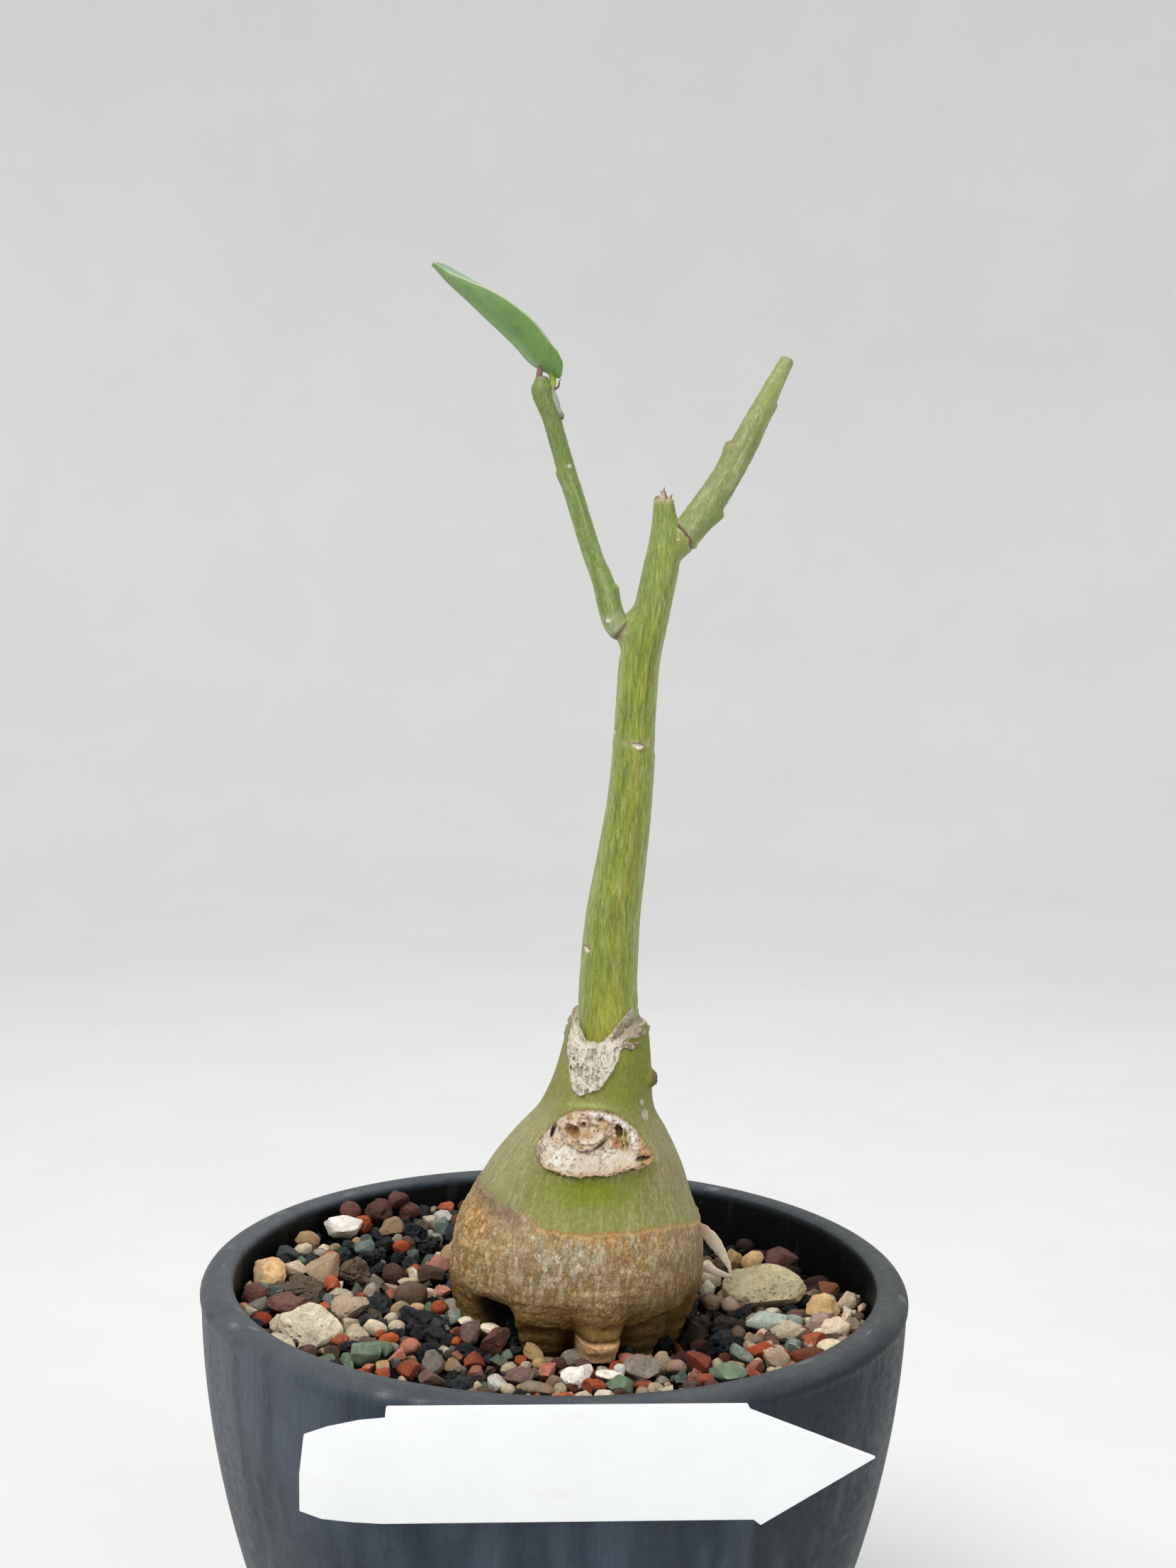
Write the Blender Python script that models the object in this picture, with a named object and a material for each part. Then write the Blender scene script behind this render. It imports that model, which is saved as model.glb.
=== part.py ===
# Potted adenia: a grafted caudex plant with one leaf, in a round plastic pot of mixed gravel.
# Sizes here are in millimetres and become metres when a mesh is made. +Z is up and -Y is the front.
# The origin is the centre of the pot's underside. Heights of the plant count from the pot's rim.

import math
import random

import bmesh
import bpy
from mathutils import Euler, Vector, noise

MM = 0.001
GAP = 0.3

# Pot: a bowl-like wall whose radius falls with the square of the depth below the rim
POT_HEIGHT = 80.0
RIM_RADIUS = 52.5
RIM_INNER_RADIUS = 47.6
RIM_DOME = 0.35
WALL_TOP_RADIUS = 52.3
WALL_CURVE = 0.00356
WALL_THICKNESS_AT_RIM = 4.9
WALL_THICKNESS_LOW = 3.2
WALL_THINS_OVER = 40.0
FLOOR_THICKNESS = 3.5
FOOT_INNER_RADIUS = 24.5
FOOT_OUTER_RADIUS = 28.5
CENTRE_PAD_RADIUS = 8.0
UNDERSIDE_RECESS = 1.5
DRAIN_COUNT = 6
DRAIN_RADIUS = 3.5
DRAIN_RING_RADIUS = 16.5
DRAIN_TWIST = 0.07
DRAIN_SIDES = 16
ROUND_SIDES = 48
WALL_DEPTHS = (77.0, 62.0, 46.0, 30.0, 15.0, 2.8)
INSIDE_DEPTHS = (8.0, 30.0, 55.0, POT_HEIGHT - FLOOR_THICKNESS)

# Gravel mix: a solid bed with stones sunk in its top
BED_DEPTH = 6.3
BED_UNEVENNESS = 0.5
MOUND_RISE = 1.5
MOUND_ANGLE = 135.0
MOUND_FROM = 22.0
MOUND_TO = 44.0
UNEVENNESS_SCALE = 0.12
BED_RINGS = (39.0, 30.0, 21.0)
STONE_SEED = 14
FILL_STONES = 80
FILL_LONGEST = 6.6
FILL_SHORTEST = 4.2
FILL_CLOSENESS = 0.92
FILL_TRIES = 60
STONE_JITTER = 0.16
STONE_SWELL = 1.12
STONE_TILT = 0.3
STONE_CENTRE_RISE = 0.22

# Stones that the eye picks out: x, y, length, thickness, rise above the bed, turn in degrees
MARKED_STONES = (
    (-35.0, -14.0, 9.2, 6.8, 0.6, 8),
    (-43.3, 5.5, 6.0, 4.6, 0.8, 35),
    (-44.5, -2.0, 3.9, 3.9, 0.2, 0),
    (-39.0, -6.0, 7.0, 4.0, 0.2, -15),
    (-38.0, 2.0, 7.0, 3.2, 0.4, -10),
    (-42.6, -9.5, 3.0, 1.8, 0.0, 20),
    (-35.8, 8.0, 5.4, 4.6, 0.6, 40),
    (-34.8, 25.5, 6.4, 3.4, 1.6, -20),
    (-39.5, 20.8, 3.9, 2.6, 1.2, 25),
    (-33.6, 29.0, 3.4, 3.4, 3.0, 0),
    (-31.5, 27.5, 4.2, 3.6, 1.2, 60),
    (-29.3, 33.2, 4.8, 3.4, 1.6, 10),
    (-26.6, 35.4, 3.6, 3.0, 3.0, 30),
    (-24.6, 35.6, 3.6, 3.0, 1.2, -20),
    (-27.0, 28.6, 4.4, 2.9, 0.6, -15),
    (-23.0, 28.5, 4.2, 3.2, 0.2, 30),
    (-20.3, 24.0, 4.4, 3.2, 0.2, -25),
    (-18.8, 31.0, 3.6, 3.2, 0.4, 70),
    (-42.0, 15.5, 3.6, 2.8, 0.2, 20),
    (-39.8, 17.0, 3.0, 2.0, 0.8, 15),
    (-40.2, 9.8, 3.6, 2.4, 0.2, 5),
    (-34.0, 17.5, 3.2, 2.4, 0.0, 40),
    (-30.6, 21.0, 3.4, 2.2, 0.2, -10),
    (-28.4, 17.5, 3.6, 3.0, 0.0, 60),
    (-24.8, 22.0, 2.8, 2.4, 0.2, 0),
    (-31.0, 9.0, 5.6, 4.8, 0.2, -30),
    (-32.2, 1.0, 3.8, 2.4, 0.2, 5),
    (-30.0, -6.0, 5.8, 4.4, 0.4, 20),
    (-21.6, 1.0, 5.4, 4.2, 0.6, -5),
    (-19.3, 10.0, 4.6, 3.4, 0.4, 20),
    (-24.6, 5.0, 4.2, 1.8, 0.2, 10),
    (-19.5, -7.0, 6.6, 3.8, 0.0, 5),
    (-26.0, -2.5, 5.0, 3.4, -0.2, -25),
    (-25.8, -11.5, 3.5, 2.6, 0.2, 0),
    (-23.6, -15.5, 3.2, 2.4, 0.2, 10),
    (-28.4, -14.2, 3.6, 2.8, 0.2, -15),
    (-31.0, -21.5, 3.0, 2.6, 0.0, 60),
    (-26.4, -22.2, 4.2, 3.8, 0.2, 15),
    (-21.8, -21.8, 3.4, 2.6, 0.0, 35),
    (-19.8, -27.0, 3.4, 3.2, 0.2, 30),
    (-17.8, -15.0, 3.5, 2.8, 0.2, -20),
    (-14.6, -22.5, 3.6, 2.6, 0.0, 25),
    (-16.2, -30.0, 4.4, 2.8, 0.0, 5),
    (-8.2, -20.0, 4.2, 4.0, 0.4, 0),
    (-12.6, -15.2, 4.0, 3.2, 0.0, 70),
    (-10.6, -26.0, 3.2, 2.4, 0.2, 10),
    (-4.0, -29.4, 4.8, 2.4, 0.2, 0),
    (-2.4, -25.6, 4.2, 3.6, 0.2, -50),
    (-0.6, -29.8, 3.4, 3.0, 0.4, 60),
    (3.4, -29.5, 4.4, 3.8, 0.2, 20),
    (8.6, -29.0, 5.0, 1.8, 0.6, 10),
    (12.8, -27.4, 5.0, 4.0, 0.2, 30),
    (6.0, -33.0, 3.6, 2.6, 0.2, 0),
    (9.8, -33.4, 4.2, 2.8, 0.2, 0),
    (-2.6, -34.0, 4.8, 2.0, 0.2, 0),
    (-7.4, -32.0, 3.0, 2.4, 0.4, -15),
    (17.4, -25.0, 3.2, 2.4, 0.2, 20),
    (21.0, -22.8, 4.6, 3.0, 0.2, -30),
    (24.8, -26.0, 5.4, 2.4, 0.0, 8),
    (24.6, -14.0, 4.8, 4.4, -0.2, 40),
    (26.8, -19.0, 4.4, 3.0, 0.2, 15),
    (31.8, -20.5, 4.2, 3.6, 0.4, -20),
    (28.4, -23.0, 3.4, 2.4, 0.2, 30),
    (36.3, -18.3, 5.4, 2.0, 0.4, 8),
    (37.9, -12.6, 3.6, 2.6, 0.4, 45),
    (34.3, -10.0, 5.2, 3.2, 0.4, -8),
    (31.2, -6.6, 6.2, 2.8, 0.6, 8),
    (41.0, -9.0, 4.6, 3.2, 0.4, 15),
    (43.4, -3.4, 3.2, 3.0, 0.4, 60),
    (39.0, -4.6, 4.2, 2.6, 0.4, 0),
    (40.2, 0.8, 5.2, 2.8, 0.8, -10),
    (41.8, 7.5, 3.4, 3.0, 0.4, 40),
    (32.0, 6.5, 12.4, 6.4, 0.9, 6),
    (35.4, 20.0, 5.4, 3.4, 1.2, 10),
    (31.0, 19.0, 3.8, 3.4, 1.0, 20),
    (28.2, 20.5, 3.8, 3.0, 0.8, 60),
    (25.2, -3.2, 3.0, 2.4, 0.0, 30),
    (26.6, 2.0, 3.2, 2.2, 0.2, 30),
)

# Caudex: height above the rim, x of its middle, half-width
CAUDEX_Y = -4.0
CAUDEX_MIDDLE = (
    (-32.0, 3.0), (-5.0, 2.9), (2.8, 3.1), (9.8, 3.4),
    (18.4, 4.3), (26.5, 5.6), (34.0, 6.7), (39.4, 7.0),
)
CAUDEX_WIDTH = (
    (-32.0, 0.6), (-22.0, 6.0), (-16.0, 10.5), (-11.0, 14.2), (-5.0, 16.7), (-2.0, 17.9), (2.8, 18.6),
    (6.8, 18.3), (9.8, 17.7), (13.5, 16.1), (18.4, 13.85), (23.0, 10.95), (26.5, 8.5), (30.0, 7.4),
    (34.0, 6.65), (38.0, 5.9), (39.4, 5.5),
)

# Between its root legs the caudex narrows to this core
CAUDEX_CORE = (
    (-32.0, 0.6), (-22.0, 4.8), (-14.0, 7.8), (-9.0, 10.2),
    (-6.0, 11.8), (-3.0, 13.8), (-0.5, 16.9), (2.5, 18.6),
)
LEGS_TOP = 4.5
CAUDEX_TIP = -33.0
CAUDEX_TOP = 39.4
CAUDEX_ROWS = (
    -31.0, -22.0, -15.0, -11.0, -8.5, -6.5, -4.8, -3.2, -1.6, 0.0, 1.8, 4.0, 6.8, 9.8, 12.4, 15.0, 17.4,
    18.8, 20.0, 21.2, 22.6, 24.0, 25.4, 26.8, 28.2, 29.6, 31.0, 32.4, 33.8, 35.2, 36.6, 38.0, 39.0,
)
CAUDEX_SIDES = 48

# Root legs: angle from the front towards +X in degrees, half-width in degrees, share of the full radius
ROOT_LEGS = (
    (-74, 23, 1.00), (-19, 13, 0.95), (11, 10, 1.04), (42, 14, 0.97), (88, 16, 1.00), (130, 14, 1.00),
    (165, 13, 1.02), (200, 13, 0.98), (242, 14, 1.00),
)
ARCH_ANGLE = -39.0
ARCH_HALF_WIDTH = 9.0
ARCH_TOP = (2.0, -0.5)
ARCH_BOTTOM = (-14.0, -9.0)
ARCH_DEPTH = 3.0
STUB_ANGLE = 11.0
STUB_HALF_WIDTH = 9.0
STUB_OUT = 1.6
STUB_TOP = (-0.4, -2.6)
STUB_BOTTOM = (-7.4, -6.6)

# Old cut on the front of the caudex: a D on its back, seen from the front
WOUND_X = 5.4
WOUND_Z = 21.2
WOUND_HALF_WIDTH = 8.9
WOUND_ABOVE = 7.3
WOUND_BELOW = 1.6
WOUND_LIP = 0.9
WOUND_UPPER_LIP = 0.5
WOUND_HOLLOW = 0.45
PLUG_PLACE = (3.6, 24.6)
PLUG_HALF_SIZE = (3.6, 2.4)
PLUG_RELIEF = 0.5

# Callus where the stock closed over the graft: it starts at the left edge and its lower edge slants up
CALLUS_LEFT = 0.4
CALLUS_RIGHT = 13.4
CALLUS_TURN = 4.8
CALLUS_LOW = 29.6
CALLUS_SLANT = 1.15
CALLUS_RELIEF = 0.45

# The rim of the graft dips on the front and less behind
GRAFT_DIP = 2.9
GRAFT_DIP_START = 33.0
GRAFT_FRONT_ANGLE = -12.0
GRAFT_HALF_ANGLE = 38.0
GRAFT_BACK_SHARE = 0.8

# Nub of a pruned shoot: angle and height, reach, half-width in degrees and half-height
NUB_ANGLE = 74.0
NUB_Z = 31.4
NUB_OUT = 1.0
NUB_HALF_ANGLE = 11.0
NUB_HALF_HEIGHT = 1.3

# Stem grafted on the caudex: height above the rim, left edge, right edge
STEM_Y = -4.0
STEM_OUTLINE = (
    (33.6, 4.2, 6.6), (35.4, 3.4, 8.2), (37.6, 2.7, 10.4), (39.6, 2.6, 11.3), (45.6, 2.7, 11.1),
    (54.0, 3.3, 11.3), (64.0, 4.9, 12.1), (72.7, 6.2, 12.6), (80.0, 6.75, 12.7), (86.0, 7.05, 12.85),
    (91.0, 7.3, 13.1),
    (95.0, 8.1, 13.7), (99.0, 9.2, 14.5), (102.6, 9.95, 15.15), (105.4, 10.5, 15.6), (108.5, 11.15, 15.7),
    (111.8, 11.6, 15.1), (114.8, 11.8, 14.5),
)
WEDGE_TOP = 39.6
WEDGE_HALF_DEPTH = 4.35
WEDGE_NARROWING = 0.12
WEDGE_ROWS = 4
WEDGE_STEP = 2.0
STEM_ROWS = 26
STEM_SIDES = 20
STEM_RING_HEIGHT = 81.6
STEM_RING_RELIEF = 0.22
STEM_RING_HALF_HEIGHT = 1.2
TUFT_HEIGHT = 2.2
TUFT_SHARE = 0.45
TUFT_FOOT = 0.3

# Shoulders of the stem that carry the branches: height, reach, half-height, side
LEFT_SHOULDER = (96.6, 1.25, 2.6, -1)
RIGHT_SHOULDER = (109.3, 1.8, 2.5, 1)

# Branches: x, y, height above the rim, radius
LEFT_BRANCH = (
    (9.2, -4.0, 95.4, 1.55), (6.9, -4.0, 97.0, 1.75), (5.9, -4.0, 99.4, 1.72), (4.9, -4.1, 102.8, 1.55),
    (3.4, -4.2, 106.5, 1.38), (2.15, -4.3, 110.0, 1.38), (0.9, -4.5, 113.9, 1.34), (-0.2, -4.6, 117.1, 1.24),
    (-1.75, -4.7, 122.0, 1.18), (-3.1, -4.8, 126.3, 1.18), (-4.2, -4.9, 129.4, 1.28),
    (-4.75, -4.9, 131.2, 1.0),
)
LEFT_BRANCH_STEPS = 22
RIGHT_BRANCH = (
    (14.0, -4.0, 107.2, 1.7), (16.3, -4.0, 109.9, 2.15), (18.5, -3.9, 112.9, 2.25), (20.6, -3.8, 116.1, 2.12),
    (22.8, -3.6, 119.9, 2.0), (24.8, -3.4, 123.7, 1.88), (26.4, -3.3, 127.1, 1.62), (27.9, -3.2, 130.3, 1.34),
    (29.2, -3.1, 133.0, 1.08), (30.1, -3.0, 134.9, 0.86),
)
RIGHT_BRANCH_STEPS = 18
BRANCH_SIDES = 14
BRANCH_TIP = 0.5

# Nodes of the branches: height, side, relief
LEFT_BRANCH_NODES = ((103.7, 1, 0.3), (118.6, -1, 0.3))
RIGHT_BRANCH_NODES = ((113.4, 1, 0.75), (121.9, -1, 0.45), (128.7, 1, 0.35))
NODE_HALF_HEIGHT = 1.2

# Resting bud on the left branch
BUD_FROM = (-2.95, -4.9, 129.9)
BUD_TO = (-1.35, -4.8, 125.7)
BUD_RADIUS = 0.7
BUD_SHAPE = ((0.0, 0.35), (0.2, 0.8), (0.5, 1.0), (0.8, 0.9), (1.0, 0.5))
SMALL_SIDES = 8

# Leaf: one blade folded up along its midrib; x, y, height of the midrib
MIDRIB = (
    (-3.0, -4.6, 132.4), (-5.1, -4.5, 133.3), (-8.4, -4.4, 136.5), (-11.6, -4.3, 139.4), (-15.1, -4.2, 142.5),
    (-17.9, -4.1, 145.0), (-19.7, -4.0, 146.9),
)
NEAR_WIDTH = (
    (0.0, 1.7), (0.08, 3.2), (0.2, 4.4), (0.35, 4.9), (0.5, 4.5),
    (0.65, 3.5), (0.8, 2.1), (0.92, 1.0), (1.0, 0.35),
)
FAR_WIDTH = (
    (0.0, 1.7), (0.08, 3.1), (0.2, 4.2), (0.35, 4.7), (0.5, 4.4),
    (0.65, 3.7), (0.8, 2.7), (0.92, 1.5), (1.0, 0.35),
)
NEAR_FOLD = 50.0
FAR_FOLD = 46.0
FOLD_AT_MIDRIB = 1.25
FOLD_EASES = 0.35
BASE_LOBE = 1.5
BLADE_THICKNESS = 0.6
BLADE_STEPS = 14
BLADE_HALF_STEPS = 4
PETIOLE = (
    (-2.25, -4.8, 130.2, 0.6), (-2.4, -4.7, 131.3, 0.55),
    (-3.1, -4.55, 132.4, 0.6), (-4.6, -4.5, 133.2, 0.45),
)

# Blank plant label of white plastic, standing against the front of the rim
LABEL_THICKNESS = 0.8
LABEL_BODY_HALF_HEIGHT = 7.75
LABEL_BODY_LEFT = -20.4
LABEL_BODY_RIGHT = 25.8
LABEL_HEAD_LEFT = -31.4
LABEL_TIP = 41.9
LABEL_TILT_DEGREES = 1.9
LABEL_MIDDLE_BELOW_RIM = 7.0
LABEL_OUTLINE = (
    (LABEL_HEAD_LEFT + 0.4, 4.2), (LABEL_HEAD_LEFT - 0.3, -1.0), (LABEL_HEAD_LEFT - 0.4, -5.9),
    (-29.0, -7.0), (-25.0, -7.5),
    (LABEL_BODY_LEFT - 0.9, -LABEL_BODY_HALF_HEIGHT), (LABEL_BODY_RIGHT + 0.5, -LABEL_BODY_HALF_HEIGHT + 0.1),
    (LABEL_BODY_RIGHT + 1.4, -8.4), (LABEL_TIP, 0.5), (LABEL_BODY_RIGHT + 0.2, 7.0),
    (LABEL_BODY_RIGHT - 0.2, LABEL_BODY_HALF_HEIGHT), (LABEL_BODY_LEFT, LABEL_BODY_HALF_HEIGHT + 0.1),
    (LABEL_BODY_LEFT - 0.2, 6.3), (-24.0, 6.0), (-28.0, 5.2),
)


# Small tools
def smooth_step(low, high, value):
    t = min(1.0, max(0.0, (value - low) / (high - low)))
    return t * t * (3.0 - 2.0 * t)


def curve_value(points, t):
    """Read a smooth curve, given as (place, value) points in rising order, with no overshoot."""
    if t <= points[0][0]:
        return points[0][1]
    if t >= points[-1][0]:
        return points[-1][1]
    slopes = [(b[1] - a[1]) / (b[0] - a[0]) for a, b in zip(points, points[1:])]
    tangents = [slopes[0]]
    for before, after in zip(slopes, slopes[1:]):
        tangents.append(0.0 if before * after <= 0 else 2.0 * before * after / (before + after))
    tangents.append(slopes[-1])
    for i in range(len(points) - 1):
        (t0, v0), (t1, v1) = points[i], points[i + 1]
        if t <= t1:
            span = t1 - t0
            u = (t - t0) / span
            start = (1 + 2 * u) * (1 - u) ** 2 * v0 + u * (1 - u) ** 2 * span * tangents[i]
            end = u * u * (3 - 2 * u) * v1 + u * u * (u - 1) * span * tangents[i + 1]
            return start + end


def angle_apart(a, b):
    return abs((a - b + 180.0) % 360.0 - 180.0)


def rounded_bump(distance, half_width):
    return math.exp(-((distance / half_width) ** 4))


def material(name, colour, roughness):
    finish = bpy.data.materials.new(name)
    finish.use_nodes = True
    shader = finish.node_tree.nodes["Principled BSDF"]
    shader.inputs["Base Color"].default_value = (*colour, 1.0)
    shader.inputs["Roughness"].default_value = roughness
    shader.inputs["Metallic"].default_value = 0.0
    finish.diffuse_color = (*colour, 1.0)
    return finish


def solid(name, points, faces, finish=None, smooth_angle=35.0):
    """Make an object from points in millimetres, with its faces turned outwards."""
    mesh = bpy.data.meshes.new(name)
    mesh.from_pydata([Vector(p) * MM for p in points], [], faces)
    work = bmesh.new()
    work.from_mesh(mesh)
    bmesh.ops.recalc_face_normals(work, faces=work.faces)
    work.to_mesh(mesh)
    work.free()
    mesh.shade_smooth()
    mesh.set_sharp_from_angle(angle=math.radians(smooth_angle))
    if finish:
        mesh.materials.append(finish)
    made = bpy.data.objects.new(name, mesh)
    bpy.context.scene.collection.objects.link(made)
    return made


def ring_faces(rings, sides):
    """Quads between rings of equal size, one after another in the point list."""
    faces = []
    for i in range(rings - 1):
        for j in range(sides):
            k = (j + 1) % sides
            faces.append((i * sides + j, i * sides + k, (i + 1) * sides + k, (i + 1) * sides + j))
    return faces


def closed_tube(rings, start, end):
    """Points and faces of a tube of rings, closed at each end by a fan to one point."""
    sides = len(rings[0])
    points = [p for ring in rings for p in ring] + [start, end]
    first, last = len(points) - 2, len(points) - 1
    faces = ring_faces(len(rings), sides)
    offset = (len(rings) - 1) * sides
    for j in range(sides):
        k = (j + 1) % sides
        faces.append((first, k, j))
        faces.append((last, offset + j, offset + k))
    return points, faces


def lathe(name, profile, sides, finish=None):
    """Turn a profile of (radius, z) that starts and ends on the axis."""
    rings = []
    for radius, z in profile[1:-1]:
        turns = [2 * math.pi * j / sides for j in range(sides)]
        rings.append([(radius * math.cos(a), radius * math.sin(a), z) for a in turns])
    points, faces = closed_tube(rings, (0, 0, profile[0][1]), (0, 0, profile[-1][1]))
    return solid(name, points, faces, finish)


def apply_boolean(target, operation, cutter=None, group=None, solver="EXACT"):
    """Run one Boolean on an object, keep its result and remove what it was made with."""
    step = target.modifiers.new("join", "BOOLEAN")
    step.operation = operation
    step.solver = solver
    if group:
        step.operand_type = "COLLECTION"
        step.collection = group
    else:
        step.object = cutter
    bpy.context.view_layer.update()
    seen = target.evaluated_get(bpy.context.evaluated_depsgraph_get())
    result = bpy.data.meshes.new_from_object(seen)
    target.modifiers.clear()
    target.data = result
    for used in list(group.objects) if group else [cutter]:
        bpy.data.objects.remove(used, do_unlink=True)
    if group:
        bpy.data.collections.remove(group)


def keep_largest_piece(target):
    """Drop loose scraps that a cut left beside the main body."""
    work = bmesh.new()
    work.from_mesh(target.data)
    left = set(work.verts)
    pieces = []
    while left:
        reached = [left.pop()]
        piece = []
        while reached:
            vert = reached.pop()
            piece.append(vert)
            for edge in vert.link_edges:
                other = edge.other_vert(vert)
                if other in left:
                    left.remove(other)
                    reached.append(other)
        pieces.append(piece)
    pieces.sort(key=len)
    for scrap in pieces[:-1]:
        bmesh.ops.delete(work, geom=scrap, context="VERTS")
    work.to_mesh(target.data)
    work.free()


# Pot
def wall_radius(depth):
    return WALL_TOP_RADIUS - WALL_CURVE * depth * depth


def inside_radius(depth):
    thins = min(1.0, depth / WALL_THINS_OVER)
    return wall_radius(depth) - WALL_THICKNESS_AT_RIM + thins * (WALL_THICKNESS_AT_RIM - WALL_THICKNESS_LOW)


def make_pot():
    underside = [
        (0.0, 0.0), (CENTRE_PAD_RADIUS, 0.0), (CENTRE_PAD_RADIUS + 1.0, UNDERSIDE_RECESS),
        (FOOT_INNER_RADIUS - 1.0, UNDERSIDE_RECESS), (FOOT_INNER_RADIUS, 0.0), (FOOT_OUTER_RADIUS, 0.0),
        (FOOT_OUTER_RADIUS + 1.9, 0.9),
    ]
    wall = [(wall_radius(depth), POT_HEIGHT - depth) for depth in WALL_DEPTHS]
    rim = [
        (RIM_RADIUS, POT_HEIGHT - 2.3), (RIM_RADIUS, POT_HEIGHT - 1.5), (RIM_RADIUS - 0.6, POT_HEIGHT - 0.4),
        (RIM_RADIUS - 1.8, POT_HEIGHT + 0.2), (RIM_INNER_RADIUS + 1.6, POT_HEIGHT + RIM_DOME),
        (RIM_INNER_RADIUS + 0.3, POT_HEIGHT), (RIM_INNER_RADIUS, POT_HEIGHT - 0.7),
    ]
    inside = [(inside_radius(depth), POT_HEIGHT - depth) for depth in INSIDE_DEPTHS]
    pot = lathe("pot", underside + wall + rim + inside + [(0.0, FLOOR_THICKNESS)], ROUND_SIDES, pot_plastic())
    for i in range(DRAIN_COUNT):
        turn = 2 * math.pi * (i + 0.5) / DRAIN_COUNT + DRAIN_TWIST
        bpy.ops.mesh.primitive_cylinder_add(
            vertices=DRAIN_SIDES, radius=DRAIN_RADIUS * MM, depth=20 * MM,
            location=(DRAIN_RING_RADIUS * math.cos(turn) * MM, DRAIN_RING_RADIUS * math.sin(turn) * MM, 0.0),
            rotation=(0.0, 0.0, turn + DRAIN_TWIST),
        )
        apply_boolean(pot, "DIFFERENCE", cutter=bpy.context.object)
    pot.data.set_sharp_from_angle(angle=math.radians(35))


def pot_plastic():
    return material("pot_plastic", (0.035, 0.037, 0.043), 0.55)


# Caudex
def caudex_radius(angle, z):
    """Radius of the caudex at an angle in degrees from the front and a height above the rim."""
    full = curve_value(CAUDEX_WIDTH, z)
    if z >= LEGS_TOP:
        return full
    core = min(full, curve_value(CAUDEX_CORE, z))
    radius = core
    for leg_angle, half_width, share in ROOT_LEGS:
        weight = rounded_bump(angle_apart(angle, leg_angle), half_width)
        radius = max(radius, core + (full * share - core) * weight)
    arch = rounded_bump(angle_apart(angle, ARCH_ANGLE), ARCH_HALF_WIDTH)
    arch *= smooth_step(*ARCH_TOP, z) * smooth_step(*ARCH_BOTTOM, z)
    radius -= ARCH_DEPTH * arch
    stub = rounded_bump(angle_apart(angle, STUB_ANGLE), STUB_HALF_WIDTH)
    radius += STUB_OUT * stub * smooth_step(*STUB_TOP, z) * smooth_step(*STUB_BOTTOM, z)
    return radius


def wound_relief(x, z):
    dx = (x - WOUND_X) / WOUND_HALF_WIDTH
    height = WOUND_ABOVE if z > WOUND_Z else WOUND_BELOW
    out = math.hypot(dx, (z - WOUND_Z) / height)
    lip = WOUND_LIP if z < WOUND_Z + WOUND_BELOW else WOUND_UPPER_LIP
    relief = lip * smooth_step(1.12, 0.92, out) - WOUND_HOLLOW * smooth_step(0.85, 0.45, out)
    plug = math.hypot((x - PLUG_PLACE[0]) / PLUG_HALF_SIZE[0], (z - PLUG_PLACE[1]) / PLUG_HALF_SIZE[1])
    return relief + PLUG_RELIEF * smooth_step(1.1, 0.6, plug)


def callus_relief(x, z):
    across = smooth_step(CALLUS_LEFT, CALLUS_LEFT + 0.9, x) * smooth_step(CALLUS_RIGHT, CALLUS_RIGHT - 1.2, x)
    edge = CALLUS_LOW + CALLUS_SLANT * max(0.0, x - CALLUS_TURN)
    return CALLUS_RELIEF * across * smooth_step(edge - 0.4, edge + 0.6, z)


def caudex_point(angle, z, extra):
    """A point of the caudex, or of the plain shape around it that cuts its hole in the gravel."""
    a = math.radians(angle)
    radius = caudex_radius(angle, z)
    middle = curve_value(CAUDEX_MIDDLE, z)
    facing = math.cos(a)
    x = middle + radius * math.sin(a)
    if facing > 0.1 and extra == 0:
        radius += wound_relief(x, z) * smooth_step(0.1, 0.4, facing) + callus_relief(x, z)
    nub = math.hypot(angle_apart(angle, NUB_ANGLE) / NUB_HALF_ANGLE, (z - NUB_Z) / NUB_HALF_HEIGHT)
    radius += NUB_OUT * rounded_bump(nub, 1.0)
    dip = rounded_bump(angle_apart(angle, GRAFT_FRONT_ANGLE), GRAFT_HALF_ANGLE)
    dip += GRAFT_BACK_SHARE * rounded_bump(angle_apart(angle, 180.0), GRAFT_HALF_ANGLE)
    z -= GRAFT_DIP * dip * smooth_step(GRAFT_DIP_START, CAUDEX_TOP, z)
    radius += extra
    return (middle + radius * math.sin(a), CAUDEX_Y - radius * math.cos(a), POT_HEIGHT + z)


def caudex_solid(name, extra=0.0, finish=None):
    angles = [360.0 * j / CAUDEX_SIDES for j in range(CAUDEX_SIDES)]
    rings = [[caudex_point(a, z, extra) for a in angles] for z in CAUDEX_ROWS]
    top_x = curve_value(CAUDEX_MIDDLE, CAUDEX_TOP)
    tip_x = curve_value(CAUDEX_MIDDLE, CAUDEX_TIP)
    start = (tip_x, CAUDEX_Y, POT_HEIGHT + CAUDEX_TIP - extra)
    end = (top_x, CAUDEX_Y, POT_HEIGHT + CAUDEX_TOP - 2.0 + extra)
    points, faces = closed_tube(rings, start, end)
    return solid(name, points, faces, finish, smooth_angle=60.0)


def make_caudex():
    caudex = caudex_solid("caudex", finish=material("caudex_bark", (0.37, 0.25, 0.13), 0.8))
    apply_boolean(caudex, "DIFFERENCE", cutter=stem_solid("stem_cutter", GAP))
    keep_largest_piece(caudex)


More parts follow.
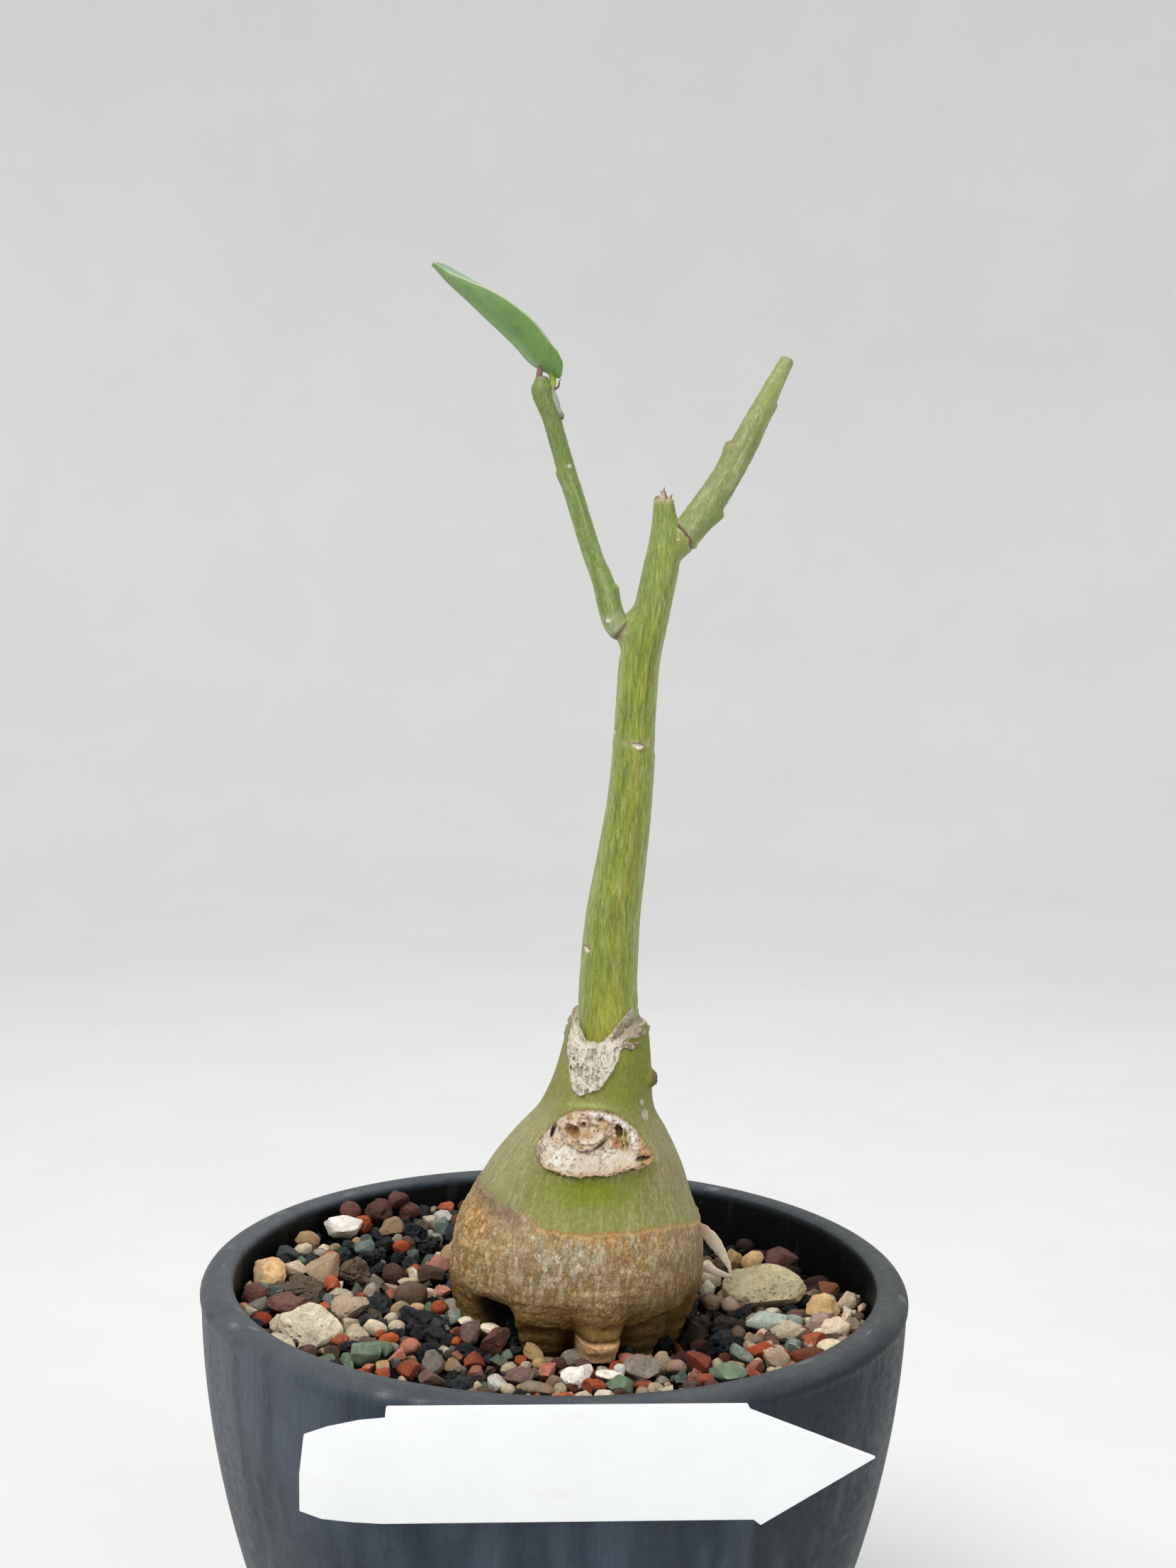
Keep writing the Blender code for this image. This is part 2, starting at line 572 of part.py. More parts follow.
# Gravel
def make_bed():
    inner = [(inside_radius(depth) - GAP, POT_HEIGHT - depth) for depth in INSIDE_DEPTHS[1:-1]]
    floor_z = FLOOR_THICKNESS + GAP
    bottom_radius = inside_radius(POT_HEIGHT - floor_z) - 2 * GAP
    top_z = POT_HEIGHT - BED_DEPTH
    edge = (inside_radius(BED_DEPTH) - 2 * GAP, top_z)
    profile = [(0.0, floor_z), (bottom_radius, floor_z)] + inner[::-1] + [edge]
    profile += [(radius, top_z) for radius in BED_RINGS] + [(0.0, top_z)]
    bed = lathe("gravel", profile, ROUND_SIDES, material("gravel_mix", (0.30, 0.24, 0.19), 0.9))
    for vert in bed.data.vertices:
        if vert.co.z > (top_z - 1.0) * MM:
            vert.co.z += bed_rise(vert.co.x / MM, vert.co.y / MM) * MM
    return bed


def bed_rise(x, y):
    """The bed is uneven and lies a little higher against the wall at the back left."""
    towards = max(0.0, math.cos(math.atan2(y, x) - math.radians(MOUND_ANGLE)))
    mound = MOUND_RISE * towards * smooth_step(MOUND_FROM, MOUND_TO, math.hypot(x, y))
    return mound + BED_UNEVENNESS * noise.noise(Vector((x, y, 0.0)) * UNEVENNESS_SCALE)


def stone(rng, x, y, length, thickness, rise, turn, group):
    """One low-sided stone, longer than wide, its lower part under the top of the bed."""
    width = length * rng.uniform(0.68, 0.9)
    work = bmesh.new()
    bmesh.ops.create_icosphere(work, subdivisions=1, radius=0.5)
    lean = [rng.uniform(-STONE_TILT, STONE_TILT) for _ in range(2)]
    tilt = Euler((*lean, math.radians(turn)))
    z = POT_HEIGHT - BED_DEPTH + bed_rise(x, y) + STONE_CENTRE_RISE * thickness + rise
    for vert in work.verts:
        swell = STONE_SWELL + rng.uniform(-STONE_JITTER, STONE_JITTER)
        place = Vector((vert.co.x * length, vert.co.y * width, vert.co.z * thickness)) * swell
        place.rotate(tilt)
        root = 2.0 * max(0.0, rise) * min(0.0, vert.co.z)
        vert.co = (place + Vector((x, y, z + root))) * MM
    mesh = bpy.data.meshes.new("stone")
    work.to_mesh(mesh)
    work.free()
    group.objects.link(bpy.data.objects.new("stone", mesh))


def outside_caudex(x, y, reach):
    for z in (-BED_DEPTH, -BED_DEPTH + 2.5):
        dx = x - curve_value(CAUDEX_MIDDLE, z)
        dy = y - CAUDEX_Y
        angle = math.degrees(math.atan2(dx, -dy))
        if math.hypot(dx, dy) < caudex_radius(angle, z) + reach:
            return False
    return True


def fill_places(rng, taken):
    """Places for more stones, the large ones first, between those already there."""
    sizes = sorted((rng.uniform(FILL_SHORTEST, FILL_LONGEST) for _ in range(FILL_STONES * 3)), reverse=True)
    places = []
    for size in sizes:
        if len(places) == FILL_STONES:
            break
        limit = inside_radius(BED_DEPTH) - 1.0 - size / 2
        for _ in range(FILL_TRIES):
            turn = rng.uniform(0, 2 * math.pi)
            out = limit * math.sqrt(rng.random())
            x, y = out * math.cos(turn), out * math.sin(turn)
            apart = (math.hypot(x - a, y - b) - FILL_CLOSENESS * (size + other) / 2 for a, b, other in taken)
            if outside_caudex(x, y, size * 0.35) and min(apart) > 0:
                places.append((x, y, size))
                taken.append((x, y, size))
                break
    return places


def make_gravel():
    rng = random.Random(STONE_SEED)
    bed = make_bed()
    stones = bpy.data.collections.new("stones")
    bpy.context.scene.collection.children.link(stones)
    taken = [(x, y, 0.9 * length) for x, y, length, *_ in MARKED_STONES]
    for place in MARKED_STONES:
        stone(rng, *place, stones)
    for x, y, size in fill_places(rng, taken):
        thickness = size * rng.uniform(0.6, 0.85)
        stone(rng, x, y, size, thickness, rng.uniform(-0.3, 0.5), rng.uniform(0, 360), stones)
    apply_boolean(bed, "UNION", group=stones, solver="MANIFOLD")
    apply_boolean(bed, "DIFFERENCE", cutter=caudex_solid("caudex_cutter", GAP * 1.4), solver="MANIFOLD")
    keep_largest_piece(bed)
    bed.data.set_sharp_from_angle(angle=math.radians(20))


# Stem and branches
def stem_point(turn, z, extra):
    """A point of the stem; below the graft it narrows to a wedge between left and right only."""
    left = curve_value([(row[0], row[1]) for row in STEM_OUTLINE], z)
    right = curve_value([(row[0], row[2]) for row in STEM_OUTLINE], z)
    half = (right - left) / 2
    deep = half if z > WEDGE_TOP else WEDGE_HALF_DEPTH - WEDGE_NARROWING * (WEDGE_TOP - z)
    ring = STEM_RING_RELIEF * rounded_bump(z - STEM_RING_HEIGHT, STEM_RING_HALF_HEIGHT)
    x_out = half + ring + extra
    y_out = deep + ring + extra
    side = math.cos(turn)
    for height, reach, half_height, way in (LEFT_SHOULDER, RIGHT_SHOULDER):
        x_out += reach * rounded_bump(z - height, half_height) * max(0.0, side * way) ** 2
    return ((left + right) / 2 + x_out * side, STEM_Y + y_out * math.sin(turn), POT_HEIGHT + z)


def stem_solid(name, extra=0.0, finish=None):
    low, high = STEM_OUTLINE[0][0], STEM_OUTLINE[-1][0]
    heights = [low + WEDGE_STEP * i for i in range(WEDGE_ROWS)]
    above = low + WEDGE_STEP * WEDGE_ROWS
    heights += [above + (high - above) * i / (STEM_ROWS - 1) for i in range(STEM_ROWS)]
    turns = [2 * math.pi * j / STEM_SIDES for j in range(STEM_SIDES)]
    rings = [[stem_point(turn, z, extra) for turn in turns] for z in heights]
    middle = (STEM_OUTLINE[0][1] + STEM_OUTLINE[0][2]) / 2
    tip = (STEM_OUTLINE[-1][1] + STEM_OUTLINE[-1][2]) / 2
    start = (middle, STEM_Y, POT_HEIGHT + low - extra)
    end = (tip, STEM_Y, POT_HEIGHT + high + TUFT_HEIGHT)
    share = TUFT_SHARE
    tuft = [(tip + share * (x - tip), STEM_Y + share * (y - STEM_Y), z + TUFT_FOOT) for x, y, z in rings[-1]]
    rings.append(tuft)
    points, faces = closed_tube(rings, start, end)
    return solid(name, points, faces, finish, smooth_angle=50.0)


def path_frames(path):
    """Smooth points along a path of (x, y, z, radius), each with a side and a depth direction."""
    frames = []
    for i, (x, y, z, radius) in enumerate(path):
        before = Vector(path[max(0, i - 1)][:3])
        after = Vector(path[min(len(path) - 1, i + 1)][:3])
        along = (after - before).normalized()
        side = Vector((0.0, 1.0, 0.0)).cross(along).normalized()
        frames.append((Vector((x, y, z)), along, side, side.cross(along).normalized(), radius))
    return frames


def finer_path(path, steps):
    """Points between the given ones, on smooth curves through them."""
    run = [0.0]
    for a, b in zip(path, path[1:]):
        run.append(run[-1] + (Vector(b[:3]) - Vector(a[:3])).length)
    curves = [[(t, p[k]) for t, p in zip(run, path)] for k in range(4)]
    return [tuple(curve_value(c, run[-1] * i / steps) for c in curves) for i in range(steps + 1)]


def branch_solid(name, path, nodes, steps, finish):
    rings = []
    frames = path_frames(finer_path(path, steps))
    for middle, along, side, deep, radius in frames:
        ring = []
        for j in range(BRANCH_SIDES):
            turn = 2 * math.pi * j / BRANCH_SIDES
            out = radius
            for height, way, relief in nodes:
                facing = max(0.0, math.cos(turn) * way)
                out += relief * rounded_bump(middle.z - height, NODE_HALF_HEIGHT) * facing ** 2
            ring.append(middle + side * out * math.cos(turn) + deep * out * math.sin(turn))
        rings.append([(p.x, p.y, p.z + POT_HEIGHT) for p in ring])
    first, last = frames[0], frames[-1]
    start = first[0] + Vector((0, 0, POT_HEIGHT))
    end = last[0] + last[1] * BRANCH_TIP + Vector((0, 0, POT_HEIGHT))
    points, faces = closed_tube(rings, tuple(start), tuple(end))
    return solid(name, points, faces, finish, smooth_angle=50.0)


def make_stem_and_branches():
    stem_solid("stem", finish=material("stem_bark", (0.24, 0.31, 0.07), 0.55))
    pale = material("branch_right_bark", (0.33, 0.41, 0.16), 0.55)
    right = branch_solid("branch_right", RIGHT_BRANCH, RIGHT_BRANCH_NODES, RIGHT_BRANCH_STEPS, pale)
    apply_boolean(right, "DIFFERENCE", cutter=stem_solid("stem_cutter", GAP))
    keep_largest_piece(right)
    green = material("branch_left_bark", (0.20, 0.30, 0.08), 0.55)
    left = branch_solid("branch_left", LEFT_BRANCH, LEFT_BRANCH_NODES, LEFT_BRANCH_STEPS, green)
    apply_boolean(left, "UNION", cutter=make_bud())
    apply_boolean(left, "DIFFERENCE", cutter=stem_solid("stem_cutter", GAP))
    keep_largest_piece(left)


def small_tube(name, path):
    """A few-sided tube along (x, y, z, radius), in one piece with what it grows on."""
    lift = Vector((0, 0, POT_HEIGHT))
    turns = [2 * math.pi * j / SMALL_SIDES for j in range(SMALL_SIDES)]
    frames = path_frames(path)
    rings = []
    for middle, along, side, deep, radius in frames:
        ring = [middle + side * radius * math.cos(a) + deep * radius * math.sin(a) + lift for a in turns]
        rings.append([tuple(p) for p in ring])
    points, faces = closed_tube(rings, tuple(frames[0][0] + lift), tuple(frames[-1][0] + lift))
    return solid(name, points, faces)


def make_bud():
    """Resting bud under its scale, lying along the right of the left branch's tip."""
    start, end = Vector(BUD_FROM), Vector(BUD_TO)
    return small_tube("bud", [(*start.lerp(end, t), BUD_RADIUS * share) for t, share in BUD_SHAPE])


# Leaf
def midrib_point(s):
    last = len(MIDRIB) - 1
    return Vector([curve_value([(i / last, p[k]) for i, p in enumerate(MIDRIB)], s) for k in range(3)])


def blade_point(s, v):
    """A point on the middle of the blade: s runs from base to tip, v from the far margin to the near one."""
    here = midrib_point(s)
    along = (midrib_point(min(1.0, s + 0.02)) - midrib_point(max(0.0, s - 0.02))).normalized()
    up = along.cross(Vector((0.0, -1.0, 0.0))).normalized()
    width = curve_value(NEAR_WIDTH if v > 0 else FAR_WIDTH, s) * abs(v)
    fold = math.radians(NEAR_FOLD if v > 0 else FAR_FOLD) * (FOLD_AT_MIDRIB - FOLD_EASES * abs(v))
    way = -1.0 if v > 0 else 1.0
    back = along * (-BASE_LOBE * abs(v) * (1.0 - s) ** 3)
    return here + up * width * math.cos(fold) + Vector((0.0, way, 0.0)) * width * math.sin(fold) + back


def blade_normal(s, v):
    step = 0.03
    across = blade_point(s, min(1.0, v + step)) - blade_point(s, max(-1.0, v - step))
    along = blade_point(min(1.0, s + step), v) - blade_point(max(0.0, s - step), v)
    return across.cross(along).normalized()


def make_leaf():
    columns = 2 * BLADE_HALF_STEPS + 1
    grid = []
    for i in range(BLADE_STEPS + 1):
        for j in range(columns):
            s, v = i / BLADE_STEPS, j / BLADE_HALF_STEPS - 1.0
            grid.append((blade_point(s, v), blade_normal(s, v)))
    lift = Vector((0, 0, POT_HEIGHT))
    half = BLADE_THICKNESS / 2
    points = [tuple(p + n * half + lift) for p, n in grid] + [tuple(p - n * half + lift) for p, n in grid]
    under = len(grid)
    faces = []
    for i in range(BLADE_STEPS):
        for j in range(columns - 1):
            a, b = i * columns + j, i * columns + j + 1
            c, d = a + columns, b + columns
            halves = ((a, b, d), (a, d, c)) if j < BLADE_HALF_STEPS else ((a, b, c), (b, d, c))
            for face in halves:
                faces.append(face)
                faces.append(tuple(k + under for k in reversed(face)))
    edge = [j for j in range(columns)]
    edge += [i * columns + columns - 1 for i in range(1, BLADE_STEPS + 1)]
    edge += [BLADE_STEPS * columns + j for j in range(columns - 2, -1, -1)]
    edge += [i * columns for i in range(BLADE_STEPS - 1, 0, -1)]
    for a, b in zip(edge, edge[1:] + edge[:1]):
        faces.append((a, b, b + under))
        faces.append((a, b + under, a + under))
    leaf = solid("leaf", points, faces, material("leaf_blade", (0.13, 0.27, 0.08), 0.45))
    apply_boolean(leaf, "UNION", cutter=small_tube("petiole", PETIOLE))
    keep_largest_piece(leaf)


# Label
def make_label():
    tilt = math.radians(LABEL_TILT_DEGREES)
    back_y = -(RIM_RADIUS + GAP)
    front = []
    for along, up in LABEL_OUTLINE:
        x = along * math.cos(tilt) - up * math.sin(tilt)
        z = POT_HEIGHT - LABEL_MIDDLE_BELOW_RIM + along * math.sin(tilt) + up * math.cos(tilt)
        front.append((x, z))
    count = len(front)
    points = [(x, back_y - LABEL_THICKNESS, z) for x, z in front] + [(x, back_y, z) for x, z in front]
    faces = [tuple(range(count)), tuple(range(2 * count - 1, count - 1, -1))]
    for i in range(count):
        j = (i + 1) % count
        faces.append((i, j, j + count, i + count))
    solid("plant_label", points, faces, material("label_plastic", (0.85, 0.85, 0.85), 0.4))


def main():
    for old in list(bpy.data.objects):
        bpy.data.objects.remove(old, do_unlink=True)
    make_pot()
    make_gravel()
    make_caudex()
    make_stem_and_branches()
    make_leaf()
    make_label()


main()
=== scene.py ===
# Potted adenia: a grafted caudex plant with one leaf, in a round plastic pot of mixed gravel.
# Lengths here are in millimetres and become metres when a mesh is made. +Z is up and -Y is the front.
# Heights of the plant count from the pot's rim. Angles of the caudex count from the front towards +X.

import math
import random

import bmesh
import bpy
import numpy as np
from mathutils import Matrix, Vector, noise


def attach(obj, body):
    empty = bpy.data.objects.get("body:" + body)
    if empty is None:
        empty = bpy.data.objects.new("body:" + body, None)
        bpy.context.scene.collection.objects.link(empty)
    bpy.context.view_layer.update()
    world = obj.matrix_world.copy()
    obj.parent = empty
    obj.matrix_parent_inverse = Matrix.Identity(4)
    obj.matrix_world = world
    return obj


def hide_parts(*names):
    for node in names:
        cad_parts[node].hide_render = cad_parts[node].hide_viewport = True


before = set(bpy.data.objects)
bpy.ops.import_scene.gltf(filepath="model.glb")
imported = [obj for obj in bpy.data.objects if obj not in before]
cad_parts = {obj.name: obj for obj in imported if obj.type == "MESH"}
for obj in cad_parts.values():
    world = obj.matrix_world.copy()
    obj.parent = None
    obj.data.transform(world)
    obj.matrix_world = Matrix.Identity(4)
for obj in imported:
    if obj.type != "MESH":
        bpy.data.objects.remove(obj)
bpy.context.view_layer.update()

MM = 0.001
POT_HEIGHT = 80.0


# Small tools
def tone(red, green, blue):
    """A linear colour from red, green and blue between 0 and 255."""
    return np.array([((c / 255 + 0.055) / 1.055) ** 2.4 for c in (red, green, blue)])


def smooth_step(low, high, value):
    t = np.clip((value - low) / (high - low), 0.0, 1.0)
    return t * t * (3.0 - 2.0 * t)


def hill(value, middle, half_width):
    return np.exp(-(((value - middle) / half_width) ** 2))


def rounded_bump(distance, half_width):
    return np.exp(-((distance / half_width) ** 4))


def curve(points, t):
    """Read a smooth curve, given as (place, value) points in rising order, with no overshoot."""
    places = np.array([p[0] for p in points], float)
    values = np.array([p[1] for p in points], float)
    slopes = np.diff(values) / np.diff(places)
    tangents = np.zeros(len(points))
    tangents[0], tangents[-1] = slopes[0], slopes[-1]
    before, after = slopes[:-1], slopes[1:]
    alike = before * after > 0
    tangents[1:-1] = np.where(alike, 2 * before * after / np.where(alike, before + after, 1.0), 0.0)
    t = np.clip(t, places[0], places[-1])
    i = np.clip(np.searchsorted(places, t) - 1, 0, len(places) - 2)
    span = places[i + 1] - places[i]
    u = (t - places[i]) / span
    start = (1 + 2 * u) * (1 - u) ** 2 * values[i] + u * (1 - u) ** 2 * span * tangents[i]
    return start + u * u * (3 - 2 * u) * values[i + 1] + u * u * (u - 1) * span * tangents[i + 1]


def angle_apart(a, b):
    return np.abs((a - b + 180.0) % 360.0 - 180.0)


def hashed(i, j, k, seed):
    n = (i * 73856093) ^ (j * 19349663) ^ (k * 83492791) ^ (seed * 2654435761)
    n = n & 0xFFFFFFFF
    n = ((n ^ (n >> 15)) * 739982445) & 0xFFFFFFFF
    n = ((n ^ (n >> 12)) * 695872825) & 0xFFFFFFFF
    return ((n ^ (n >> 15)) & 0xFFFFFF) / 8388607.5 - 1.0


def ripple(points, size, seed=0):
    """Smooth noise from -1 to 1 at points (n, 3); size is one length or three."""
    q = np.asarray(points) / np.asarray(size, float)
    cell = np.floor(q).astype(np.int64)
    f = q - cell
    f = f * f * (3 - 2 * f)
    total = np.zeros(len(q))
    for corner in range(8):
        di, dj, dk = corner & 1, (corner >> 1) & 1, corner >> 2
        weight = (f[:, 0] if di else 1 - f[:, 0]) * (f[:, 1] if dj else 1 - f[:, 1])
        weight = weight * (f[:, 2] if dk else 1 - f[:, 2])
        total += weight * hashed(cell[:, 0] + di, cell[:, 1] + dj, cell[:, 2] + dk, seed)
    return total


def clouds(points, size, seed=0, octaves=3):
    """Smooth noise with finer and fainter noise over it."""
    total, share = 0.0, 1.0
    size = np.asarray(size, float)
    for octave in range(octaves):
        total = total + share * ripple(points, size, seed + octave)
        size = size / 2.1
        share *= 0.55
    return total / 1.6


# How far a scattered point strays from the middle of its cell, as a share of the cell
SCATTER = 0.42


def cells(u, v, seed, around=0):
    """Distances to the nearest and next nearest of scattered points, and a number for the nearest.

    With around, the pattern closes after that many cells of u.
    """
    base_u, base_v = np.floor(u).astype(np.int64), np.floor(v).astype(np.int64)
    first, second, own = np.full(len(u), 9.0), np.full(len(u), 9.0), np.zeros(len(u))
    for step in range(9):
        cu, cv = base_u + step % 3 - 1, base_v + step // 3 - 1
        held = cu % around if around else cu
        off_u = u - cu - 0.5 - SCATTER * hashed(held, cv, 0, seed)
        off_v = v - cv - 0.5 - SCATTER * hashed(held, cv, 1, seed)
        away = np.hypot(off_u, off_v)
        closer = away < first
        second = np.where(closer, first, np.minimum(second, away))
        own = np.where(closer, hashed(held, cv, 2, seed), own)
        first = np.where(closer, away, first)
    return first, second, own


def nearest_seed(points, size, seed):
    """Distance, in units of size, to the nearest of points scattered in space."""
    q = np.asarray(points) / size
    cell = np.floor(q).astype(np.int64)
    nearest = np.full(len(q), 9.0)
    for step in range(27):
        at = cell + (step % 3 - 1, step // 3 % 3 - 1, step // 9 - 1)
        moved = np.stack([hashed(at[:, 0] + 57 * k, at[:, 1], at[:, 2], seed + k) for k in range(3)], axis=1)
        nearest = np.minimum(nearest, np.linalg.norm(q - at - 0.5 - SCATTER * moved, axis=1))
    return nearest


def blend(colour, other, amount):
    """Mix an (n, 3) array or one colour towards another by an amount at each point."""
    amount = np.clip(np.asarray(amount, float), 0.0, 1.0)[:, None]
    return colour * (1.0 - amount) + other * amount


def layered(colour, *layers):
    """Lay other colours over one colour, or over a colour for each point, each by its own amount."""
    for other, amount in layers:
        colour = blend(colour, other, amount)
    return colour


def line_distance(x, z, line):
    nearest = np.full(len(x), 1e9)
    for (ax, az), (bx, bz) in zip(line, line[1:]):
        dx, dz = bx - ax, bz - az
        t = np.clip(((x - ax) * dx + (z - az) * dz) / (dx * dx + dz * dz), 0.0, 1.0)
        nearest = np.minimum(nearest, np.hypot(x - ax - t * dx, z - az - t * dz))
    return nearest


def edge_distance(x, z, outline):
    """Distance of points to a closed outline, positive inside it."""
    loop = outline + outline[:1]
    crossings = np.zeros(len(x), int)
    for (ax, az), (bx, bz) in zip(loop, loop[1:]):
        if az != bz:
            crossings += ((az > z) != (bz > z)) & (x < ax + (z - az) * (bx - ax) / (bz - az))
    nearest = line_distance(x, z, loop)
    return np.where(crossings % 2 == 1, nearest, -nearest)


def rounded_outline(points, rounds=2, closed=True):
    """Cut the corners of an outline until it is smooth; an open one keeps its two ends."""
    for _ in range(rounds):
        cut = []
        for (ax, az), (bx, bz) in zip(points, points[1:] + points[:1] if closed else points[1:]):
            cut.append((0.75 * ax + 0.25 * bx, 0.75 * az + 0.25 * bz))
            cut.append((0.25 * ax + 0.75 * bx, 0.25 * az + 0.75 * bz))
        points = cut if closed else [points[0]] + cut + [points[-1]]
    return points


# Making pieces
def make_piece(name, points, faces, finish, node=None, tints=None, smooth=True, sharp=None):
    """Make a piece from points in millimetres; tints is one colour for each point."""
    mesh = bpy.data.meshes.new(name)
    mesh.from_pydata((np.asarray(points, float) * MM).tolist(), [], faces)
    mesh.validate()
    if smooth:
        mesh.shade_smooth()
    if sharp:
        mesh.set_sharp_from_angle(angle=math.radians(sharp))
    if tints is not None:
        held = mesh.color_attributes.new("tint", "FLOAT_COLOR", "POINT")
        rgba = np.ones((len(points), 4))
        rgba[:, :tints.shape[1]] = np.clip(tints, 0.0, 1.0)
        held.data.foreach_set("color", rgba.astype(np.float32).ravel())
    mesh.materials.append(finish)
    piece = bpy.data.objects.new(name, mesh)
    bpy.context.scene.collection.objects.link(piece)
    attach(piece, "root")
    if node:
        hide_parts(node)
    return piece


def grid_faces(rows, columns, closed=True, keep=None, flip=False):
    """Quads of a grid of points, row after row; keep is a mask of the points that stay."""
    i, j = np.meshgrid(np.arange(rows - 1), np.arange(columns if closed else columns - 1), indexing="ij")
    k = (j + 1) % columns
    low, high = i * columns, (i + 1) * columns
    quads = np.stack((low + j, low + k, high + k, high + j), axis=-1).reshape(-1, 4)
    if keep is not None:
        quads = quads[keep[quads].any(axis=1)]
    if flip:
        quads = quads[:, ::-1]
    return quads.tolist()


def tube_faces(points, columns):
    """Faces of a closed tube, whose points are its rings and then the middles of its two ends."""
    rows = len(points) // columns
    first, last = len(points) - 2, len(points) - 1
    faces = grid_faces(rows, columns)
    for j in range(columns):
        k = (j + 1) % columns
        faces += [(first, k, j), (last, (rows - 1) * columns + j, (rows - 1) * columns + k)]
    return faces


def rings_round(profile, turn):
    """Points of upright rings of (radius, height), one ring after the other."""
    return np.vstack([
        np.stack((radius * np.cos(turn), radius * np.sin(turn), np.full(len(turn), z)), axis=1)
        for radius, z in profile
    ])


def front_grid(left, right, low, high, step):
    """A grid over a stretch of the front: the x and height of its points, and its rows and columns."""
    xs, zs = np.arange(left, right, step), np.arange(low, high, step)
    x, z = (g.ravel() for g in np.meshgrid(xs, zs))
    return x, z, len(zs), len(xs)


def turn_outwards(piece):
    work = bmesh.new()
    work.from_mesh(piece.data)
    bmesh.ops.recalc_face_normals(work, faces=work.faces)
    work.to_mesh(piece.data)
    work.free()


def without_loose(points, tints, faces):
    """Drop the points that no face uses."""
    used = np.unique(np.concatenate([np.asarray(face) for face in faces]))
    place = np.full(len(points), -1)
    place[used] = np.arange(len(used))
    return points[used], tints[used], [[int(place[k]) for k in face] for face in faces]


# Materials
NOISE_DETAIL = 3.0
NOISE_ROUGHNESS = 0.6
NOISE_LOW = 0.3
NOISE_HIGH = 0.7
ROUGHNESS_PATCH = 1.3


def node_of(tree, kind, **settings):
    made = tree.nodes.new(kind)
    for key, value in settings.items():
        setattr(made, key, value)
    return made


def feed(tree, value, socket):
    """Link a socket to another one's value, or set it to a number or a colour."""
    if isinstance(value, bpy.types.NodeSocket):
        tree.links.new(value, socket)
    else:
        socket.default_value = value


def place_at(tree, place, size, stretch=1):
    """The place on the object, scaled so that a texture's grain is about size millimetres wide.

    stretch draws the grain out, upwards when it is one number and along each axis when it is three.
    """
    stretch = (1, 1, stretch) if isinstance(stretch, (int, float)) else stretch
    mapping = node_of(tree, "ShaderNodeMapping")
    mapping.inputs["Scale"].default_value = tuple(1.0 / (MM * size * s) for s in stretch)
    tree.links.new(place, mapping.inputs["Vector"])
    return mapping.outputs["Vector"]


def noise_at(tree, place, size, stretch=1, kind="noise"):
    scaled = place_at(tree, place, size, stretch)
    texture = node_of(tree, "ShaderNodeTexVoronoi" if kind == "cells" else "ShaderNodeTexNoise")
    texture.inputs["Scale"].default_value = 1.0
    tree.links.new(scaled, texture.inputs["Vector"])
    if kind == "cells":
        return texture.outputs["Distance"]
    texture.inputs["Detail"].default_value = NOISE_DETAIL
    texture.inputs["Roughness"].default_value = NOISE_ROUGHNESS
    return texture.outputs["Fac"]


def mapped(tree, value, low, high, to_low, to_high):
    ranged = node_of(tree, "ShaderNodeMapRange", interpolation_type="SMOOTHSTEP")
    for key, number in (("From Min", low), ("From Max", high), ("To Min", to_low), ("To Max", to_high)):
        ranged.inputs[key].default_value = number
    tree.links.new(value, ranged.inputs["Value"])
    return ranged.outputs["Result"]


def patterned(name, roughness, shades=(), stains=(), bumps=(), gloss=0.5, swing=0.08, colour=None):
    """A finish over the piece's own tint, or over one colour.

    shades: (size, stretch, change) make it lighter and darker. stains: (size, stretch, low, high, colour,
    amount) lay a colour where noise is high. bumps: (size, stretch, height, kind) raise it. swing is how
    far its roughness rises and falls.
    """
    made = bpy.data.materials.new(name)
    made.use_nodes = True
    tree = made.node_tree
    shader = tree.nodes["Principled BSDF"]
    place = node_of(tree, "ShaderNodeTexCoord").outputs["Object"]
    if colour is None:
        now = node_of(tree, "ShaderNodeAttribute", attribute_name="tint").outputs["Color"]
    else:
        now = (*colour, 1.0)
    for size, stretch, low, high, stain, amount in stains:
        mask = mapped(tree, noise_at(tree, place, size, stretch), low, high, 0.0, amount)
        mix = node_of(tree, "ShaderNodeMix", data_type="RGBA")
        tree.links.new(mask, mix.inputs["Factor"])
        feed(tree, now, mix.inputs["A"])
        mix.inputs["B"].default_value = (*stain, 1.0)
        now = mix.outputs["Result"]
    for size, stretch, change in shades:
        grain = noise_at(tree, place, size, stretch)
        value = mapped(tree, grain, NOISE_LOW, NOISE_HIGH, 1.0 - change, 1.0 + change)
        light = node_of(tree, "ShaderNodeHueSaturation")
        tree.links.new(value, light.inputs["Value"])
        feed(tree, now, light.inputs["Color"])
        now = light.outputs["Color"]
    tree.links.new(now, shader.inputs["Base Color"])
    rough = noise_at(tree, place, ROUGHNESS_PATCH)
    rough = mapped(tree, rough, NOISE_LOW, NOISE_HIGH, roughness - swing, roughness + swing)
    tree.links.new(rough, shader.inputs["Roughness"])
    shader.inputs["Specular IOR Level"].default_value = gloss
    height = None
    for size, stretch, rise, kind in bumps:
        bump = node_of(tree, "ShaderNodeBump")
        bump.inputs["Distance"].default_value = rise * MM
        tree.links.new(noise_at(tree, place, size, stretch, kind=kind), bump.inputs["Height"])
        if height:
            tree.links.new(height, bump.inputs["Normal"])
        height = bump.outputs["Normal"]
    if height:
        tree.links.new(height, shader.inputs["Normal"])
    return made


# Small bark plates: how far their cells wander, the shares of a cell that cracks and edges take, their height
PLATE_WANDER_SCALE = 1.2
PLATE_WANDER = 1.9
CRACK_WIDTH = 0.13
CRACK_PATCH = 1.6
PLATE_EDGE = 0.18
PLATE_HEIGHT = 0.05


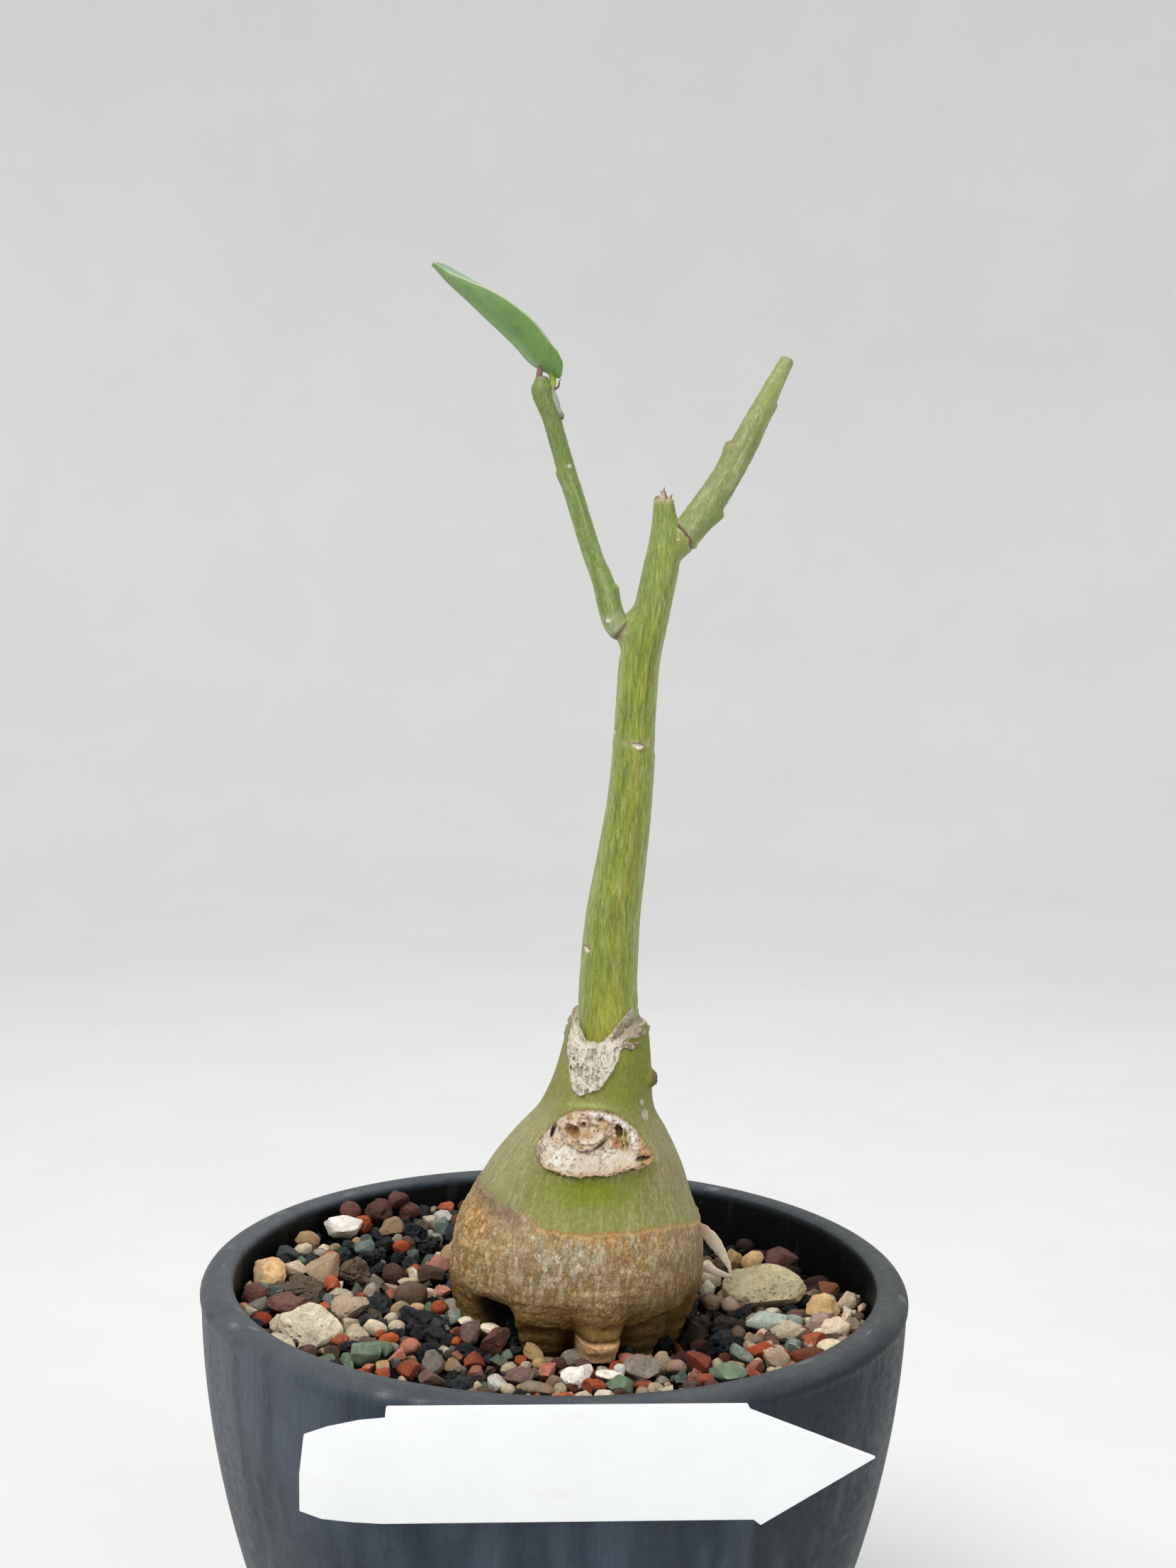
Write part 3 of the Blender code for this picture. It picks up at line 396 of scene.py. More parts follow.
def lay_plates(made, size, stretch, crack_tone):
    """Break up the part of a finish that the tint's alpha marks into small plates with dark cracks."""
    tree = made.node_tree
    shader = tree.nodes["Principled BSDF"]
    marked = next(n for n in tree.nodes if n.bl_idname == "ShaderNodeAttribute").outputs["Alpha"]
    place = next(n for n in tree.nodes if n.bl_idname == "ShaderNodeTexCoord").outputs["Object"]
    scaled = place_at(tree, place, size, stretch)
    wander = node_of(tree, "ShaderNodeTexNoise")
    wander.inputs["Scale"].default_value = PLATE_WANDER_SCALE
    tree.links.new(scaled, wander.inputs["Vector"])
    moved = node_of(tree, "ShaderNodeVectorMath", operation="MULTIPLY_ADD")
    tree.links.new(wander.outputs["Color"], moved.inputs[0])
    moved.inputs[1].default_value = (PLATE_WANDER, PLATE_WANDER, PLATE_WANDER)
    tree.links.new(scaled, moved.inputs[2])
    gaps = node_of(tree, "ShaderNodeTexVoronoi", feature="DISTANCE_TO_EDGE")
    plates = node_of(tree, "ShaderNodeTexVoronoi")
    for texture in (gaps, plates):
        texture.inputs["Scale"].default_value = 1.0
        tree.links.new(moved.outputs["Vector"], texture.inputs["Vector"])
    base = shader.inputs["Base Color"].links[0].from_socket
    own = node_of(tree, "ShaderNodeHueSaturation")
    tree.links.new(mapped(tree, plates.outputs["Color"], 0.2, 0.8, 0.9, 1.13), own.inputs["Value"])
    tree.links.new(base, own.inputs["Color"])
    cracked = node_of(tree, "ShaderNodeMix", data_type="RGBA")
    patchy = node_of(tree, "ShaderNodeMath", operation="MULTIPLY")
    tree.links.new(mapped(tree, gaps.outputs["Distance"], 0.0, CRACK_WIDTH, 0.5, 0.0), patchy.inputs[0])
    tree.links.new(mapped(tree, noise_at(tree, place, CRACK_PATCH), 0.42, 0.62, 0.1, 1.0), patchy.inputs[1])
    tree.links.new(patchy.outputs["Value"], cracked.inputs["Factor"])
    tree.links.new(own.outputs["Color"], cracked.inputs["A"])
    cracked.inputs["B"].default_value = (*crack_tone, 1.0)
    laid = node_of(tree, "ShaderNodeMix", data_type="RGBA")
    tree.links.new(marked, laid.inputs["Factor"])
    tree.links.new(base, laid.inputs["A"])
    tree.links.new(cracked.outputs["Result"], laid.inputs["B"])
    tree.links.new(laid.outputs["Result"], shader.inputs["Base Color"])
    height = node_of(tree, "ShaderNodeMath", operation="MULTIPLY")
    tree.links.new(mapped(tree, gaps.outputs["Distance"], 0.0, PLATE_EDGE, 0.0, 1.0), height.inputs[0])
    tree.links.new(marked, height.inputs[1])
    bump = node_of(tree, "ShaderNodeBump")
    bump.inputs["Distance"].default_value = PLATE_HEIGHT * MM
    tree.links.new(height.outputs["Value"], bump.inputs["Height"])
    tree.links.new(shader.inputs["Normal"].links[0].from_socket, bump.inputs["Normal"])
    tree.links.new(bump.outputs["Normal"], shader.inputs["Normal"])


# Camera, as the photograph was taken
CAMERA_PLACE = (3.31, -339.6, POT_HEIGHT + 119.4)
CAMERA_DOWN_DEGREES = 7.70
CAMERA_ROLL_DEGREES = 1.25
PHOTO_HEIGHT_PIXELS = 2212
FOCAL_PIXELS = 3323
SENSOR_MM = 36.0


def make_camera():
    down = math.radians(CAMERA_DOWN_DEGREES)
    right = Vector((1.0, 0.0, 0.0))
    forward = Vector((0.0, math.cos(down), -math.sin(down)))
    up = right.cross(forward)
    roll = Matrix.Rotation(math.radians(CAMERA_ROLL_DEGREES), 3, "Z")
    turn = Matrix((right, up, -forward)).transposed() @ roll
    camera = bpy.data.cameras.new("camera")
    camera.sensor_width = SENSOR_MM
    camera.lens = FOCAL_PIXELS / PHOTO_HEIGHT_PIXELS * SENSOR_MM
    camera.clip_start = 0.01
    held = bpy.data.objects.new("camera", camera)
    held.matrix_world = Matrix.Translation(Vector(CAMERA_PLACE) * MM) @ turn.to_4x4()
    bpy.context.scene.collection.objects.link(held)
    bpy.context.scene.camera = held


# Pot
RIM_RADIUS = 52.5
RIM_INNER_RADIUS = 47.6
RIM_DOME = 0.35
WALL_TOP_RADIUS = 52.3
WALL_CURVE = 0.00356
WALL_THICKNESS_AT_RIM = 4.9
WALL_THICKNESS_LOW = 3.2
WALL_THINS_OVER = 40.0
FLOOR_THICKNESS = 3.5
FOOT_INNER_RADIUS = 24.5
FOOT_OUTER_RADIUS = 28.5
CENTRE_PAD_RADIUS = 8.0
UNDERSIDE_RECESS = 1.5
DRAIN_COUNT = 6
DRAIN_RADIUS = 3.5
DRAIN_RING_RADIUS = 16.5
DRAIN_TWIST = 0.07
DRAIN_SIDES = 32
DRAIN_CUT_DEPTH = 20
WALL_ROWS = 26
INSIDE_DEPTHS = (4.0, 8.0, 30.0, 55.0, 76.5)
INSIDE_ROWS = 24
POT_SIDES = 192
SHARP_DEGREES = 40

POT_GREY = tone(54, 65, 77)
# Painted light: the wall is lighter towards the left, where the key light falls
POT_PAINTED_LIGHT = tone(78, 84, 93)
# Painted shade: the wall is darker towards the right and towards the bottom
POT_PAINTED_SHADE = tone(28, 36, 40)
# Painted shade: the inside of the pot, near black
POT_INSIDE_SHADE = tone(6, 9, 8)
POT_RIM_GREY = tone(78, 81, 83)
POT_SCUFF = tone(140, 143, 145)


def wall_radius(depth):
    return WALL_TOP_RADIUS - WALL_CURVE * depth * depth


def inside_radius(depth):
    thins = min(1.0, depth / WALL_THINS_OVER)
    return wall_radius(depth) - WALL_THICKNESS_AT_RIM + thins * (WALL_THICKNESS_AT_RIM - WALL_THICKNESS_LOW)


def pot_profile():
    underside = [
        (CENTRE_PAD_RADIUS, 0.0), (CENTRE_PAD_RADIUS + 1.0, UNDERSIDE_RECESS),
        (FOOT_INNER_RADIUS - 1.0, UNDERSIDE_RECESS), (FOOT_INNER_RADIUS, 0.0), (FOOT_OUTER_RADIUS, 0.0),
        (FOOT_OUTER_RADIUS + 1.9, 0.9),
    ]
    depths = np.linspace(77.0, 2.8, WALL_ROWS)
    wall = [(wall_radius(depth), POT_HEIGHT - depth) for depth in depths]
    rim = [
        (RIM_RADIUS, POT_HEIGHT - 2.3), (RIM_RADIUS, POT_HEIGHT - 1.5), (RIM_RADIUS - 0.6, POT_HEIGHT - 0.4),
        (RIM_RADIUS - 1.8, POT_HEIGHT + 0.2), (RIM_INNER_RADIUS + 1.6, POT_HEIGHT + RIM_DOME),
        (RIM_INNER_RADIUS + 0.3, POT_HEIGHT), (RIM_INNER_RADIUS, POT_HEIGHT - 0.7),
    ]
    inside = [(inside_radius(depth), POT_HEIGHT - depth) for depth in INSIDE_DEPTHS]
    return rounded_outline(underside + wall + rim + inside, closed=False)


def make_pot():
    profile = np.array(pot_profile())
    turns = 2 * np.pi * np.arange(POT_SIDES) / POT_SIDES
    radius = np.repeat(profile[:, 0], POT_SIDES)
    z = np.repeat(profile[:, 1], POT_SIDES)
    turn = np.tile(turns, len(profile))
    points = np.stack((radius * np.cos(turn), radius * np.sin(turn), z), axis=1)
    inner = np.repeat(np.arange(len(profile)), POT_SIDES) > len(profile) - INSIDE_ROWS
    streak = clouds(points * (1, 1, 0.04), 2.4, 3)
    ragged = 0.5 * clouds(points, 1.4, 30)
    top = smooth_step(POT_HEIGHT - 1.7, POT_HEIGHT - 0.3, z + ragged) * (radius > RIM_INNER_RADIUS + 0.2)
    scuff = smooth_step(0.42, 0.62, clouds(points * (1, 1, 0.5), 1.7, 21))
    tints = layered(
        POT_GREY,
        # painted light on the left of the wall
        (POT_PAINTED_LIGHT, smooth_step(-16, -46, points[:, 0])),
        # painted shade on the right of the wall and towards its bottom
        (POT_PAINTED_SHADE, smooth_step(6, 42, points[:, 0])),
        (POT_PAINTED_SHADE, 0.5 * smooth_step(POT_HEIGHT - 12, POT_HEIGHT - 40, z)),
        (tone(78, 88, 100), smooth_step(0.0, 0.5, streak) * 0.4 * (z < POT_HEIGHT - 3)),
        (tone(34, 41, 49), smooth_step(0.0, 0.6, -streak) * 0.5),
        (POT_RIM_GREY, top * (0.55 + 0.3 * clouds(points, 6.0, 8))),
        (POT_SCUFF, 0.45 * scuff * top),
        # painted shade over the inside of the pot below the rim
        (POT_INSIDE_SHADE, inner * smooth_step(POT_HEIGHT - 0.2, POT_HEIGHT - 1.2, z)),
    )
    points = np.vstack((points, ((0, 0, 0.0), (0, 0, FLOOR_THICKNESS))))
    tints = np.vstack((tints, POT_GREY, POT_INSIDE_SHADE))
    finish = patterned(
        "pot_finish", 0.5,
        shades=((0.5, 22, 0.10), (0.25, 1, 0.07), (7.0, 1, 0.06)),
        stains=((0.30, 1, 0.69, 0.77, tone(150, 154, 158), 0.6), (3.5, 8, 0.56, 0.75, tone(62, 62, 64), 0.4)),
        bumps=((0.35, 14, 0.035, "noise"), (0.5, 1, 0.04, "noise")), gloss=0.16,
    )
    faces = tube_faces(points, POT_SIDES)
    pot = make_piece("pot_body", points, faces, finish, "pot", tints, sharp=SHARP_DEGREES)
    cut_drains(pot)


def cut_drains(pot):
    cutters = bmesh.new()
    for i in range(DRAIN_COUNT):
        turn = 2 * math.pi * (i + 0.5) / DRAIN_COUNT + DRAIN_TWIST
        place = Vector((DRAIN_RING_RADIUS * math.cos(turn), DRAIN_RING_RADIUS * math.sin(turn), 0.0)) * MM
        placed = Matrix.Translation(place) @ Matrix.Rotation(turn + DRAIN_TWIST, 4, "Z")
        reach = DRAIN_RADIUS * MM
        bmesh.ops.create_cone(
            cutters, cap_ends=True, segments=DRAIN_SIDES, radius1=reach, radius2=reach,
            depth=DRAIN_CUT_DEPTH * MM, matrix=placed,
        )
    mesh = bpy.data.meshes.new("drain_cutters")
    cutters.to_mesh(mesh)
    cutters.free()
    tool = bpy.data.objects.new("drain_cutters", mesh)
    bpy.context.scene.collection.objects.link(tool)
    cut = pot.modifiers.new("drains", "BOOLEAN")
    cut.operation = "DIFFERENCE"
    cut.solver = "EXACT"
    cut.object = tool
    seen = pot.evaluated_get(bpy.context.evaluated_depsgraph_get())
    result = bpy.data.meshes.new_from_object(seen)
    pot.modifiers.clear()
    pot.data = result
    bpy.data.objects.remove(tool, do_unlink=True)


# Blank plant label
LABEL_GAP = 0.3
LABEL_THICKNESS = 0.8
LABEL_BODY_HALF_HEIGHT = 7.75
LABEL_BODY_LEFT = -20.4
LABEL_BODY_RIGHT = 25.8
LABEL_HEAD_LEFT = -31.4
LABEL_TIP = 41.9
LABEL_TILT_DEGREES = 1.9
LABEL_MIDDLE_BELOW_RIM = 7.0
LABEL_OUTLINE = (
    (LABEL_HEAD_LEFT + 0.4, 4.2), (LABEL_HEAD_LEFT - 0.3, -1.0), (LABEL_HEAD_LEFT - 0.4, -5.9),
    (-29.0, -7.0), (-25.0, -7.5),
    (LABEL_BODY_LEFT - 0.9, -LABEL_BODY_HALF_HEIGHT), (LABEL_BODY_RIGHT + 0.5, -LABEL_BODY_HALF_HEIGHT + 0.1),
    (LABEL_BODY_RIGHT + 1.4, -8.4), (LABEL_TIP, 0.5), (LABEL_BODY_RIGHT + 0.2, 7.0),
    (LABEL_BODY_RIGHT - 0.2, LABEL_BODY_HALF_HEIGHT), (LABEL_BODY_LEFT, LABEL_BODY_HALF_HEIGHT + 0.1),
    (LABEL_BODY_LEFT - 0.2, 6.3), (-24.0, 6.0), (-28.0, 5.2),
)
LABEL_EDGE_ROUNDING = 0.18


def make_label():
    tilt = math.radians(LABEL_TILT_DEGREES)
    back_y = -(RIM_RADIUS + LABEL_GAP)
    front = []
    for along, up in LABEL_OUTLINE:
        x = along * math.cos(tilt) - up * math.sin(tilt)
        z = POT_HEIGHT - LABEL_MIDDLE_BELOW_RIM + along * math.sin(tilt) + up * math.cos(tilt)
        front.append((x, z))
    count = len(front)
    points = [(x, back_y - LABEL_THICKNESS, z) for x, z in front] + [(x, back_y, z) for x, z in front]
    faces = [list(range(count)), list(range(2 * count - 1, count - 1, -1))]
    for i in range(count):
        j = (i + 1) % count
        faces.append([i, i + count, j + count, j])
    finish = patterned(
        "label_finish", 0.38, colour=tone(233, 235, 237),
        shades=((9.0, 1, 0.015), (0.5, 1, 0.01)),
        stains=((4.0, (2, 1, 1), 0.60, 0.8, tone(228, 224, 214), 0.5),),
        bumps=((2.5, 1, 0.02, "noise"),),
    )
    label = make_piece("label_plate", points, faces, finish, "plant_label", smooth=False)
    work = bmesh.new()
    work.from_mesh(label.data)
    bmesh.ops.recalc_face_normals(work, faces=work.faces)
    bmesh.ops.bevel(
        work, geom=work.edges[:], offset=LABEL_EDGE_ROUNDING * MM, segments=3, profile=0.6, affect="EDGES",
        clamp_overlap=True,
    )
    work.to_mesh(label.data)
    work.free()
    label.data.shade_smooth()
    label.data.set_sharp_from_angle(angle=math.radians(SHARP_DEGREES))


# Caudex form, as in the solid
CAUDEX_Y = -4.0
CAUDEX_MIDDLE = (
    (-32.0, 3.0), (-5.0, 2.9), (2.8, 3.1), (9.8, 3.4),
    (18.4, 4.3), (26.5, 5.6), (34.0, 6.7), (39.4, 7.0),
)
CAUDEX_WIDTH = (
    (-32.0, 0.6), (-22.0, 6.0), (-16.0, 10.5), (-11.0, 14.2), (-5.0, 16.7), (-2.0, 17.9), (2.8, 18.6),
    (6.8, 18.3), (9.8, 17.7), (13.5, 16.1), (18.4, 13.85), (23.0, 10.95), (26.5, 8.5), (30.0, 7.4),
    (34.0, 6.65), (38.0, 5.9), (39.4, 5.5),
)
CAUDEX_CORE = (
    (-32.0, 0.6), (-22.0, 4.8), (-14.0, 7.8), (-9.0, 10.2),
    (-6.0, 11.8), (-3.0, 13.8), (-0.5, 16.9), (2.5, 18.6),
)
CAUDEX_TOP = 39.4
ROOT_LEGS = (
    (-74, 23, 1.00), (-20, 16, 0.99), (12.5, 10.5, 1.04), (45, 18, 1.00), (88, 17, 1.00), (130, 14, 1.00),
    (165, 13, 1.02), (200, 13, 0.98), (242, 14, 1.00),
)
ARCH_ANGLE = -39.0
ARCH_HALF_WIDTH = 9.0
ARCH_TOP = (2.0, -0.5)
ARCH_BOTTOM = (-14.0, -9.0)
ARCH_DEPTH = 3.0
LEGS_JOIN_AT = 4.5
STUB_ANGLE = 12.5
STUB_HALF_WIDTH = 10.0
STUB_OUT = 1.6
STUB_TOP = (-0.4, -2.6)
STUB_BOTTOM = (-7.4, -6.6)
GRAFT_DIP = 2.9
GRAFT_DIP_START = 33.0
GRAFT_FRONT_ANGLE = -12.0
GRAFT_HALF_ANGLE = 38.0
GRAFT_BACK_SHARE = 0.8
NUB_ANGLE = 74.0
NUB_Z = 31.4
NUB_OUT = 1.0
NUB_HALF_ANGLE = 11.0
NUB_HALF_HEIGHT = 1.3

# Where the bark ends and the green skin begins: angle, height
BARK_LINE = (
    (-180, 13.5), (-130, 15.0), (-85, 15.5), (-58, 14.9), (-30, 14.1), (-12, 12.7), (14, 12.6), (44, 12.5),
    (86, 10.5), (130, 12.0), (180, 13.5),
)

# Outline of the old cut on the front, x and height
WOUND_OUTLINE = [
    (-3.2, 21.6), (-1.8, 20.3), (1.3, 19.7), (4.2, 19.8), (8.0, 19.9), (10.9, 20.5), (14.3, 20.5),
    (13.5, 22.4), (11.5, 25.3), (8.9, 27.4), (6.9, 28.3), (3.0, 28.2), (0.8, 27.4), (-0.7, 25.7),
    (-3.0, 23.3),
]

# Outline of the callus over the graft, x and height
CALLUS_OUTLINE = [
    (2.4, 40.9), (1.3, 38.8), (1.0, 36.1), (1.2, 34.2), (1.5, 31.8), (2.2, 29.7), (3.3, 29.6), (4.6, 30.3),
    (6.0, 30.7), (7.1, 32.2), (8.1, 33.9), (8.9, 35.1), (9.0, 36.5), (10.3, 36.1), (11.2, 36.5),
    (10.8, 37.2), (10.0, 37.7), (11.5, 37.8), (12.8, 37.7), (12.7, 38.5), (11.5, 39.3), (10.9, 40.6),
    (10.7, 42.5), (9.6, 41.3), (8.1, 39.8), (7.0, 38.1), (5.7, 36.9), (4.9, 37.5), (4.3, 37.0), (3.7, 37.4),
    (3.3, 38.0), (3.0, 38.8), (2.9, 39.8), (2.7, 40.9),
]


def caudex_radius(angle, z):
    full = curve(CAUDEX_WIDTH, z)
    core = np.minimum(full, curve(CAUDEX_CORE, z))
    radius = core
    for leg_angle, half_width, share in ROOT_LEGS:
        weight = rounded_bump(angle_apart(angle, leg_angle), half_width)
        radius = np.maximum(radius, core + (full * share - core) * weight)
    radius = np.where(z >= LEGS_JOIN_AT, full, radius)
    arch = rounded_bump(angle_apart(angle, ARCH_ANGLE), ARCH_HALF_WIDTH)
    radius = radius - ARCH_DEPTH * arch * smooth_step(*ARCH_TOP, z) * smooth_step(*ARCH_BOTTOM, z)
    stub = rounded_bump(angle_apart(angle, STUB_ANGLE), STUB_HALF_WIDTH)
    return radius + STUB_OUT * stub * smooth_step(*STUB_TOP, z) * smooth_step(*STUB_BOTTOM, z)


def caudex_front(x, z):
    """The y of the caudex's plain front skin at x and a height, or its middle plane past its sides."""
    reach = curve(CAUDEX_WIDTH, z) ** 2 - (x - curve(CAUDEX_MIDDLE, z)) ** 2
    return CAUDEX_Y - np.sqrt(np.maximum(reach, 0.0))


GREEN_SKIN = tone(131, 128, 70)
OLIVE_SKIN = tone(118, 121, 54)
BRIGHT_GREEN = tone(98, 112, 0)
PALE_STREAK = tone(170, 168, 128)
GREY_SKIN = tone(150, 146, 106)
BARK_TAN = tone(164, 140, 98)
BARK_KHAKI = tone(138, 112, 64)
BARK_LOW = tone(112, 84, 26)
BARK_PALE = tone(196, 180, 148)
BARK_BLUE_GREY = tone(172, 174, 156)
BARK_ORANGE = tone(180, 122, 52)
BARK_RUST = tone(122, 78, 34)
LINE_BROWN = tone(140, 92, 44)
FUZZ_GREY = tone(134, 114, 92)
STUB_PINK = tone(214, 170, 124)
ROOT_SHADE = tone(78, 56, 24)

# Height of the crease above the two root lobes that stand back: angle, height
LEFT_FOLD = ((-40, -2.4), (-30, -1.8), (-20, -1.0), (-8, -1.1), (0.5, -2.8))
RIGHT_FOLD = ((23, -3.4), (29, -2.1), (32, -1.0), (36.5, -0.5), (46, -0.2), (62, -0.7), (74, -0.2))
FOLD_DEPTH = 1.35
ARCH_EXTRA_DEPTH = 5.0
# Where the arch between the root lobes is sunk further and painted near black as shade
VISIBLE_ARCH_ANGLE = -45.0
VISIBLE_ARCH_HALF_WIDTH = 8.5
STUB_BLOCK_HALF_WIDTH = 11.5
STUB_BLOCK_TOP = -2.3
STUB_BLOCK_BOTTOM = -5.5
GRAIN_RADIUS = 17

# How far round from the front the front's own relief, tints and spots reach
FRONT_HALF_ANGLE = 85
FRONT_TINTS_HALF_ANGLE = 80
FRONT_SPOTS_HALF_ANGLE = 90


def bark_wrinkles(around, z):
    """How deep the thin wrinkles across the lower bark are, from 0 to 1."""
    ridged = 1.0 - 2.0 * np.abs(clouds(around * (0.5, 0.5, 1.6), 1.3, 47))
    return smooth_step(0.7, 1.0, ridged) * smooth_step(4.0, 1.0, z)


def nub_distance(angle, z):
    return np.hypot(angle_apart(angle, NUB_ANGLE) / NUB_HALF_ANGLE, (z - NUB_Z) / NUB_HALF_HEIGHT)


def root_lobes(turned, z):
    """The two root lobes that stand back: which points lie on them, and how far below their crease."""
    left = smooth_step(-32, -17, turned) * smooth_step(2.5, -2, turned)
    right = smooth_step(22, 27, turned) * smooth_step(78, 66, turned)
    below = np.where(turned < 12, curve(LEFT_FOLD, turned), curve(RIGHT_FOLD, turned)) - z
    return np.maximum(left, right), below


def fold_depth(turned, z):
    """How deep a root lobe lies: deepest under its crease, then swelling, then rounded off at the gravel."""
    on_lobe, below = root_lobes(turned, z)
    swelling = 0.3 * smooth_step(0.8, 3.2, below)
    sunk = smooth_step(-0.3, 0.7, below) - swelling + 0.25 * smooth_step(-4.8, -6.6, z)
    tapered = 0.5 * smooth_step(-26, -34, turned) * smooth_step(-40, -36, turned) * smooth_step(-1.0, -4.0, z)
    return FOLD_DEPTH * (on_lobe * sunk + tapered)


def fold_shade(turned, z):
    """How dark a root lobe is, from 0 to 1: darkest under the crease and at the gravel."""
    on_lobe, below = root_lobes(turned, z)
    under_crease = 0.42 * smooth_step(-0.2, 0.5, below) + 0.4 * hill(below, 0.5, 0.7)
    return on_lobe * (under_crease + 0.25 * smooth_step(-4.2, -6.0, z))


def stub_share(turned):
    return smooth_step(STUB_BLOCK_HALF_WIDTH + 1.4, STUB_BLOCK_HALF_WIDTH - 1.2, np.abs(turned - STUB_ANGLE))


def arch_share(angle, z):
    arch = rounded_bump(angle_apart(angle, VISIBLE_ARCH_ANGLE), VISIBLE_ARCH_HALF_WIDTH)
    return arch * smooth_step(*ARCH_TOP, z + 0.05 * angle_apart(angle, VISIBLE_ARCH_ANGLE))


# Pale spots on the green skin, x, height and size; one this large has a dark edge
SKIN_SPOTS = ((12.1, 28.5, 0.42), (12.6, 26.7, 0.85))
EDGED_SPOT = 0.5

# Plates of bark all round, in the upper and in the lower bark, and how much of one its groove takes
UPPER_PLATES = 130
LOWER_PLATES = 110
PLATE_GROOVE = 0.26


def bark_plates(turned, z, around):
    """Grooves between the bark's small plates, and a number for each plate, both over the surface."""
    warp_u = 0.5 * clouds(around, 1.5, 51)
    warp_v = 0.4 * clouds(around, 1.8, 53)
    upper = cells(turned / 360 * UPPER_PLATES + warp_u, z / 1.2 + warp_v, 61, UPPER_PLATES)
    lower = cells(turned / 360 * LOWER_PLATES + warp_u, z / 0.5 + 2 * warp_v, 67, LOWER_PLATES)
    low = smooth_step(5.0, 1.0, z + clouds(around, 3.0, 55))
    upper_groove = smooth_step(PLATE_GROOVE, 0.0, upper[1] - upper[0])
    lower_groove = smooth_step(PLATE_GROOVE, 0.0, lower[1] - lower[0])
    return (1 - low) * upper_groove + low * lower_groove, np.where(low > 0.5, lower[2], upper[2])


class SkinPoints:
    """Points of the caudex's skin, laid on a plain cylinder, with what their form and tints share."""

    def __init__(self, angle, z, x):
        a = np.radians(angle)
        around = np.stack((GRAIN_RADIUS * np.sin(a), GRAIN_RADIUS * np.cos(a), z), axis=1)
        turned = (angle + 180) % 360 - 180
        ragged = 0.35 * clouds(around * (1, 1, 0.5), 1.2, 17) + 0.3 * clouds(around, 4.0, 19)
        self.angle, self.turned, self.z, self.x, self.around = angle, turned, z, x, around
        self.front = np.abs(turned) < FRONT_TINTS_HALF_ANGLE
        self.over = z - curve(BARK_LINE, turned) + ragged
        self.streak = clouds(around * (1, 1, 0.22), 0.42, 5)
        self.broad = clouds(around * (1, 1, 0.35), 2.6, 9)
        self.fleck = clouds(around, 0.7, 13)
        self.groove, self.plate = bark_plates(turned, z, around)
        self.wrinkles = bark_wrinkles(around, z)
        self.stub = stub_share(turned)
        self.nub = nub_distance(angle, z)


def green_tints(p):
    x, z, turned, front = p.x, p.z, p.turned, p.front
    bright = hill(x, 4.8, 4.2) * hill(z, 17.9, 1.5) * front
    ridge = hill(z - 28.75 + 0.035 * (x - 4.5) ** 2, 0.0, 0.3) * hill(x, 4.6, 3.2) * front
    return layered(
        GREEN_SKIN,
        (OLIVE_SKIN, 0.45 + 0.6 * p.broad),
        (tone(114, 124, 32), 0.75 * smooth_step(26, 31, z) * hill(turned, 36, 42)),
        (tone(142, 138, 84), 0.5 * smooth_step(-10, -50, turned) * smooth_step(27, 33, z)),
        (GREY_SKIN, 0.85 * smooth_step(-26, -60, turned) * smooth_step(31, 24, z)),
        (tone(142, 134, 94), 0.85 * smooth_step(34, 62, turned) * smooth_step(31, 22, z)),
        (tone(148, 148, 88), 0.5 * smooth_step(17.5, 14.0, z)),
        (PALE_STREAK, 0.42 * smooth_step(0.05, 0.5, p.streak) * smooth_step(30, 20, z)),
        (tone(104, 102, 50), 0.3 * smooth_step(0.1, 0.5, -p.streak) * smooth_step(30, 20, z)),
        (tone(96, 88, 50), 0.45 * smooth_step(0.42, 0.6, p.fleck) * smooth_step(0, -50, turned)),
        (BRIGHT_GREEN, 1.6 * bright * (0.85 + 0.4 * p.broad)),
        (tone(120, 128, 32), 0.65 * hill(x, 4.6, 7.0) * hill(z, 17.0, 2.6) * front),
        (tone(154, 162, 96), 0.8 * ridge),
    )


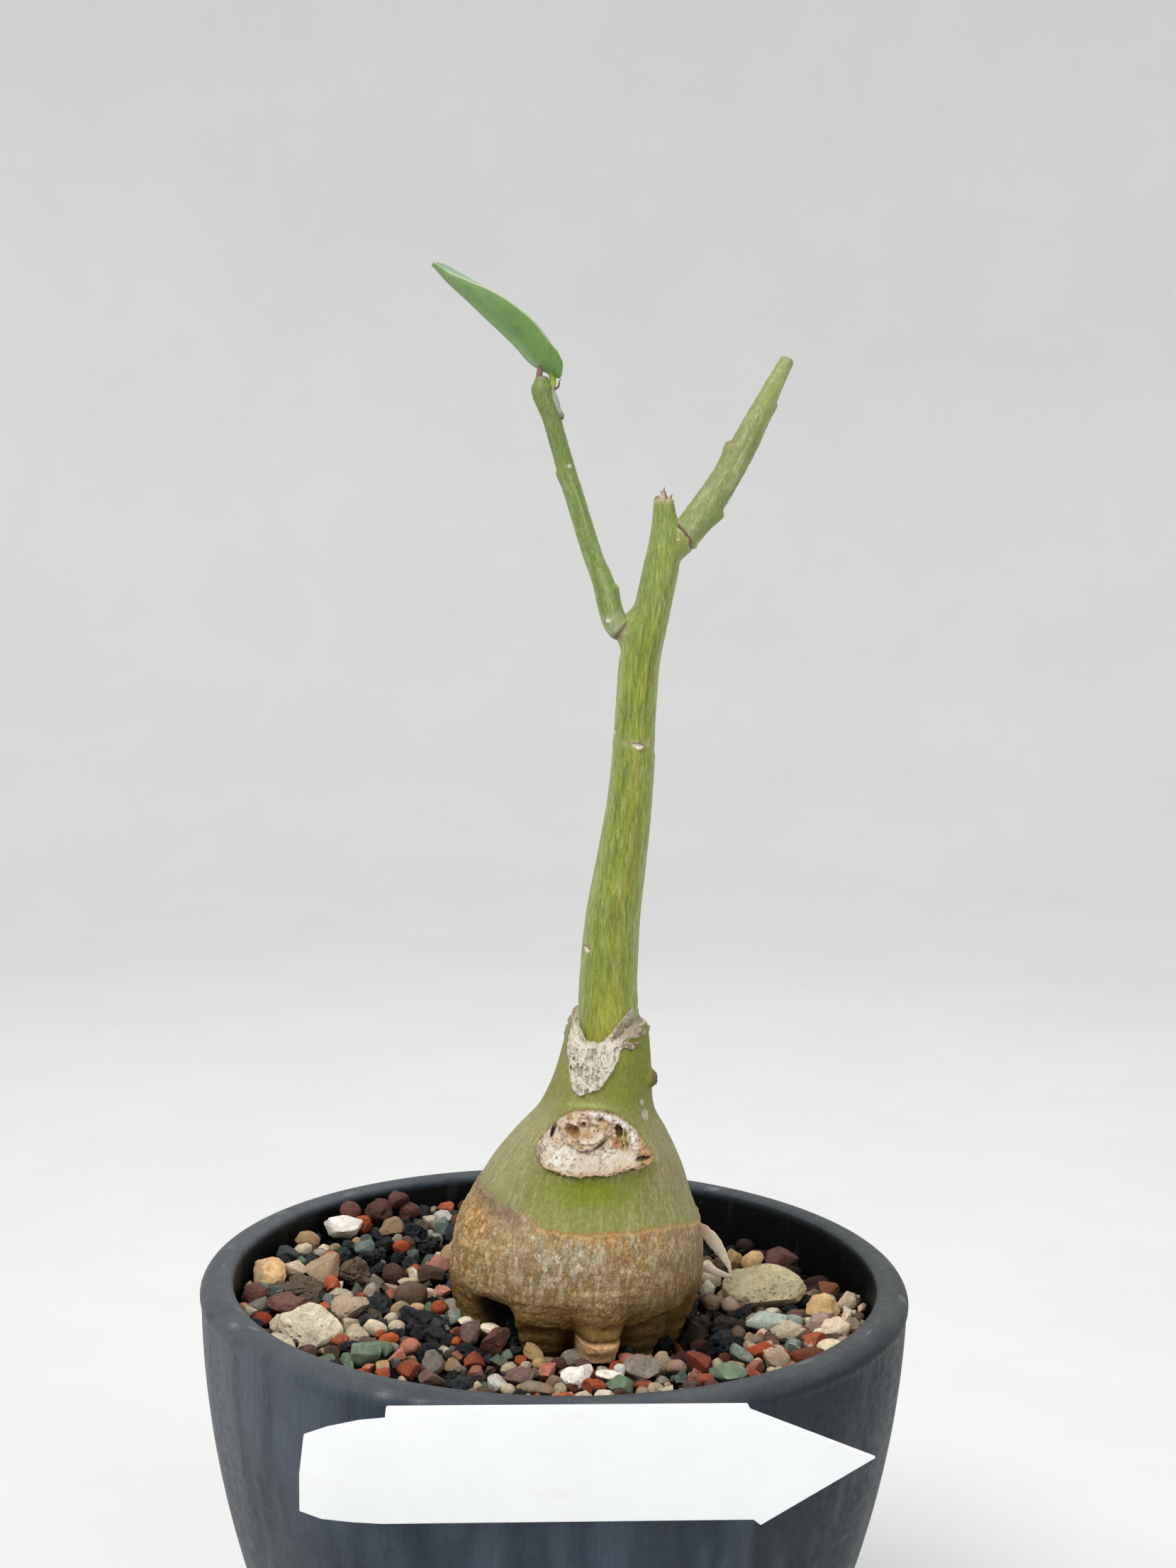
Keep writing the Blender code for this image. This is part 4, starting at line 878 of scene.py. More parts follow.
def bark_tints(p):
    x, z, turned, over, plate = p.x, p.z, p.turned, p.over, p.plate
    cool = hill(x, 1.4, 5.0) * smooth_step(3.5, 7.5, z) * smooth_step(-0.3, -1.4, over)
    flame = hill(x, 10.0, 4.6) * smooth_step(5.0, 9.0, z)
    flame = flame + 0.6 * hill(over, -1.1, 0.9) * smooth_step(-30, -10, turned)
    pale_flame = hill(x, 8.6, 5.6) * smooth_step(5.5, 9.0, z) * smooth_step(-0.5, -1.5, over)
    left = smooth_step(-34, -58, turned) * smooth_step(1.0, 5.0, z) * smooth_step(-150, -110, turned)
    flushed = left * (0.35 + 0.65 * smooth_step(5.0, 11.0, z) * smooth_step(-46, -66, turned))
    bark = layered(
        BARK_TAN,
        (BARK_KHAKI, smooth_step(9.5, 3.5, z) * 0.8),
        (BARK_LOW, smooth_step(4.5, -1.5, z) * 0.85),
        (BARK_PALE, 0.55 * smooth_step(-0.05, 0.4, p.streak) * smooth_step(0.0, 5.0, z)),
        (BARK_PALE, 0.32 * smooth_step(0.35, 0.8, plate) * smooth_step(2.0, 6.0, z)),
        (BARK_BLUE_GREY, 0.7 * cool * smooth_step(-0.1, 0.3, p.streak + 0.2 * plate)),
        (tone(206, 196, 172), 0.5 * cool * smooth_step(0.1, 0.6, plate)),
        (BARK_ORANGE, 0.55 * flame * smooth_step(0.1, -0.4, p.streak)),
        (tone(182, 172, 130), 0.75 * pale_flame * smooth_step(0.12, 0.4, p.streak)),
        (tone(196, 142, 62), 0.8 * flushed * smooth_step(-0.45, 0.35, p.broad + 0.4 * p.fleck)),
        (tone(214, 178, 122), 0.6 * left * smooth_step(-0.1, 0.5, plate)),
        (BARK_RUST, (0.30 + 0.35 * left) * p.groove * smooth_step(-4.0, 2.0, z)),
        (ROOT_SHADE, 0.35 * p.groove * smooth_step(3.0, -2.0, z)),
    )
    bark = bark * (1.0 + 0.10 * plate + 0.08 * p.fleck)[:, None]
    stub = p.stub * smooth_step(STUB_BLOCK_TOP + 0.3, STUB_BLOCK_TOP - 0.4, z)
    cut = smooth_step(STUB_BLOCK_BOTTOM + 0.3, STUB_BLOCK_BOTTOM - 0.2, z)
    flake = np.hypot((x - 6.6) / 0.75, (z - 3.1) / 0.32) + 0.5 * p.fleck
    return layered(
        bark,
        (tone(72, 52, 22), 0.5 * p.wrinkles),
        (STUB_PINK, 0.9 * stub),
        # painted shadow along the crease at the stub's top
        (tone(92, 66, 40), 0.7 * stub * hill(z, STUB_BLOCK_TOP, 0.22)),
        # painted shadow, near black, under the stub's cut end
        (tone(34, 24, 14), 0.9 * stub * cut),
        (tone(84, 58, 20), np.minimum(0.95, fold_shade(turned, z))),
        # painted shade: near black in the arch between the root lobes
        (tone(10, 7, 4), smooth_step(0.04, 0.3, arch_share(p.angle, z))),
        (tone(206, 168, 116), 0.9 * smooth_step(1.1, 0.8, flake) * p.front),
    )


def caudex_tints(p):
    """The green skin over the bark, with the line between them, the nub and the spots."""
    x, z, turned, over, fleck = p.x, p.z, p.turned, p.over, p.fleck
    tints = blend(green_tints(p), bark_tints(p), smooth_step(0.2, -0.2, over))
    fuzz = hill(over, -0.6, 1.25) * smooth_step(-20, -42, turned) * smooth_step(-112, -80, turned)
    line = hill(over, -0.05, 0.22) * smooth_step(-44, -20, turned) * (0.7 + 0.5 * fleck)
    under_line = hill(over, -0.42, 0.22) * smooth_step(-36, -14, turned)
    tints = layered(
        tints,
        (FUZZ_GREY, 0.85 * fuzz),
        (tone(84, 66, 44), 0.5 * fuzz * smooth_step(0.05, 0.5, fleck)),
        (LINE_BROWN, 0.95 * line),
        (tone(206, 170, 112), 0.75 * under_line),
        (tone(106, 86, 58), 0.9 * smooth_step(1.0, 0.7, p.nub)),
    )
    before = np.abs(turned) < FRONT_SPOTS_HALF_ANGLE
    for spot_x, spot_z, size in SKIN_SPOTS:
        spot = np.hypot((x - spot_x + 0.25 * (z - spot_z)) / (0.66 * size), (z - spot_z) / size) + 0.3 * fleck
        tints = blend(tints, tone(176, 172, 148), 0.9 * smooth_step(1.1, 0.85, spot) * before)
        if size > EDGED_SPOT:
            tints = blend(tints, tone(120, 112, 84), 0.7 * hill(spot, 0.95, 0.12) * before)
    return tints


def caudex_relief(p, bark):
    """How far the skin stands out from the plain form; bark is the share of bark at each point."""
    around, turned, z, over = p.around, p.turned, p.z, p.over
    lumps = clouds(around, 5.5, 37)
    roughness = 0.6 + 0.5 * smooth_step(-25, -60, turned) * smooth_step(-150, -110, turned)
    plated = roughness * (0.07 * p.plate - 0.11 * p.groove)
    relief = bark * (0.08 + plated + 0.10 * p.streak + 0.16 * lumps)
    relief += bark * 0.06 * clouds(around, 0.5, 31)
    relief += (1 - bark) * (0.03 * p.streak + 0.09 * lumps + 0.02 * clouds(around, 0.6, 33))
    relief += 0.16 * hill(over, -0.3, 0.3) * smooth_step(-44, -20, turned)
    relief += 0.12 * hill(over, -0.6, 1.0) * smooth_step(-20, -42, turned) * clouds(around, 0.6, 35)
    folds = np.sin(3.0 * z + 2.5 * lumps + 1.2 * clouds(around, 2.0, 43))
    relief += 0.12 * folds * smooth_step(1.5, -1.5, z)
    relief += 0.45 * rounded_bump(turned - 12.0, 15.0) * hill(z, -0.5, 2.0)
    cut = smooth_step(STUB_BLOCK_BOTTOM + 0.15, STUB_BLOCK_BOTTOM - 0.35, z)
    stands_out = 0.55 * smooth_step(STUB_BLOCK_TOP, STUB_BLOCK_TOP - 0.5, z)
    stands_out = stands_out - 0.3 * hill(z, STUB_BLOCK_TOP, 0.3)
    relief += p.stub * (stands_out - 2.6 * cut)
    relief -= fold_depth(turned, z) + ARCH_EXTRA_DEPTH * arch_share(p.angle, z)
    relief -= 0.09 * p.wrinkles
    relief += 0.5 * smooth_step(1.0, 0.2, p.nub) * clouds(around, 0.9, 41)

    # The swelling round the old cut
    out = edge_distance(p.x, z, rounded_outline(WOUND_OUTLINE))
    swelling = 0.35 * smooth_step(-1.6, -0.1, out) - 1.4 * smooth_step(0.15, 0.9, out)
    return relief + (np.abs(turned) < FRONT_HALF_ANGLE) * swelling


CAUDEX_COLUMNS = 388
COLUMNS_DRAWN_FORWARD = 26.0
CAUDEX_ROW_STEP = 0.2
FINE_ROWS_FROM = -8.0
COARSE_ROWS = np.linspace(-31.5, -8.6, 14)

# The lip that turns over into the graft: share of the rim's size, drop
LIP_RINGS = ((0.97, -0.16), (0.92, -0.2), (0.86, -0.05), (0.80, 0.5), (0.74, 1.6))
LIP_PALE = tone(188, 180, 160)
LIP_ROUGH = tone(150, 138, 110)
CAUDEX_ENDS = ((3.0, CAUDEX_Y, POT_HEIGHT - 33.0), (7.0, CAUDEX_Y, POT_HEIGHT + 35.0))


def turned_lip(last):
    """Rings that turn the last ring over into the graft as a rounded lip, and their tints."""
    centre = np.array((curve(CAUDEX_MIDDLE, CAUDEX_TOP), CAUDEX_Y))
    rings, colours = [], []
    for share_in, drop in LIP_RINGS:
        ring = last.copy()
        ring[:, :2] = centre + (last[:, :2] - centre) * share_in
        ring[:, 2] = last[:, 2] - drop
        rings.append(ring)
        rough = smooth_step(0.0, 0.5, clouds(ring, 0.7, 44))
        colours.append(blend(LIP_PALE, LIP_ROUGH, 0.8 * rough))
    return rings, colours


def make_caudex():
    # Columns lie closer together on the front, which carries the finest detail
    share = np.arange(CAUDEX_COLUMNS) / CAUDEX_COLUMNS
    angles = 360.0 * share - COLUMNS_DRAWN_FORWARD * np.sin(2 * np.pi * share)
    fine_rows = np.arange(FINE_ROWS_FROM, CAUDEX_TOP - 0.25, CAUDEX_ROW_STEP)
    rows = np.concatenate((COARSE_ROWS, fine_rows, [CAUDEX_TOP - 0.15]))
    z = np.repeat(rows, CAUDEX_COLUMNS)
    angle = np.tile(angles, len(rows))
    a = np.radians(angle)
    middle = curve(CAUDEX_MIDDLE, z)
    radius = caudex_radius(angle, z) + NUB_OUT * rounded_bump(nub_distance(angle, z), 1.0)
    skin = SkinPoints(angle, z, middle + radius * np.sin(a))
    bark = smooth_step(0.1, -0.35, skin.over)
    radius = radius + caudex_relief(skin, bark)
    dip = rounded_bump(angle_apart(angle, GRAFT_FRONT_ANGLE), GRAFT_HALF_ANGLE)
    dip = dip + GRAFT_BACK_SHARE * rounded_bump(angle_apart(angle, 180.0), GRAFT_HALF_ANGLE)
    fallen = z - GRAFT_DIP * dip * smooth_step(GRAFT_DIP_START, CAUDEX_TOP, z)
    x_out, y_out = radius * np.sin(a), radius * np.cos(a)
    points = np.stack((middle + x_out, CAUDEX_Y - y_out, POT_HEIGHT + fallen), axis=1)
    rings, colours = turned_lip(points[-CAUDEX_COLUMNS:])
    points = np.vstack([points] + rings + [CAUDEX_ENDS])
    tints = np.vstack([caudex_tints(skin)] + colours + [BARK_LOW, BARK_LOW])
    plated = np.zeros(len(tints))
    plated[:len(bark)] = bark
    tints = np.column_stack((tints, plated))
    finish = patterned(
        "caudex_finish", 0.66,
        shades=((0.22, 2.6, 0.13), (0.5, 1.6, 0.12), (0.14, 1, 0.10)),
        bumps=((0.26, 2.0, 0.09, "noise"), (0.34, (1.5, 1.5, 1), 0.06, "noise")), gloss=0.35, swing=0.1,
    )
    lay_plates(finish, 0.62, 1.5, tone(92, 62, 26))
    faces = tube_faces(points, CAUDEX_COLUMNS)
    make_piece("caudex_skin", points, faces, finish, "caudex", tints)


# Old cut on the front of the caudex
CUT_STEP = 0.075

# The stretch of the front that it lies in: left, right, low, high
CUT_REACH = (-5.0, 16.0, 18.2, 30.0)

# Outline of the dead wood in its middle, x and height
PLUG_OUTLINE = [
    (0.5, 24.9), (0.7, 26.1), (1.7, 27.0), (3.2, 27.1), (5.2, 27.0), (7.2, 26.6), (8.0, 25.6), (7.6, 24.6),
    (6.5, 23.6), (5.2, 23.0), (3.4, 22.7), (1.8, 23.2),
]
CUT_WHITE = tone(194, 180, 160)
CUT_SNOW = tone(222, 214, 203)
CUT_TAN = tone(188, 162, 126)
CUT_AMBER = tone(150, 112, 62)
CUT_BROWN = tone(132, 96, 66)
# Painted shade, near black, in the gap and the slit of the old cut
CUT_GAP_SHADE = tone(42, 30, 22)


class CutPoints:
    """Points of the old cut, with the shapes that its form and its tints share."""

    def __init__(self, x, z):
        flat = np.stack((x, np.zeros_like(x), z), axis=1)
        out = edge_distance(x, z, rounded_outline(WOUND_OUTLINE))
        self.x, self.z, self.flat = x, z, flat
        self.out = out + 0.22 * clouds(flat, 0.9, 3) + 0.10 * clouds(flat, 0.3, 4)
        self.wx, self.wz = x + 0.3 * clouds(flat, 1.3, 5), z + 0.3 * clouds(flat, 1.3, 6)
        wx, wz = self.wx, self.wz
        fine, lumpy = clouds(flat, 0.42, 8), clouds(flat, 1.0, 7)
        self.fine, self.lumpy = fine, lumpy
        self.crust = 1.0 - 2.0 * np.abs(clouds(flat, 0.75, 9))
        self.inside = smooth_step(0.0, 0.6, self.out)
        self.lower = smooth_step(23.4, 21.4, z)
        arc = np.hypot(x - 4.2, (z - 21.6) * 1.22)
        self.band = hill(arc, 7.55, 0.5) * smooth_step(0.15, 0.5, self.out) * (z > 22.5) * (x > 4.5)

        # The dead wood in the middle, folded over itself
        self.plug = edge_distance(wx, wz, rounded_outline(PLUG_OUTLINE))
        self.on_plug = smooth_step(-0.05, 0.35, self.plug)
        self.scoop = np.hypot((wx - 2.2) / 1.25, (wz - 25.4) / 0.95)
        self.roll = np.hypot((wx - 4.2) / 2.5, (wz - 25.6) / 1.55)
        self.eye = np.hypot((wx - 3.8) / 0.8, (wz - 26.65) / 0.42)

        # Gaps, creases and torn strands round it
        self.gap = np.hypot((x + 0.58 - 0.32 * (z - 25.1)) / 0.3, (z - 25.1) / 1.0) + 0.2 * fine
        self.hollow = np.hypot((wx - 8.75 - 0.1 * (z - 25.3)) / 0.6, (wz - 25.4) / 1.0) + 0.25 * fine
        self.crease = np.hypot((x - 6.3 - 1.15 * (z - 23.9)) / 0.42, (z - 23.9) / 0.75)
        self.slit = np.hypot((x - 12.3) / 1.25, (z - 21.75 + 0.12 * lumpy) / 0.26) + 0.25 * fine
        self.lump = np.hypot((wx - 8.7) / 1.05, (wz - 23.9) / 0.85) + 0.35 * fine
        strands = smooth_step(0.8, 1.2, x - 8.2) * smooth_step(2.6, 2.0, x - 8.2)
        self.strands = strands * smooth_step(22.3, 23.2, z) * smooth_step(26.2, 25.2, z)
        self.strand = np.sin(10.0 * (x + 0.12 * (z - 24)) + 2.6 * lumpy + 1.2 * fine)


def cut_relief(c):
    """How far the old cut stands out from the caudex's plain front."""
    relief = -1.0 + 1.75 * smooth_step(-0.3, 0.3, c.out)
    relief += 0.45 * c.lower * hill(c.out, 0.7, 0.8) + 0.15 * hill(c.out, 0.35, 0.3)
    relief -= 0.55 * smooth_step(0.9, 2.3, c.out)
    relief += c.inside * (0.34 * c.lumpy + 0.24 * c.fine + 0.22 * c.crust)
    curls = cells(c.wx / 0.8, c.wz / 0.7, 71)
    relief += c.inside * 0.16 * hill(curls[0], 0.36, 0.1) * smooth_step(0.2, -0.2, clouds(c.flat, 2.0, 72))
    relief += c.on_plug * (0.62 + 0.35 * smooth_step(0.2, 1.6, c.plug))
    seam = hill(c.plug, -0.12, 0.16) * smooth_step(24.6, 23.6, c.z + 0.25 * (c.x - 5))
    relief -= 0.5 * seam * c.inside
    relief -= 0.95 * smooth_step(1.15, 0.25, c.scoop)
    relief += c.on_plug * (0.3 * hill(c.roll, 0.9, 0.22) - 0.22 * hill(c.roll, 0.62, 0.16))
    relief += 0.22 * hill(c.eye, 1.0, 0.28) - 0.25 * smooth_step(0.7, 0.2, c.eye)
    relief -= 1.2 * smooth_step(1.15, 0.5, c.gap) + 1.0 * smooth_step(1.15, 0.4, c.hollow)
    relief -= 0.7 * smooth_step(1.2, 0.5, c.slit) + 0.55 * smooth_step(1.2, 0.4, c.crease)
    relief += c.strands * (0.16 * c.strand - 0.35)
    relief += 0.45 * smooth_step(1.1, 0.5, c.lump) * (0.8 + 0.7 * c.fine)
    return relief + 0.3 * c.band


def cut_tints(c):
    x, z, flat, fine, lumpy, inside = c.x, c.z, c.flat, c.fine, c.lumpy, c.inside
    shade = smooth_step(0.1, -0.5, c.crust + 0.8 * fine)
    snow = 1.3 * hill(x, 0.4, 2.6) * hill(z, 22.2, 1.6) + hill(x, 9.6, 1.9) * hill(z, 21.4, 1.0)
    snow = snow + hill(x, 6.4, 1.6) * hill(z, 22.5, 0.9)
    orange = np.hypot((c.wx - 6.4) / 1.3, (c.wz - 26.3) / 0.85)
    stain = np.hypot((c.wx - 1.7) / 0.45, (c.wz - 27.3) / 0.9)
    tangled = smooth_step(-0.9, -1.9, x)
    right = smooth_step(10.8, 12.0, x)
    specks = smooth_step(0.3, 0.62, clouds(flat, 0.5, 14)) * smooth_step(0.25, -0.15, fine)
    return layered(
        CUT_WHITE,
        (tone(204, 186, 164), 0.8 * smooth_step(-0.1, 0.5, lumpy)),
        (CUT_TAN, 0.6 * smooth_step(0.2, 0.6, clouds(flat, 1.4, 12))),
        (CUT_SNOW, 0.95 * snow * smooth_step(0.45, -0.15, lumpy)),
        (tone(200, 178, 152), 0.85 * c.on_plug),
        (tone(172, 138, 92), 0.8 * c.on_plug * smooth_step(0.0, 0.5, clouds(flat, 1.5, 13))),
        (tone(224, 212, 196), 0.8 * c.on_plug * hill(c.roll, 0.9, 0.16)),
        (CUT_AMBER, 0.95 * smooth_step(1.15, 0.55, c.scoop)),
        # painted shade deep in the scoop
        (tone(88, 60, 30), 0.8 * smooth_step(0.6, 0.15, c.scoop + 0.3 * fine)),
        (tone(184, 146, 94), 0.7 * smooth_step(1.1, 0.5, orange)),
        (tone(166, 128, 84), 0.85 * smooth_step(1.1, 0.6, stain)),
        (CUT_BROWN, 0.75 * hill(c.eye, 1.0, 0.2) + 0.5 * smooth_step(0.5, 0.2, c.eye)),
        (tone(232, 228, 222), 0.85 * c.band),
        (tone(146, 114, 84), 0.75 * inside * shade * (1.0 - 0.7 * np.clip(snow, 0, 1))),
        (tone(108, 78, 56), 0.75 * inside * specks),
        (tone(176, 144, 114), 0.75 * smooth_step(1.0, 0.35, c.out) * c.lower),
        (CUT_BROWN, 0.9 * smooth_step(0.34, 0.06, c.out)),
        (tone(134, 116, 90), 0.65 * tangled * smooth_step(0.3, -0.3, c.crust)),
        (tone(60, 46, 34), 0.6 * tangled * smooth_step(0.1, 0.5, fine)),
        (tone(178, 146, 104), 0.75 * right),
        (tone(186, 142, 92), 0.6 * smooth_step(11.6, 13.2, x + 1.4 * lumpy)),
        (tone(98, 70, 44), 0.7 * right * smooth_step(0.1, 0.5, fine)),
        (tone(182, 130, 84), 0.85 * smooth_step(1.15, 0.75, c.lump)),
        (tone(120, 66, 36), 0.7 * smooth_step(1.15, 0.75, c.lump) * smooth_step(0.0, 0.4, fine)),
        (tone(182, 172, 112), 0.8 * c.strands * smooth_step(-0.3, 0.5, c.strand + fine)),
        (tone(126, 112, 56), 0.7 * c.strands * smooth_step(0.2, -0.6, c.strand + fine)),
        # painted shade in the gap, the slit and the crease
        (CUT_GAP_SHADE, 0.95 * smooth_step(1.15, 0.75, c.gap)),
        (tone(92, 82, 20), 0.95 * smooth_step(1.15, 0.8, c.hollow)),
        (CUT_GAP_SHADE, 0.85 * smooth_step(1.15, 0.7, c.slit)),
        (tone(84, 58, 36), 0.9 * smooth_step(1.1, 0.6, c.crease)),
    )


def make_old_cut():
    x, z, rows, columns = front_grid(*CUT_REACH, CUT_STEP)
    places = CutPoints(x, z)
    points = np.stack((x, caudex_front(x, z) - cut_relief(places), POT_HEIGHT + z), axis=1)
    faces = grid_faces(rows, columns, closed=False, keep=places.out > -0.35)
    points, tints, faces = without_loose(points, cut_tints(places), faces)
    finish = patterned(
        "old_cut_finish", 0.85, shades=((0.18, 1, 0.10), (0.08, 1, 0.06)),
        bumps=((0.14, 1, 0.05, "noise"),), gloss=0.2,
    )
    make_piece("old_cut", points, faces, finish, tints=tints)


# Stem form, as in the solid
STEM_Y = -4.0
STEM_OUTLINE = (
    (33.6, 4.2, 6.6), (35.4, 3.4, 8.2), (37.6, 2.7, 10.4), (39.6, 2.6, 11.3), (45.6, 2.7, 11.1),
    (54.0, 3.3, 11.3), (64.0, 4.9, 12.1), (72.7, 6.2, 12.6), (80.0, 6.75, 12.7), (86.0, 7.05, 12.85),
    (91.0, 7.3, 13.1), (95.0, 8.1, 13.7), (99.0, 9.2, 14.5), (102.6, 9.95, 15.15), (105.4, 10.5, 15.6),
    (108.5, 11.15, 15.7), (111.8, 11.6, 15.1), (114.8, 11.8, 14.5),
)
WEDGE_TOP = 39.6
WEDGE_HALF_DEPTH = 4.35
WEDGE_NARROWING = 0.12
STEM_RING_HEIGHT = 80.3
STEM_RING_RELIEF = 0.06
STEM_RING_HALF_HEIGHT = 0.8
STEM_SHELF_HEIGHT = 78.7
STEM_SHELF_OUT = 0.17
STEM_SHELF_FADES_OVER = 3.0

# Scars of fallen leaves on the stem: x, height, half width, half height
STEM_SCARS = ((10.3, 80.05, 0.8, 0.42), (3.72, 50.3, 0.34, 0.46), (6.9, 81.9, 0.3, 0.44))

# Where the stem widens under each branch: height, reach, half height, side
LEFT_SHOULDER = (96.6, 1.25, 2.6, -1)
RIGHT_SHOULDER = (109.3, 1.8, 2.5, 1)
STEM_GRAIN_RADIUS = 4.4
STEM_COLUMNS = 104
STEM_ROWS = 360

STEM_GREEN = tone(117, 131, 48)
STEM_YELLOW = tone(136, 141, 44)
STEM_OLIVE = tone(86, 100, 36)
STEM_GREY = tone(150, 158, 100)
STEM_BROWN = tone(126, 110, 50)

# Rings of the stem's cut top: share of its size, rise, tone
CUT_TOP_RINGS = (
    (0.94, 0.12, tone(168, 148, 118)),
    (0.82, 0.12, tone(186, 172, 146)),
    (0.62, -0.25, tone(142, 124, 98)),
    (0.36, -0.1, tone(176, 162, 136)),
    (0.12, 0.2, tone(132, 116, 92)),
)


def stem_sizes(z):
    left = curve([(row[0], row[1]) for row in STEM_OUTLINE], z)
    right = curve([(row[0], row[2]) for row in STEM_OUTLINE], z)
    half = (right - left) / 2
    deep = np.where(z > WEDGE_TOP, half, WEDGE_HALF_DEPTH - WEDGE_NARROWING * (WEDGE_TOP - z))
    return (left + right) / 2, half, deep


def stem_front(x, z):
    middle, half, deep = stem_sizes(z)
    return STEM_Y - deep * np.sqrt(np.maximum(1.0 - ((x - middle) / half) ** 2, 0.0))


def make_stem():
    low, high = STEM_OUTLINE[0][0], STEM_OUTLINE[-1][0]
    rows = np.linspace(low, high, STEM_ROWS)
    z = np.repeat(rows, STEM_COLUMNS)
    turn = np.tile(2 * np.pi * np.arange(STEM_COLUMNS) / STEM_COLUMNS, STEM_ROWS)
    middle, half, deep = stem_sizes(z)
    side, depth = np.cos(turn), np.sin(turn)
    around = np.stack((STEM_GRAIN_RADIUS * side, STEM_GRAIN_RADIUS * depth, z), axis=1)
    streak = clouds(around * (1, 1, 0.10), 0.42, 2)
    broad = clouds(around * (1, 1, 0.12), 1.5, 4)
    fleck = clouds(around * (1, 1, 0.5), 0.4, 6)
    ring = STEM_RING_RELIEF * rounded_bump(z - STEM_RING_HEIGHT, STEM_RING_HALF_HEIGHT)
    relief = ring + 0.05 * streak + 0.07 * broad + 0.03 * fleck
    relief += 0.06 * np.sin(5.0 * turn + 0.6 * broad) * smooth_step(80, 96, z)
    below = np.maximum(0.0, STEM_SHELF_HEIGHT - z)
    shelf = smooth_step(0.4, -0.4, z - STEM_SHELF_HEIGHT) * hill(below, 0.0, STEM_SHELF_FADES_OVER)
    relief += STEM_SHELF_OUT * shelf * np.maximum(0.0, side)
    scar = np.full(len(z), 9.0)
    upper_half = np.zeros(len(z))
    for scar_x, scar_z, half_width, half_height in STEM_SCARS:
        across, up = (side * half + middle - scar_x) / half_width, (z - scar_z) / half_height
        nearer = np.hypot(across, up + 0.35 * across) + 9.0 * (depth > 0)
        upper_half = np.where(nearer < scar, up + 0.5 * across > 0.35, upper_half)
        scar = np.minimum(scar, nearer)
    relief += 0.13 * hill(scar, 1.0, 0.3) - 0.16 * smooth_step(0.9, 0.4, scar)
    x_out = half + relief
    for height, reach, half_height, way in (LEFT_SHOULDER, RIGHT_SHOULDER):
        x_out = x_out + reach * rounded_bump(z - height, half_height) * np.maximum(0.0, side * way) ** 2
    points = np.stack((middle + x_out * side, STEM_Y + (deep + relief) * depth, POT_HEIGHT + z), axis=1)

    tints = layered(
        STEM_GREEN,
        (STEM_YELLOW, 0.6 * hill(side, 0.25, 0.5) + 0.25 * broad),
        (STEM_OLIVE, 0.85 * smooth_step(0.0, 0.4, -streak) * smooth_step(0.0, 0.5, 0.3 + broad)),
        (STEM_BROWN,
         0.5 * hill(side, 0.35, 0.3) * smooth_step(-0.1, 0.4, streak) * smooth_step(104, 90, z)),
        (STEM_GREY, 0.75 * smooth_step(0.55, 0.98, np.abs(side))),
        (STEM_GREY, 0.4 * smooth_step(0.1, 0.5, streak)),
        (tone(150, 148, 48), 0.6 * smooth_step(50.0, 40.0, z) * smooth_step(0.9, 0.4, np.abs(side))),
        (tone(120, 138, 72), 0.5 * smooth_step(88, 104, z)),
        (tone(160, 158, 122),
         0.5 * rounded_bump(z - STEM_RING_HEIGHT, 0.5) * smooth_step(-0.3, 0.3, fleck)),
        (tone(150, 132, 100), 0.6 * hill(scar, 1.35, 0.3)),
        (tone(212, 204, 186), 0.95 * smooth_step(1.1, 0.8, scar)),
        (tone(74, 56, 40), 0.9 * smooth_step(1.35, 1.1, scar) * smooth_step(0.55, 0.8, scar) * upper_half),
        (tone(168, 156, 120), 0.75 * smooth_step(114.1, 114.7, z + 0.3 * fleck)),
    )

    # The cut top: a pale ring of bark round sunken, fibrous wood
    last = points[-STEM_COLUMNS:]
    tip = np.array((curve([(r[0], (r[1] + r[2]) / 2) for r in STEM_OUTLINE], high), STEM_Y))
    rings, colours = [points], [tints]
    for share, rise, colour in CUT_TOP_RINGS:
        ring = last.copy()
        ring[:, :2] = tip + (last[:, :2] - tip) * share
        ring[:, 2] += rise + 0.22 * clouds(last, 0.9, 12)
        rings.append(ring)
        colours.append(np.tile(colour, (STEM_COLUMNS, 1)))
    start, end = (5.4, STEM_Y, POT_HEIGHT + low - 0.2), (tip[0], STEM_Y, POT_HEIGHT + high + 0.4)
    points = np.vstack(rings + [(start, end)])
    tints = np.vstack(colours + [STEM_GREEN, tone(150, 138, 108)])
    finish = patterned(
        "stem_finish", 0.5,
        shades=((0.30, 7.0, 0.24), (0.9, 6.0, 0.12), (0.16, 1.5, 0.13)),
        stains=(
            (0.35, 9.0, 0.54, 0.70, tone(166, 170, 110), 0.5),
            (0.30, 5.0, 0.60, 0.74, tone(82, 88, 34), 0.45),
        ),
        bumps=((0.25, 6.0, 0.06, "noise"), (0.2, 1, 0.02, "noise")), gloss=0.4,
    )
    make_piece("stem_skin", points, tube_faces(points, STEM_COLUMNS), finish, "stem", tints)


# Callus over the graft
CALLUS_STEP = 0.085

# The stretch of the front that it lies in: left, right, low, high
CALLUS_REACH = (0.2, 13.8, 28.6, 43.6)


def stock_front(x, z):
    """The y of the stock's dipped rim as seen from the front, and the height of its lip."""
    across = np.clip((x - curve(CAUDEX_MIDDLE, CAUDEX_TOP)) / curve(CAUDEX_WIDTH, CAUDEX_TOP), -1.0, 1.0)
    dip = GRAFT_DIP * rounded_bump(np.degrees(np.arcsin(across)) - GRAFT_FRONT_ANGLE, GRAFT_HALF_ANGLE)
    before = z
    for _ in range(8):
        before = z + dip * smooth_step(GRAFT_DIP_START, CAUDEX_TOP, before)
    return caudex_front(x, before), CAUDEX_TOP - dip


